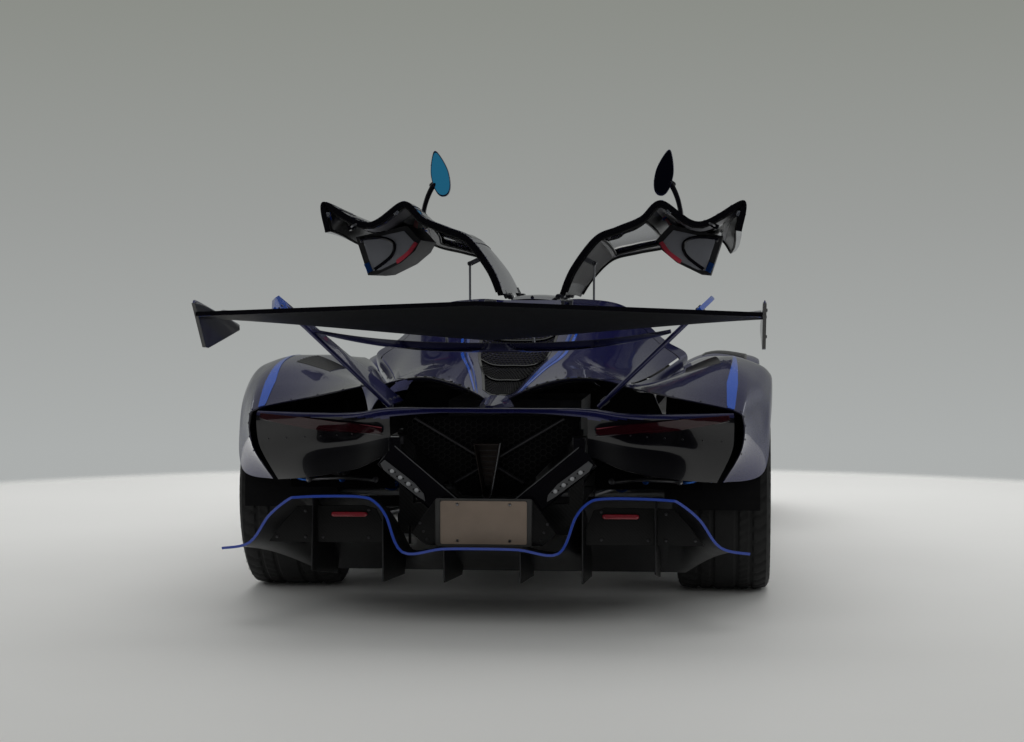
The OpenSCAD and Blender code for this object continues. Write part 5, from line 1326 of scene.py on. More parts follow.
for v in lin(0.0, 2 * DN, 12 * DN + 1):
    p, n = DIFF.at(0, v)[0], DIFF.normal(0.02, v)[0]
    n = n * np.array([1, 0, 1])
    n /= np.linalg.norm(n)
    y = np.array([0, 1.0, 0])
    rows.append([p + 0.001 * n - 0.0006 * y, p - 0.0080 * n - 0.0006 * y,
                 p - 0.0080 * n - 0.0032 * y, p + 0.001 * n - 0.0032 * y])
b.add(*loft(rows), "blue_line")
b.done(0.0005, angle=50)

# ---- wing ----------------------------------------------------------------------------------------
TE_Y, TIP, CHORD = -2.525, 0.940, 0.470


def wing_nose(x):
    s = abs(x) / TIP
    return np.array([x, TE_Y + CHORD * (1 - 0.12 * s), 0.948 + 0.096 * s ** 1.15 + 0.014])


def wing_tail(x):
    return np.array([x, TE_Y, 1.083 - 0.036 * abs(x) / TIP])


def section(nose, tail, sag, thick, n):
    """Closed outline of a blade from its nose to its tail, along the top and back below."""
    c = tail - nose
    up = np.array([0, c[2], -c[1]])
    up = up / np.linalg.norm(up) * (-1 if c[1] > 0 else 1)
    t = (np.arange(n + 1) / n) ** 1.3
    mid = nose + c * t[:, None] - up * (sag * np.sin(np.pi * t ** 0.8))[:, None]
    half = thick * (0.35 * np.sqrt(t) * (1 - t) * 2 + 0.06)
    return np.vstack([mid + up * half[:, None], (mid - up * half[:, None])[::-1]])


def wing_section(x, n=22):
    """The main blade's section at a place across the car."""
    return section(wing_nose(x), wing_tail(x), 0.026 - 0.014 * abs(x) / TIP, 0.030, n)


b = Piece("rear_wing_blade", "chassis", "matte_carbon", ["rear_wing"])
v, f = loft([wing_section(x) for x in lin(-TIP, TIP, 65)])
# the front strip of the blade's underside is painted lilac: a painted reflection
lip = lambda p: (wing_nose(p[0])[1] - p[1]) / (wing_nose(p[0])[1] - TE_Y) < 0.17
b.add(v, f, ["lilac" if lip(v[face].mean(0)) else "carbon_matte" for face in f])
low = lambda x: (abs(x) / 0.63) ** 2.6
b.add(*loft([section(np.array([x, -1.995, 0.912 + 0.074 * low(x)]),
                     np.array([x, -2.100, 0.946 + 0.048 * low(x)]), 0.005, 0.014, 14)
             for x in lin(-0.63, 0.63, 49)]), "gloss_black")
zb = wing_nose(0.15)[2]
both(b, *extrude([[-2.030, 0.926], [-2.094, 0.944], [-2.094, zb], [-2.072, zb]], 0, 0.150, 0.156),
     "alloy")
b.done(0.0008, angle=60)
b = Piece("wing_gurney", "chassis", "carbon")
rows = []
for x in lin(-TIP, TIP, 65):
    z = wing_tail(x)[2]
    rows.append([[x, TE_Y - 0.0005, z - 0.004], [x, TE_Y - 0.0005, z + 0.011],
                 [x, TE_Y - 0.0030, z + 0.0115], [x, TE_Y - 0.0032, z - 0.004]])
b.add(*loft(rows), "gloss_black")
for s in (-1, 1):
    # a blue corner under the wing's tip
    tri = []
    for x, t in ((0.86, 0.985), (0.935, 0.985), (0.935, 0.90)):
        low = wing_section(x, 80)[81:][::-1]
        tri.append(low[int(round(t ** (1 / 1.3) * 80))] + np.array([0, -0.0006, -0.0007]))
    tri = np.array(tri) * np.array([s, 1, 1])
    v = np.vstack([tri, tri + np.array([0, 0.0005, 0.0012])])
    f = [[0, 1, 2], [5, 4, 3], [0, 3, 4, 1], [1, 4, 5, 2], [2, 5, 3, 0]]
    b.add(v, f if s < 0 else [q[::-1] for q in f], "blue")
b.done(0.0004)

b = Piece("wing_end_plates", "chassis", "carbon", ["wing_endplates"])
ol = [[-2.532, 1.087], [-2.490, 1.091], [-2.2, 1.051], [-1.85, 1.003], [-1.85, 0.984],
      [-2.1, 0.957], [-2.34, 0.932], [-2.38, 0.936]]
x0 = TIP + 0.0003
both(b, *extrude(ol, 0, x0, x0 + 0.012), "carbon")
# a lilac tube along each end plate's top edge: a painted highlight
top = smooth([(x0 + 0.006, -2.526, 1.0862), (x0 + 0.006, -2.490, 1.0905),
              (x0 + 0.006, -2.2, 1.0508), (x0 + 0.006, -1.855, 1.0028)], 30)
both(b, *tube(top, 0.0035, 8, flat=1.6), "lilac")
for y, z in ((-2.45, 1.064), (-2.3, 1.040), (-2.15, 1.016), (-2.35, 0.975), (-2.12, 0.982)):
    both(b, *placed(BOLT, (x0 + 0.012, y, z), (1, 0, 0)), "steel")
b.done(0.0010)

FOOT, TOP = np.array([0.372, 0, 0.716]), np.array([0.768, 0, 1.098])
LEAN = math.atan2(TOP[2] - FOOT[2], TOP[0] - FOOT[0])
SL = np.linalg.norm(TOP - FOOT)


def on_strut(v):
    """(c across the blade, a along the car, b up the blade) to the car's frame"""
    be = math.pi / 2 - LEAN
    return np.stack([FOOT[0] + v[:, 0] * math.cos(be) + v[:, 2] * math.sin(be), v[:, 1],
                     FOOT[2] - v[:, 0] * math.sin(be) + v[:, 2] * math.cos(be)], -1), False


def on_strut_left(v):
    return on_strut(v)[0] * np.array([-1, 1, 1]), True


# the blade's front and rear edges, over (place along the car, share of the blade's length)
STRUT_FRONT = ((-1.640, 0), (-1.820, .5), (-1.930, .86), (-1.980, 1.02))
STRUT_BACK = ((-1.985, 0), (-2.010, .45), (-2.030, .76), (-2.070, .87))
STRUT_ROWS, STRUT_HALF = 24, 0.0088
# across the blade: place from front to back, share of the half thickness
STRUT_CROSS = ((0, 0.15), (0.012, 0.75), (0.05, 1.0), (0.5, 1.0), (0.95, 1.0), (0.988, 0.7),
               (1, 0.15))
b = Piece("swan_neck_struts", "chassis", "carbon", ["wing_struts"])
front, back = (smooth([[y, SL * up] for y, up in edge], STRUT_ROWS)
               for edge in (STRUT_FRONT, STRUT_BACK))
for warp in (on_strut, on_strut_left):
    rows = []
    for p, q in zip(front, back):
        sec = [[way * c * STRUT_HALF, *(p + (q - p) * t)]
               for way in (1, -1) for t, c in STRUT_CROSS[::way]]
        rows.append(sec[::-1])
    v, f = loft(rows)
    names = ["blue" if np.mean(v[face][:, 2]) / SL > 0.93 else "paint" for face in f]
    b.add(v, f, names, warp=warp)
    arm = [[-2.075, SL * .868], [-2.240, SL * .881], [-2.2395, SL * .919], [-2.080, SL * .999],
           [-1.982, SL * 1.018], [-1.955, SL * .93]]
    b.add(*extrude(arm, 0, -0.0085, 0.0085), "blue", warp=warp)
    for a, c in ((-1.70, 0.02), (-1.80, 0.02), (-1.90, 0.02), (-2.20, SL * .90), (-2.12, SL * .92)):
        for e in (-1, 1):
            b.add(*placed(BOLT, (e * STRUT_HALF, a, c), (e, 0, 0)), "steel", warp=warp)
px = FOOT[0] + 0.9 * SL * math.cos(LEAN)
pz = FOOT[2] + (px - FOOT[0]) * math.tan(LEAN)
sec = wing_section(px)[:23]
pw = float(np.interp(2.2, -sec[:, 1], sec[:, 2])) + 0.0008
both(b, *tube([(px, -2.2, pw), (px, -2.2, pw + 0.006), (px, -2.2, pz - 0.004)], 0.005, 14), "steel")
both(b, *tube([(0.3735, -1.9, 0.708), (0.3735, -1.9, 0.712), (0.3735, -1.9, 0.719)], 0.005, 14),
     "steel")
b.done(0.0008, angle=45)

# ---- suspension hardware, hoses ------------------------------------------------------------------
b = Piece("rear_dampers", "chassis", "suspension_metal")
p0, p1 = np.array([0.455, -1.475, 0.380]), np.array([0.360, -1.700, 0.565])
d = p1 - p0
path = [p0 + d * t for t in lin(0, 1, 12)]
both(b, *tube(path, np.interp(lin(0, 1, 12), [0, .06, .07, .55, .56, 1],
                              [.012, .012, .022, .022, .011, .011]), 18), "alloy")
coil = []
a1, a2 = frames(path)[0]
for t in lin(0, 1, 150):
    th = 2 * math.pi * 8 * t
    coil.append(p0 + d * (0.12 + 0.74 * t) + 0.034 * (math.cos(th) * a1 + math.sin(th) * a2))
both(b, *tube(coil, 0.0052, 8), "anodised_blue")
b.done(0.0)
b = Piece("rear_brake_hoses", "chassis", "carbon")
for k, (x0, z0, mat) in enumerate(((0.50, 0.50, "plastic"), (0.62, 0.47, "anodised_blue"))):
    pts = smooth([(x0, -1.72, z0 + .03), (x0 + .02, -1.85, z0), (x0 + .05, -1.93, z0 - .02),
                  (x0 + .12, -1.88, z0 - .015), (x0 + .15, -1.76, z0 - .03)], 70)
    rad = 0.016 + 0.0022 * np.sin(np.arange(70) * 2.1)
    both(b, *tube(pts, rad if k == 0 else 0.007, 12), mat)
both(b, *tube(smooth([(0.42, -1.98, 0.45), (0.52, -2.0, 0.462), (0.66, -1.97, 0.455)], 20), 0.006,
              10), "steel")
for x in (0.42, 0.54, 0.66):
    both(b, *placed(disc(0.011, 0.010, 16, 0.002), (x, -1.985, 0.455), (0, -1, 0.1)),
         "anodised_blue" if x == 0.54 else "steel")
b.done(0.0004)
# a black sheet behind the hoses: painted shade in the space there
b = Piece("rear_painted_shade_sheet", "chassis", "liner")
P = np.array([[[x, -1.93 + 0.03 * math.sin((x - .36) * 7), z] for x in lin(0.36, 0.74, 14)]
              for z in lin(0.56, 0.42, 6)])
both(b, *sheet(P, 0.003)[:2], "void")
b.done()

# ---- wheels --------------------------------------------------------------------------------------
# the hub's place, then the tyre's radius and width and the rim's radius
HUBS = dict(front=(0.827, 1.360, 0.345, 0.345, 0.265, 0.254),
            rear=(0.813, -1.340, 0.3625, 0.3625, 0.345, 0.2665))


def tyre_shape(r, w, rim_r, n=252):
    """Closed ring of a tyre: bead, sidewall and a tread with grooves and cut blocks."""
    hw = w / 2
    prof = [(rim_r + .0010, -hw + .026), (rim_r + .0010, -hw + .014), (rim_r + .006, -hw + .006),
            (rim_r + .012, -hw + .003), (rim_r + .022, -hw + .0015)]
    mid = (rim_r + r) / 2
    prof += [(mid - .014, -hw + .0005), (mid - .010, -hw + .0025), (mid, -hw + .0015),
             (mid + .012, -hw + .003), (mid + .014, -hw + .001), (r - .034, -hw + .0025),
             (r - .022, -hw + .005), (r - .013, -hw + .010), (r - .006, -hw + .016)]
    flat = lin(-hw + .024, hw - .024, 41)
    tread = [(r - .0045 * max(0, (abs(x) - (hw - .06)) / .036) ** 2, x) for x in flat]
    half = prof + tread + [(a, -x) for a, x in prof[::-1]]
    inner = [(rim_r + .0010, hw - .030), (mid, hw - .012), (r - .018, hw - .030),
             (r - .018, -hw + .030), (mid, -hw + .012), (rim_r + .001, -hw + .030)]
    p = np.array(half + inner)
    th = turn(n)
    R = np.repeat(p[None, :, 0], n, 0).copy()
    a0 = len(prof)          # where the tread starts in the outline
    grooves = (7, 14, 26, 33) if w > 0.3 else (9, 16, 24, 31)
    for j, (_, x) in enumerate(tread):
        if j in grooves or j - 1 in grooves:
            R[:, a0 + j] -= .0065
            continue
        rim_zone = j < grooves[0] or j > grooves[3] + 1
        mid_zone = grooves[0] + 1 < j < grooves[1] or grooves[2] + 1 < j < grooves[3]
        blocks = 42 if rim_zone else 63 if mid_zone else 0
        if blocks:
            phase = (th * blocks / (2 * np.pi) + abs(x) * (9 if rim_zone else 16)) % 1
            cut = phase < 1.01 / (n / blocks)
            R[cut, a0 + j] -= .0052 if rim_zone else .0036
    V = np.zeros((n, len(p), 3))
    V[:, :, 0] = p[None, :, 1]
    V[:, :, 1] = R * np.cos(th)[:, None]
    V[:, :, 2] = R * np.sin(th)[:, None]
    return V.reshape(-1, 3), [f[::-1] for f in grid_faces(n, len(p), True, True)]


def spoke(rim_r, face, spin, twin=0.12):
    """One forked spoke from the hub to the rim's edge, bowed inwards."""
    out = []
    for s in (-1, 1):
        rows = []
        for t in lin(0, 1, 12):
            r = 0.045 + (rim_r - 0.0185 - 0.045) * t
            split = max(0, (t - 0.25) / 0.75) ** 1.2
            ang = spin + s * twin * split
            x = face - 0.012 - 0.014 * math.sin(math.pi * min(1, t * 1.05)) + 0.001 * t
            half = 0.0065 + 0.004 * (1 - t) + 0.002 * t ** 4
            deep = 0.026 - 0.006 * t
            c, q = math.cos(ang), math.sin(ang)
            sec = []
            for a, d in ((-1, -deep), (-1, -0.004), (-0.62, 0), (0.62, 0), (1, -0.004), (1, -deep),
                         (0.6, -deep - .003), (-0.6, -deep - .003)):
                sec.append([x + d, r * c - a * half * q, r * q + a * half * c])
            rows.append(sec)
        out.append(loft(rows))
    return out


def tyre(name, body, place, r, w, rim_r):
    """Tyre with a grooved tread and small raised blocks round its sidewalls."""
    b = Piece("tyre_%s_tread" % name, body, "tyre", ["tyre_" + name])
    b.add(*tyre_shape(r, w, rim_r), "tyre", warp=place)
    mid = (rim_r + r) / 2
    for k in range(36):
        a = 2 * math.pi * k / 36
        for e in (1, -1):
            q = np.array([[e * (w / 2 - .0008), (mid + .020) * math.cos(a + o),
                           (mid + .020) * math.sin(a + o)] for o in (-.02, .02)]
                         + [[e * (w / 2 - .0024), (mid + .028) * math.cos(a + o),
                             (mid + .028) * math.sin(a + o)] for o in (.02, -.02)])
            b.add(np.vstack([q, q - [e * .002, 0, 0]]), [[0, 1, 2, 3][::e]], "tyre_mark",
                  warp=place)
    b.done(0.0, angle=32)


def rim(name, body, place, w, rim_r, nut_mat):
    """Barrel with a bright lip, ten forked spokes, hub, centre nut and bolts."""
    face = w / 2 - 0.024
    b = Piece("rim_%s_spokes" % name, body, "rim", ["rim_" + name])
    hw = w / 2
    prof = [(rim_r, -hw + .008), (rim_r + .0007, -hw + .012), (rim_r + .0007, -hw + .028),
            (rim_r - .016, -hw + .044), (rim_r - .016, hw - .044), (rim_r + .0007, hw - .028),
            (rim_r + .0007, hw - .012), (rim_r - .0005, hw - .0085), (rim_r - .003, hw - .0075),
            (rim_r - .008, hw - .008), (rim_r - .0105, hw - .010), (rim_r - .012, hw - .020),
            (rim_r - .016, hw - .032), (rim_r - .024, hw - .046), (rim_r - .024, -hw + .046),
            (rim_r - .010, -hw + .026), (rim_r - .010, -hw + .008)]
    v, f = lathe(prof, (0, 0, 0), 0, 120, True)
    names = []
    for q in f:
        m = v[q].mean(0)
        names.append("rim_edge" if m[0] > hw - .0125 and np.hypot(m[1], m[2]) < rim_r - .0001
                     else "rim")
    b.add(v, f, names, warp=place)
    for k in range(10):
        for v, f in spoke(rim_r, face, 2 * math.pi * (k + .5) / 10):
            b.add(v, f, "rim", warp=place)
    hub = [(0.0252, -.019), (.056, -.019), (.058, -.017), (.058, face - .010), (.054, face - .0045),
           (.042, face - .0035), (.041, face - .009), (.0252, face - .010)]
    b.add(*lathe(hub, (0, 0, 0), 0, 56, True), "rim", warp=place)
    nut = [(.0005, face + .012), (.014, face + .012), (.017, face + .009), (.018, face + .002),
           (.030, face + .001), (.034, face - .002), (.036, face - .008), (.0005, face - .0085)]
    b.add(*lathe(nut, (0, 0, 0), 0, 36), nut_mat, warp=place)
    for k in range(10):
        a = 2 * math.pi * k / 10
        b.add(*placed(disc(.0042, .004, 12, .001),
                      (face - .0045, .049 * math.cos(a), .049 * math.sin(a)), (1, 0, 0)), "steel",
              warp=place)
    b.done(0.0008, angle=36)


def brake_disc(name, body, place):
    b = Piece("brake_disc_%s" % name, body, "rim")
    prof = [(.095, -.0195), (.189, -.0195), (.190, -.0185), (.190, -.009), (.184, -.008),
            (.184, -.001), (.190, 0), (.190, .0105), (.189, .0115), (.095, .0115), (.094, .008),
            (.094, -.016)]
    b.add(*lathe(prof, (0, 0, 0), 0, 96, True), "disc", warp=place)
    prof = [(.0585, -.012), (.096, -.010), (.096, .004), (.0585, .030)]
    b.add(*lathe(prof, (0, 0, 0), 0, 60, True), "rim", warp=place)
    # the drilled holes are black dots: painted shade
    for k in range(30):
        for q, rr in enumerate((.115, .142, .169)):
            a = 2 * math.pi * k / 30 + 0.05 * q
            for e, x in ((1, .0115), (-1, -.0195)):
                b.add(*placed(disc(.0034, .0003, 6), (x, rr * math.cos(a), rr * math.sin(a)),
                              (e, 0, 0)), "void", warp=place)
    b.done(0.0)


def caliper(name, body, slot, place, from_deg, to_deg):
    """Caliper that stands beside the disc, between two angles about the axle."""
    b = Piece("caliper_%s" % name, body, slot)
    a0, a1 = math.radians(from_deg), math.radians(to_deg)
    rows = []
    for a in lin(a0, a1, 22):
        t = (a - a0) / (a1 - a0)
        k = min(1, 6 * min(t, 1 - t) + .55)
        ro, ri, ro2 = .212 - .010 * (1 - k), .118, .196
        sec = []
        for x, rad in ((-.052, ri), (-.058, .150), (-.056, ro2), (-.042, ro), (.034, ro),
                       (.048, ro2), (.050, .150), (.044, ri), (.016, ri), (.016, .1925),
                       (-.024, .1925), (-.024, ri)):
            x = -.004 + (x + .004) * (.8 + .2 * k)
            sec.append([x, rad * math.cos(a), rad * math.sin(a)])
        rows.append(sec[::-1])
    b.add(*loft(rows), "caliper", warp=place)
    for a in lin(a0 + .2, a1 - .2, 3):
        b.add(*placed(disc(.013, .004, 20, .001), (.0475, .155 * math.cos(a), .155 * math.sin(a)),
                      (1, 0, 0)), "steel", warp=place)
    b.done(0.0014, angle=34)


def wheel(end, side):
    """One wheel at its corner: tyre, rim and disc turn; the caliper stays."""
    hx, hy, hz, r, w, rim_r = HUBS[end]
    name = "%s_%s" % (end, side)
    sgn = 1 if side == "right" else -1
    body = "wheel_" + name

    def place(v):
        v = v * np.array([sgn, 1, 1])
        return v + np.array([sgn * hx, hy, hz]), sgn < 0

    tyre(name, body, place, r, w, rim_r)
    rim(name, body, place, w, rim_r, "anodised_blue" if side == "right" else "anodised_red")
    brake_disc(name, body, place)
    if end == "front":
        caliper(name, "steer_" + side, "upright_metal", place, 150, 212)
    else:
        caliper(name, "chassis", "suspension_metal", place, -32, 30)


for end in ("front", "rear"):
    for side in ("left", "right"):
        wheel(end, side)

# ---- doors, drawn shut and turned open about their hinges ----------------------------------------
DOOR_WINDOW = (0.5, 3.5, 2.25, 4.0)
WIN_U, WIN_V = DOOR_WINDOW[:2], DOOR_WINDOW[2:]
DT = 0.024                       # how thick a door is
MIRROR, MIRROR_HALF = (0.806, 0.640, 0.970), (0.111, 0.043)
MIRROR_TILT, MIRROR_N = math.radians(14), 56


def door_mesh(us, vs, depth):
    """The door's surface, moved inwards by a depth."""
    P = DOOR.mesh(us, vs)
    return P - depth * grid_normals(P)


def inner_pad(piece, box4, depth, rise, mat, warp, nu=24, nv=24, channels=0):
    """A raised cover on the door's inner side, over a patch of its surface."""
    u0, u1, v0, v1 = box4
    us, vs = lin(u0, u1, nu), lin(v0, v1, nv)
    P = DOOR.mesh(us, vs)
    N = grid_normals(P)
    s, t = np.meshgrid(lin(-1, 1, nu), lin(-1, 1, nv), indexing="ij")
    h = np.clip((1 - np.abs(s) ** 8) * (1 - np.abs(t) ** 8), 0, 1) ** 0.5
    if channels:
        h = h * (0.82 + 0.18 * np.abs(np.sin(np.pi * channels * (t + 1) / 2)) ** 0.6)
    top = P - N * (depth + rise * h)[..., None]
    piece.add(*sheet(top, 0.0018)[:2], mat, warp=warp)


def door_tube(piece, path, r, mat, warp, depth=DT / 2, n=10, count=60):
    p = smooth(path, count)
    q = DOOR.at(p[:, 0], p[:, 1]) - depth * DOOR.normal(p[:, 0], p[:, 1])
    piece.add(*tube(q, r, n), mat, warp=warp)


def door_shell(side, body, warp):
    """The door itself, with its window's hole, the hinge lugs and the gas strut's stud."""
    us = stations(0, 4, 43, *WIN_U)
    vs = stations(0, 8, 85, *WIN_V)
    b = Piece("door_%s_shell" % side, body, "paint", ["door_" + side])
    v, f, kind = sheet(DOOR.mesh(us, vs), DT, keep=lambda i,
                       j: not inside(DOOR_WINDOW, us[i], vs[j]))
    b.add(v, f, [dict(o="paint", w="gloss_black", i="carbon_tub")[what] for what in kind],
          warp=warp)
    # hinge lugs and pins
    for y in HINGE_PLACES:
        for s in (-1, 1):
            m = y + s * 0.026 + 0.010
            v, f = lathe([(0.0062, m - 0.020), (0.0108, m - 0.020), (0.012, m - 0.0188),
                          (0.012, m - 0.0012), (0.0108, m), (0.0062, m)], HINGE, 1, 32, True)
            b.add(v, f, "alloy", warp=warp)
            b.add(*box((0.104, m - 0.020, 1.078), (0.150, m, 1.096)), "alloy", warp=warp)
        b.add(*lathe([(0.0001, y - 0.026), (0.006, y - 0.026), (0.006, y + 0.020),
                      (0.0001, y + 0.020)], HINGE, 1, 24), "steel", warp=warp)
    # stud for the gas strut
    b.add(*box((0.290, -0.409, 1.009), (0.310, -0.399, 1.080)), "alloy", warp=warp)
    b.add(*lathe([(0.0001, -0.4171), (0.005, -0.4171), (0.005, -0.407), (0.0001, -0.407)],
                 (0.300, 0, 1.018), 1, 24), "steel", warp=warp)
    b.done(0.0016)


def door_outer_trim(side, body, warp):
    b = Piece("door_%s_outer_trim" % side, body, "gloss_black")
    # panel line and rivets over the roof part, and louvre slots at the sill tips, drawn as black
    # strips of painted shade
    ring = [(0.30, 2.05), (0.30, 4.15), (2.0, 4.22), (3.70, 4.15), (3.70, 2.05), (2.0, 2.0),
            (0.30, 2.05)]
    b.add(*stripe(DOOR, ring[:2], 0.010, 0.0004, 0.0010, 2, 24), "gloss_black", warp=warp)
    b.add(*stripe(DOOR, ring[1:4], 0.010, 0.0004, 0.0010, 2, 50), "gloss_black", warp=warp)
    b.add(*stripe(DOOR, ring[3:5], 0.010, 0.0004, 0.0010, 2, 24), "gloss_black", warp=warp)
    b.add(*stripe(DOOR, ring[4:7], 0.010, 0.0004, 0.0010, 2, 50), "gloss_black", warp=warp)
    for k in range(26):
        u = 0.12 + 3.76 * k / 25
        rivets(b, DOOR, [(u, 1.78), (u, 4.42)], warp=warp, mirrored=False)
    for k in range(14):
        v0 = 0.5 + 0.28 * k
        rivets(b, DOOR, [(3.86, v0), (0.14, v0)], warp=warp, mirrored=False)
    for k in range(6):
        v0 = 6.0 + 0.27 * k
        b.add(*stripe(DOOR, [(3.15, v0), (3.5, v0), (3.86, v0 + .04)], [0.004, 0.013, 0.013],
                      0.0005, 0.0010, 2, 22), "void", warp=warp)
        b.add(*stripe(DOOR, [(3.15, v0 + .085), (3.5, v0 + .09), (3.86, v0 + .13)],
                      [0.002, 0.006, 0.006], 0.0010, 0.0020, 2, 22), "grey_gloss", warp=warp)
    b.add(*stripe(DOOR, [(0.25, 5.0), (2.0, 5.05), (3.9, 5.0)], [0.006, 0.016, 0.010], 0.0005,
                  0.0008, 3, 60), "blue", warp=warp)
    # a lilac stripe along the rear edge: a painted reflection
    b.add(*stripe(DOOR, [(3.93, 0.3), (3.93, 2.4), (3.93, 4.6)], [0.010, 0.016, 0.010], 0.0006,
                  0.0008, 3, 80), "lilac", warp=warp)
    # latch recess and handle flap
    b.add(*stripe(DOOR, [(2.3, 5.62), (2.75, 5.62), (3.2, 5.62)], 0.030, 0.0004, 0.0010, 4, 24),
          "carbon", warp=warp)
    b.add(*stripe(DOOR, [(2.35, 5.62), (2.75, 5.62), (3.15, 5.62)], 0.019, 0.0012, 0.0016, 4, 24),
          "gloss_black", warp=warp)
    b.done(0.0)


def door_inner_panel(side, body, warp):
    """Covers, seals, rivets, pull strap and latch on the inner side."""
    b = Piece("door_%s_inner_panel" % side, body, "carbon")
    inner_pad(b, (0.35, 3.55, 4.55, 7.25), DT, 0.010, "grey_trim", warp, 28, 32)
    inner_pad(b, (0.75, 2.9, 4.75, 5.5), DT + .009, 0.012, "suede_grey", warp, 24, 16, 4)
    inner_pad(b, (0.75, 3.2, 5.85, 6.9), DT + .009, 0.006, "gloss_black", warp, 22, 15)
    inner_pad(b, (1.1, 2.6, 6.1, 6.6), DT + .014, 0.004, "mesh_dark", warp, 16, 12)
    inner_pad(b, (0.3, 3.7, 0.55, 2.0), DT, 0.009, "suede", warp, 26, 20, 3)
    for path, mat, r in (([(0.1, 0.2), (0.06, 2.5), (0.06, 5), (0.1, 7.9)], "rubber", 0.0055),
                         ([(3.92, 0.2), (3.94, 2.5), (3.94, 5), (3.9, 7.9)], "rubber", 0.0055),
                         ([(0.12, 7.92), (2.0, 7.94), (3.88, 7.92)], "rubber", 0.0055)):
        door_tube(b, path, r, mat, warp, DT + 0.002)
    # the lilac tube along the rear edge is a painted reflection
    door_tube(b, [(3.80, 0.4), (3.82, 2.2), (3.82, 4.4)], 0.0040, "lilac", warp, DT + 0.001)
    door_tube(b, [(3.80, 4.6), (3.80, 6.0), (3.74, 7.6)], 0.0034, "blue", warp, DT + 0.001)
    # window seal
    for u in (WIN_U[0] - .05, WIN_U[1] + .05):
        door_tube(b, [(u, WIN_V[0] - .05), (u, 3.1), (u, WIN_V[1] + .05)], 0.0045, "rubber", warp,
                  DT + 0.0005, 8, 30)
    for v0 in (WIN_V[0] - .07, WIN_V[1] + .07):
        door_tube(b, [(WIN_U[0], v0), (2.0, v0), (WIN_U[1], v0)], 0.0045, "rubber", warp,
                  DT + 0.0005, 8, 40)
    for k in range(22):
        v0 = 0.35 + 7.2 * k / 21
        p, n = DOOR.at(3.70, v0)[0], DOOR.normal(3.70, v0)[0]
        b.add(*placed(RIVET, p - n * DT, -n), "steel", warp=warp)
    # pull strap with its two end plates, and the latch on the rear edge
    ends = [(1.3, 4.62), (2.5, 4.62)]
    p = np.array([DOOR.at(u, v)[0] - (DT + 0.013) * DOOR.normal(u, v)[0] for u, v in ends])
    m = p.mean(0) - 0.045 * DOOR.normal(1.9, 4.62)[0]
    line = smooth([p[0], (p[0] + m) / 2 + (m - p.mean(0)) * .28, m,
                   (p[1] + m) / 2 + (m - p.mean(0)) * .28, p[1]], 34)
    b.add(*tube(line, 0.0022, 10, flat=6.0), "strap_red", warp=warp)
    for q in p:
        b.add(*placed(disc(0.015, 0.006, 20, 0.001), q, -DOOR.normal(1.9, 4.62)[0]),
              "anodised_blue", warp=warp)
    for u, v0, mat, r in ((3.9, 6.6, "steel", .011), (3.9, 7.2, "anodised_red", .008),
                          (3.88, 2.15, "steel", .009)):
        p, n = DOOR.at(u, v0)[0], DOOR.normal(u, v0)[0]
        y = np.array([0, -1.0, 0])
        b.add(*placed(disc(r, 0.010, 20, 0.002), p - n * DT / 2, y), mat, warp=warp)
    q, n = DOOR.at(4.0, 6.25)[0], DOOR.normal(3.98, 6.25)[0]
    c = q - n * (DT + 0.012)
    hook = [c + np.array([0, 0.020, 0.0]), c + np.array([0, 0.002, 0]),
            c + np.array([0, -0.006, 0.012]), c + np.array([0, 0.0, 0.024])]
    b.add(*tube(smooth(hook, 16), 0.0045, 10), "steel", warp=warp)
    b.add(*box(tuple(c - [0.010, -0.012, 0.018]), tuple(c + [0.010, 0.050, 0.030])), "gloss_black",
          warp=warp)
    # clear rubber stops on the rear edge
    for v0 in (5.35, 7.5):
        p, n = DOOR.at(3.97, v0)[0], DOOR.normal(3.97, v0)[0]
        b.add(*placed(disc(0.012, 0.008, 20, 0.006), p - n * (DT + 0.001), -n), "lens_clear",
              warp=warp)
    b.done(0.0006, angle=45)


def door_card(side, body, warp):
    """Armrest card that hangs from the door's inner side."""
    b = Piece("door_%s_card" % side, body, "carbon")
    card = [(.645, .585), (.470, .560), (.455, .600), (.455, .715), (.475, .795), (.505, .838),
            (.590, .812)]
    mid = np.mean(card, 0)
    inner = [tuple(mid + (np.array(p) - mid) * .80) for p in card]
    b.add(*extrude(card, 1, -0.120, 0.400), "plastic", warp=warp)
    b.add(*extrude(inner, 1, -0.1245, -0.119), "grey_gloss", warp=warp)
    arch = smooth([(.628, -.126, .598), (.592, -.126, .685), (.545, -.126, .725),
                   (.500, -.126, .690), (.480, -.126, .598)], 30)
    b.add(*tube(arch, 0.0075, 12), "gloss_black", warp=warp)
    b.add(*tube(smooth([(.505, -.126, .815), (.478, -.140, .765), (.466, -.126, .700)], 20), 0.0022,
                10, flat=5.0), "strap_red", warp=warp)
    b.add(*box((.478, -.131, .566), (.520, -.124, .590)), "anodised_blue", warp=warp)
    for p in ((.615, .60), (.49, .585), (.50, .79)):
        b.add(*placed(BOLT, (p[0], -.1245, p[1]), (0, -1, 0)), "steel", warp=warp)
    b.done(0.006, angle=45)


def door_pane(side, body, warp):
    b = Piece("door_glass_%s_pane" % side, body, "glass", ["door_glass_" + side])
    g = 0.01
    P = door_mesh(lin(WIN_U[0] + g, WIN_U[1] - g, 40), lin(WIN_V[0] + g, WIN_V[1] - g, 26),
                  (DT - 0.005) / 2)
    v, f, kind = sheet(P, 0.005)
    b.add(v, f, ["rubber" if k == "w" else "glass_dark" for k in kind], warp=warp)
    b.done()


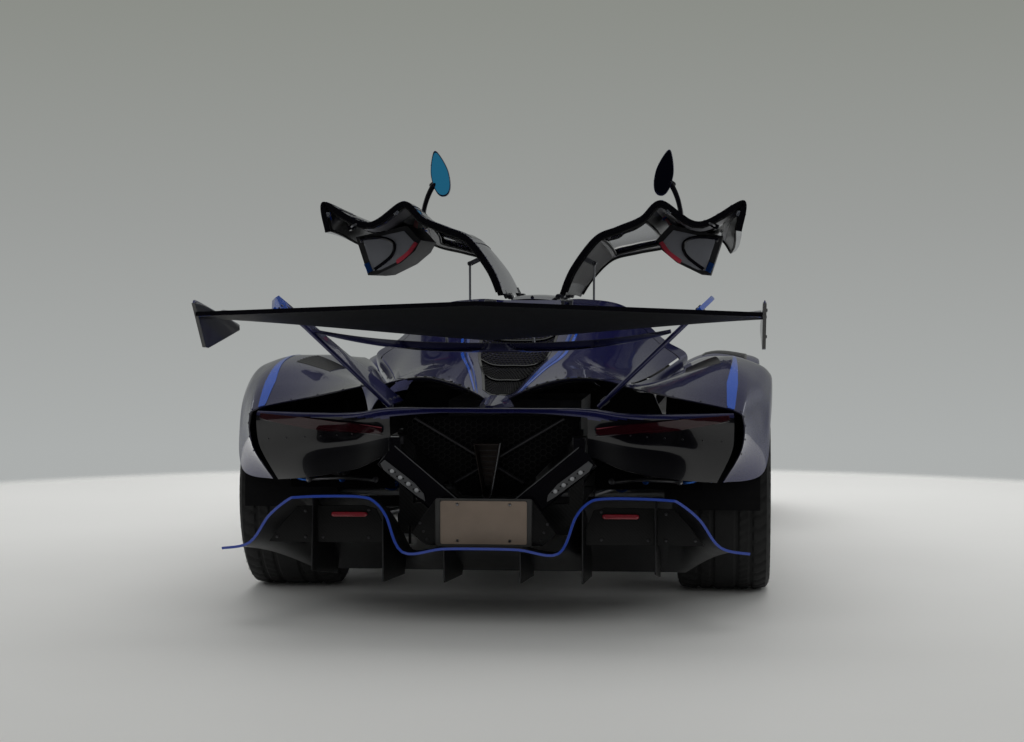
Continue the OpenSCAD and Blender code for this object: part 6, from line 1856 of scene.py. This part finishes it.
def mirror(side, body, warp):
    """Mirror on the door: stalk, shell, frame and glass."""
    b = Piece("mirror_%s" % side, body, "paint")
    at = np.array(MIRROR)
    foot = DOOR.at(1, 5)[0] - 0.011 * DOOR.normal(1, 5)[0]
    knee = (foot + at) / 2 + np.array([0.014, 0, -0.016])
    path = smooth([foot, (foot + knee) / 2 + [0.004, 0, -0.005], knee,
                   (knee + at) / 2 + [0.002, 0, -0.002], at - [0.02, 0, 0.012]], 30)
    b.add(*tube(path, np.interp(lin(0, 1, 30), [0, .12, .3, .8, 1],
                                [.013, .0095, .0078, .0085, .012]), 18, flat=1.5), "gloss_black",
          warp=warp)
    n0 = DOOR.normal(1, 5)[0]
    b.add(*placed(disc(0.023, 0.005, 28, 0.001), DOOR.at(1, 5)[0] - 0.0005 * n0, n0), "gloss_black",
          warp=warp)
    w, h = MIRROR_HALF
    th = np.linspace(0, -2 * np.pi, MIRROR_N, endpoint=False)

    def ring(y, k, e=2.6):
        c, s = np.cos(th), np.sin(th)
        d = (np.abs(c) ** e + np.abs(s) ** e) ** (-1 / e)
        px, pz = w * k * c * d, h * k * s * d * (1 - 0.42 * np.clip(c * d, 0, 1) ** 1.3 - 0.10 * c)
        ct, st = math.cos(MIRROR_TILT), math.sin(MIRROR_TILT)
        return np.stack([at[0] + px * ct - pz * st, np.full(MIRROR_N, at[1] + y),
                         at[2] + px * st + pz * ct], -1)
    rows = [ring(-.0215, .955, 2.3), ring(-.0195, .985, 2.3), ring(-.012, .995, 2.3),
            ring(0, .99, 2.3), ring(.010, .96, 2.3), ring(.020, .88, 2.2), ring(.029, .74, 2.1),
            ring(.036, .56, 2.0), ring(.0405, .36, 2.0), ring(.0425, .12, 2.0)]
    lipr = [ring(-.0125, .80, 2.3), ring(-.0130, .90, 2.3), ring(-.0195, .925, 2.3)]
    v, f = loft(lipr + rows)
    b.add(v, f[1:], "paint", warp=warp)
    b.add(*loft([ring(-.0216, .957, 2.3), ring(-.0222, .94, 2.3), ring(-.0205, .918, 2.3),
                 ring(-.0140, .912, 2.3)], True, False), "gloss_black", warp=warp)
    for k in range(8):
        q = ring(-.0210, .965, 2.3)[(k * 7 + 3) % MIRROR_N]
        b.add(*placed(disc(.0022, .0012, 8, .0005), q, (0, -1, 0)), "steel", warp=warp)
    b.add(*placed(disc(0.013, 0.020, 24, 0.006), at + np.array([-0.028, 0.004, -0.046]),
                  (-0.24, 0.0, -0.97)), "gloss_black", warp=warp)
    b.done(0.0006, angle=42)
    b = Piece("mirror_glass_%s" % side, body, "glass")
    c = ring(-.0150, .915, 2.3)
    rows = [at + (c - at) * np.array([k, 1, k]) + [0, 0.0022 * (k * k - 1), 0]
            for k in (1, .8, .6, .4, .2)]
    v = np.vstack(rows + [np.array([[at[0], at[1] - .0150 - .0022, at[2]]])])
    m = MIRROR_N
    f = [[i * m + k, i * m + (k + 1) % m, (i + 1) * m + (k + 1) % m, (i + 1) * m + k]
         for i in range(4) for k in range(m)]
    f += [[4 * m + k, 4 * m + (k + 1) % m, 5 * m] for k in range(m)]
    # the left glass carries the painted glow; the right one has none
    b.add(v, f, "mirror" if side == "left" else "mirror_blue", warp=warp)
    b.done()


for side, turned in (("right", opened), ("left", opened_left)):
    for make in (door_shell, door_outer_trim, door_inner_panel, door_card, door_pane, mirror):
        make(side, "door_%s_body" % side, turned)

# ---- cabin ---------------------------------------------------------------------------------------
SEAT_X, SEAT_HALF, SEAT_ROWS = 0.268, 0.171, 70
SEAT_LINE = smooth([(0.336, 0.222), (0.20, 0.205), (0.05, 0.190), (-0.08, 0.187), (-0.185, 0.235),
                    (-0.245, 0.36), (-0.290, 0.52), (-0.322, 0.68), (-0.335, 0.79),
                    (-0.330, 0.852)], SEAT_ROWS)


def seat_section(k):
    """Bucket section at a place along the seat's line: points over (x, y, z)."""
    last = SEAT_ROWS - 1
    t = k / last
    p = SEAT_LINE[k]
    d = SEAT_LINE[min(k + 1, last)] - SEAT_LINE[max(k - 1, 0)]
    d /= np.linalg.norm(d)
    n = np.array([d[1], -d[0]])
    if n @ np.array([0.35, 1.0]) < 0:
        n = -n
    rise = 0.055 + 0.055 * math.exp(-((t - .62) / .16) ** 2)
    rise += 0.035 * math.exp(-((t - .2) / .15) ** 2)
    rise *= min(1, 8 * t + .25) * (1 if t < .84 else max(.12, (1 - t) / .16))
    half = SEAT_HALF * (1 if t < .72 else 1 - 0.42 * ((t - .72) / .28) ** 1.4)
    return p, n, rise, half, t


def seat_lift(rise, a):
    """How far the bucket's edge stands up at a place across it."""
    return rise * max(0, (abs(a) - .52) / .48) ** 1.7


def seat_shell(side, s):
    b = Piece("seat_shell_%s" % side, "chassis", "carbon", ["seats"])
    rows = []
    for k in range(SEAT_ROWS):
        p, n, rise, half, t = seat_section(k)
        row = []
        for a in lin(-1, 1, 29):
            lift = seat_lift(rise, a) - 0.012
            q = p + n * lift
            row.append([s * SEAT_X + half * a, q[0], q[1]])
        rows.append(row)
    P = np.array(rows)
    b.add(*sheet(P, 0.006)[:2], "carbon")
    for a in (0, 28):
        b.add(*tube(P[:, a], 0.0055, 10), "gloss_black")
    for x in (-0.12, 0.12):
        b.add(*box((s * SEAT_X + x - .015, -0.20, 0.1254), (s * SEAT_X + x + .015, 0.30, 0.150)),
              "alloy")
        b.add(*box((s * SEAT_X + x - .004, -0.12, 0.149), (s * SEAT_X + x + .004, 0.24, 0.185)),
              "alloy")
    for x in (-0.055, 0.055):
        k = 58
        p, n, rise, half, t = seat_section(k)
        q = np.array([s * SEAT_X + x, p[0] + n[0] * -.005, p[1] + n[1] * -.005])
        b.add(*placed(disc(0.024, 0.006, 24, 0.001), q, (0, n[0], n[1])), "anodised_blue")
    b.done(0.001)


# name, first and last place along the seat, edges across it, thickness, sewn channels
SEAT_PADS = (("squab", 4, 26, -.52, .52, .050, 3),
             ("back", 30, 52, -.50, .50, .042, 4),
             ("head_pad", 58, 68, -.62, .62, .040, 0),
             ("thigh_bolster_inner", 4, 24, .58, .98, .026, 0),
             ("thigh_bolster_outer", 4, 24, -.98, -.58, .026, 0),
             ("side_bolster_inner", 30, 54, .56, .98, .030, 0),
             ("side_bolster_outer", 30, 54, -.98, -.56, .030, 0))


def seat_pad(side, s, name, k0, k1, a0, a1, thick, chan):
    """A padded part: a crowned cover over a patch of the bucket, with a piped seam."""
    b = Piece("seat_%s_%s" % (name, side), "chassis", "seat_fabric")
    nk, na = 34, 30
    top, low = [], []
    for i, kk in enumerate(lin(k0, k1, nk)):
        k = int(kk)
        fr = kk - k
        p, n, rise, half = (here + (after - here) * fr for here, after in
                            zip(seat_section(k)[:4], seat_section(min(k + 1, SEAT_ROWS - 1))[:4]))
        n = n / np.linalg.norm(n)
        u = 2 * i / (nk - 1) - 1
        tr, lr = [], []
        for j in range(na):
            w = 2 * j / (na - 1) - 1
            a = (a0 + a1) / 2 + (a1 - a0) / 2 * w * (1 - 0.04 * (1 - u * u))
            crown = max((1 - abs(u) ** 4.5) * (1 - abs(w) ** 4.5), 0) ** 0.42
            seam = 1.0
            if chan:
                tuck = 0.5 + 0.5 * math.cos(2 * math.pi * (u + 1) / 2 * (chan + 3))
                seam = 1 - 0.20 * tuck ** 8
            lift = seat_lift(rise, a) - 0.0115
            q0 = p + n * lift
            q1 = q0 + n * (thick * crown * seam)
            x = s * SEAT_X + half * a
            tr.append([x, q1[0], q1[1]])
            lr.append([x, q0[0], q0[1]])
        top.append(tr)
        low.append(lr)
    T, Lo = np.array(top), np.array(low)
    v = np.vstack([T.reshape(-1, 3), Lo.reshape(-1, 3)])
    c = nk * na
    f = grid_faces(nk, na)
    g = [[q + c for q in face[::-1]] for face in f]
    rim = []
    for i in range(nk - 1):
        rim += [[i * na, i * na + c, (i + 1) * na + c, (i + 1) * na],
                [i * na + na - 1, (i + 1) * na + na - 1, (i + 1) * na + na - 1 + c,
                 i * na + na - 1 + c]]
    for j in range(na - 1):
        rim += [[j, j + 1, j + 1 + c, j + c],
                [(nk - 1) * na + j, (nk - 1) * na + j + c, (nk - 1) * na + j + 1 + c,
                 (nk - 1) * na + j + 1]]
    mat = "suede" if "bolster" in name or name == "head_pad" else "suede_grey"
    b.add(v, f + g + rim, mat)
    # piped seam round the pad and stitches across it
    edge = list(T[:, 1]) + list(T[-2, 1:-1]) + list(T[::-1, -2]) + list(T[1, -2:0:-1])
    b.add(*tube(smooth(np.array(edge)[::3], 150, True), 0.0016, 6, caps=False), "thread")
    ob = b.done()


for side, s in (("right", 1), ("left", -1)):
    seat_shell(side, s)
    for pad in SEAT_PADS:
        seat_pad(side, s, *pad)


# dashboard with its screen, vents and switches
b = Piece("dashboard_pad", "chassis", "dash", ["dashboard"])
prof = smooth([(0.662, 0.522), (0.640, 0.560), (0.634, 0.610), (0.645, 0.650), (0.70, 0.690),
               (0.85, 0.6905), (1.055, 0.690), (1.058, 0.610), (0.90, 0.545), (0.762, 0.502)], 60,
              True)
rows = []
for x in lin(-0.477, 0.477, 61):
    hood = math.cos((x + .268) / .14 * math.pi / 2) ** 2 if abs(x + 0.268) < 0.14 else 0
    bow = 0.020 * (x / 0.477) ** 2 + 0.012 * hood
    rows.append([[x, p[0] + (0.020 - bow if p[0] < 0.72 else 0) * 0.6,
                  p[1] + (bow * .6 - .012 if p[1] > 0.6 else 0)] for p in prof])
b.add(*loft([r[::-1] for r in rows]), "suede")
b.add(*box((-0.37, 0.633, 0.575), (-0.17, 0.652, 0.655)), "gloss_black")
b.add(*box((-0.362, 0.6315, 0.582), (-0.178, 0.634, 0.648)), "screen")
for x in (-0.43, -0.10, 0.10, 0.43):
    v, f = lathe([(.020, .000), (.034, .000), (.036, .006), (.034, .014), (.020, .012)],
                 (x, 0.640, 0.62), 1, 30, True)
    v[:, 1] = 0.644 - (v[:, 1] - v[:, 1].min())
    b.add(v, [q[::-1] for q in f], "gloss_black")
    for z in (-.012, 0, .012):
        b.add(*box((x - .024, 0.632, 0.62 + z - .0015), (x + .024, 0.650, 0.62 + z + .0015)),
              "plastic")
b.add(*box((-0.085, 0.36, 0.320), (0.085, 0.66, 0.345)), "carbon")
b.add(*box((-0.075, 0.40, 0.344), (0.075, 0.64, 0.352)), "suede")
for i in range(3):
    for j in range(4):
        b.add(*placed(disc(0.010, 0.010, 18, 0.002), (-0.045 + 0.045 * i, 0.44 + 0.05 * j, 0.352),
                      (0, 0, 1)), "anodised_red" if (i, j) == (1, 3) else "plastic")
ca, sa = math.cos(math.radians(68)), math.sin(math.radians(68))
COL = np.array([-SEAT_X, 0.655, 0.550])
axis = np.array([0, -sa, ca])
b.add(*tube([COL + axis * t for t in (0.0, 0.05, 0.1, 0.150)], 0.024, 28), "gloss_black")
for x0, x1 in ((-0.516, -0.440), (0.440, 0.516)):
    b.add(*box((x0, 0.700, 0.4604), (x1, 0.790, 0.540)), "carbon_tub")
b.done(0.0016)

b = Piece("steering_wheel_rim", "chassis", "wheel_leather", ["steering_wheel"])
O = COL + axis * (0.150 + 0.0003 + 0.011)
right, up = np.array([1.0, 0, 0]), np.cross(axis, [1.0, 0, 0])
loop = []
for a in turn(72):
    loop.append(O + 0.150 * math.cos(a) * right + 0.150 * max(math.sin(a), -0.78) * up)
loop = np.array(loop)
b.add(*tube(np.vstack([loop, loop[:1]]), 0.0135, 16, caps=False), "leather")
for k in (6, 30):
    b.add(*tube([loop[(k + d) % 72] for d in range(-3, 4)], 0.0142, 16), "suede")
for sx, sy in ((1, 0.0), (-1, 0.0), (0, -1)):
    d = right * sx + up * sy
    w_ = np.cross(axis, d)
    p0, p1 = O + d * 0.035, O + d * (0.142 if sy == 0 else 0.115)
    ringA = [[p + w_ * a * (0.018 if k == 0 else 0.013) + axis * c for a,
              c in ((-1, -.006), (1, -.006), (1, .006), (-1, .006))] for k,
             p in enumerate((p0, (p0 + p1) / 2, p1))]
    b.add(*loft(ringA), "carbon")
b.add(*placed(disc(0.045, 0.022, 32, 0.002), O - axis * 0.011, axis), "carbon")
b.add(*placed(disc(0.022, 0.003, 28, 0.001), O + axis * 0.013, axis), "anodised_blue")
for sx in (-1, 1):
    for k in range(3):
        q = O + right * sx * (0.060 + 0.022 * k) + axis * 0.007
        b.add(*placed(disc(0.0065, 0.006, 16, 0.001), q, axis), "anodised_red" if k == 1
              else "plastic")
    b.add(*placed(disc(0.020, 0.004, 20), O + right * sx * 0.085 - axis * 0.024, axis), "alloy")
b.done(0.0010, angle=45)

# sills and pedals on the tub
b = Piece("sill_covers", "chassis", "carbon")
for s in (-1, 1):
    P = np.array([[[s * x, y, 0.4612 + 0.0035 * (1 - ((x - .526) / .034) ** 2)]
                   for x in lin(.494, .558, 8)] for y in lin(-0.47, 0.60, 40)])
    b.add(*sheet(P, 0.003, side=-s)[:2], "carbon")
    b.add(*box((min(s * .505, s * .547), -0.10, 0.4640), (max(s * .505, s * .547), 0.25, 0.4660)),
          "alloy")
for k, x in enumerate((-0.22, -0.30)):
    b.add(*box((x - .028, 1.02, 0.235), (x + .028, 1.032, 0.330)), "alloy")
    b.add(*box((x - .006, 1.03, 0.150), (x + .006, 1.042, 0.300)), "dark_steel")
    for z in range(4):
        b.add(*box((x - .024, 1.0175, 0.245 + .02 * z), (x + .024, 1.0205, 0.252 + .02 * z)),
              "rubber")
b.done(0.0012)

# ---- CAD pieces shown as they are ----------------------------------------------------------------
for node, mat in dict(tub="carbon_tub", arch_liners="liner", engine_block="cast",
                      suspension="alloy", knuckle_left="alloy", knuckle_right="alloy",
                      strut_tube_left="strut_black", strut_tube_right="strut_black",
                      strut_rod_left="chrome", strut_rod_right="chrome", jack_pads="alloy").items():
    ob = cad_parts[node]
    ob.data.materials.clear()
    ob.data.materials.append(MATS[mat])

# ---- camera, light and ground --------------------------------------------------------------------
LENS, EYE = 78.54, (0.8319, -9.84, 1.1393)
YAW, PITCH = 0.097, 0.0374       # turned to the left, and down, in radians
scene = bpy.context.scene
cam = bpy.data.cameras.new("camera")
cam.lens, cam.sensor_width = LENS, 36.0
cam.clip_start, cam.clip_end = 0.1, 200
eye = bpy.data.objects.new("camera", cam)
flat_look = Vector((-math.sin(YAW), math.cos(YAW), 0))
look = flat_look * math.cos(PITCH) - Vector((0, 0, 1)) * math.sin(PITCH)
up_ = Vector((0, 0, 1)) * math.cos(PITCH) + flat_look * math.sin(PITCH)
side_ = Vector((math.cos(YAW), math.sin(YAW), 0))
eye.matrix_world = Matrix([(side_[k], up_[k], -look[k], EYE[k]) for k in range(3)] + [(0, 0, 0, 1)])
scene.collection.objects.link(eye)
scene.camera = eye


def lamp(name, at, to, size, power, colour, size_y):
    """An area light; only the strips show in glossy paint."""
    d = bpy.data.lights.new(name, "AREA")
    d.shape = "RECTANGLE"
    d.size, d.size_y = size, size_y
    d.energy, d.color = power, colour
    o = bpy.data.objects.new(name, d)
    o.location = at
    o.rotation_euler = (Vector(to) - Vector(at)).to_track_quat("-Z", "Y").to_euler()
    scene.collection.objects.link(o)
    o.visible_glossy = name.startswith("strip")
    o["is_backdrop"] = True


lamp("key_overhead", (0.0, 2.4, 5.4), (0, 0.0, 0), 7.0, 260, (1.0, 0.99, 0.98), 7.0)
lamp("strip_left", (-5.6, 0.6, 2.8), (0, -0.4, 0.6), 6.0, 30, (0.95, 0.98, 1.0), 1.6)
lamp("strip_right", (5.6, 0.6, 2.8), (0, -0.4, 0.6), 6.0, 38, (0.95, 0.98, 1.0), 1.6)
lamp("rear_fill", (0.4, -8.0, 5.0), (0, -2.0, 0.4), 5.0, 14, (1.0, 1.0, 1.0), 2.0)
lamp("front_card", (0.0, 7.0, 4.2), (0, 1.0, 0.6), 6.0, 45, (0.97, 0.98, 1.0), 2.0)

world = bpy.data.worlds.new("studio")
scene.world = world
world.use_nodes = True
t = world.node_tree
t.nodes.clear()


def ramp(socket, stops):
    """Colours along a value."""
    n = t.nodes.new("ShaderNodeValToRGB")
    t.links.new(socket, n.inputs[0])
    e = n.color_ramp.elements
    while len(e) < len(stops):
        e.new(0.5)
    for k, (p, c) in enumerate(stops):
        e[k].position, e[k].color = p, (*c, 1)
    return n.outputs[0]


def calc(op, a, b):
    n = t.nodes.new("ShaderNodeMath")
    n.operation, n.use_clamp = op, True
    for k, x in enumerate((a, b)):
        if isinstance(x, (int, float)):
            n.inputs[k].default_value = x
        else:
            t.links.new(x, n.inputs[k])
    return n.outputs[0]


def blend(f, a, b):
    n = t.nodes.new("ShaderNodeMix")
    n.data_type = "RGBA"
    for k, x in ((0, f), (6, a), (7, b)):
        if isinstance(x, tuple):
            n.inputs[k].default_value = (*x, 1)
        elif isinstance(x, float):
            n.inputs[k].default_value = x
        else:
            t.links.new(x, n.inputs[k])
    return n.outputs[2]


sep = t.nodes.new("ShaderNodeSeparateXYZ")
t.links.new(t.nodes.new("ShaderNodeTexCoord").outputs["Generated"], sep.inputs[0])
rise = calc("MULTIPLY_ADD", sep.outputs[2], 0.5)
rise.node.inputs[2].default_value = 0.5
backdrop = ramp(rise, [(0.0, (0.44, 0.45, 0.44)), (0.465, (0.41, 0.425, 0.42)),
                       (0.515, (0.325, 0.335, 0.325)), (0.562, (0.260, 0.270, 0.247)),
                       (0.75, (0.26, 0.265, 0.25))])
behind = calc("MULTIPLY_ADD", sep.outputs[1], 0.9)
behind.node.inputs[2].default_value = 0.75
path = t.nodes.new("ShaderNodeLightPath")
dimmed = blend(0.35, backdrop, (0.02, 0.02, 0.03))
mirrored_room = blend(behind, (0.012, 0.012, 0.013), dimmed)
seen = blend(path.outputs["Is Glossy Ray"], backdrop, mirrored_room)
clear = calc("ADD", path.outputs["Is Camera Ray"], path.outputs["Is Glossy Ray"])
clear = calc("ADD", clear, path.outputs["Is Transmission Ray"])
bg = t.nodes.new("ShaderNodeBackground")
t.links.new(blend(clear, (0.42, 0.425, 0.42), seen), bg.inputs[0])
t.links.new(bg.outputs[0], t.nodes.new("ShaderNodeOutputWorld").inputs[0])

FLOOR_R, FLOOR_SIDES = 5, 96
me = bpy.data.meshes.new("ground")
me.from_pydata([(FLOOR_R * math.cos(a), FLOOR_R * math.sin(a), 0)
                for a in np.arange(FLOOR_SIDES) * 2 * math.pi / FLOOR_SIDES], [],
               [tuple(range(FLOOR_SIDES))])
ground = bpy.data.objects.new("ground", me)
k = Tree("studio_floor")
n1, n2 = k.noise(0.7, 3), k.noise(60, 4)
k.put(k.b.inputs["Base Color"], k.colour(n1, (0.74, 0.74, 0.725), (0.80, 0.80, 0.785)))
k.put(k.b.inputs["Roughness"], k.mix(n2, 0.42, 0.56))
k.b.inputs["Specular IOR Level"].default_value = 0.35
g = k.new("ShaderNodeVectorMath", operation="LENGTH")
k.put(g.inputs[0], k.co)
fade = k.new("ShaderNodeMapRange", interpolation_type="SMOOTHSTEP")
k.put(fade.inputs[0], g.outputs["Value"])
fade.inputs[1].default_value, fade.inputs[2].default_value = 0.91 * FLOOR_R, 0.998 * FLOOR_R
m = k.new("ShaderNodeMixShader")
k.put(m.inputs[0], fade.outputs[0])
k.put(m.inputs[1], k.b.outputs[0])
k.put(m.inputs[2], k.new("ShaderNodeBsdfTransparent").outputs[0])
k.put(k.out.inputs[0], m.outputs[0])
me.materials.append(k.m)
ground.location = (0, -0.5, -0.0006)
scene.collection.objects.link(ground)
ground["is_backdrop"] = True
scene.view_settings.view_transform = "Standard"

# ---- the boxes of the CAD and of this model ------------------------------------------------------
lo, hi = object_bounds()
{"cad": [list(cad_lo), list(cad_hi)], "visual": [list(lo), list(hi)]}
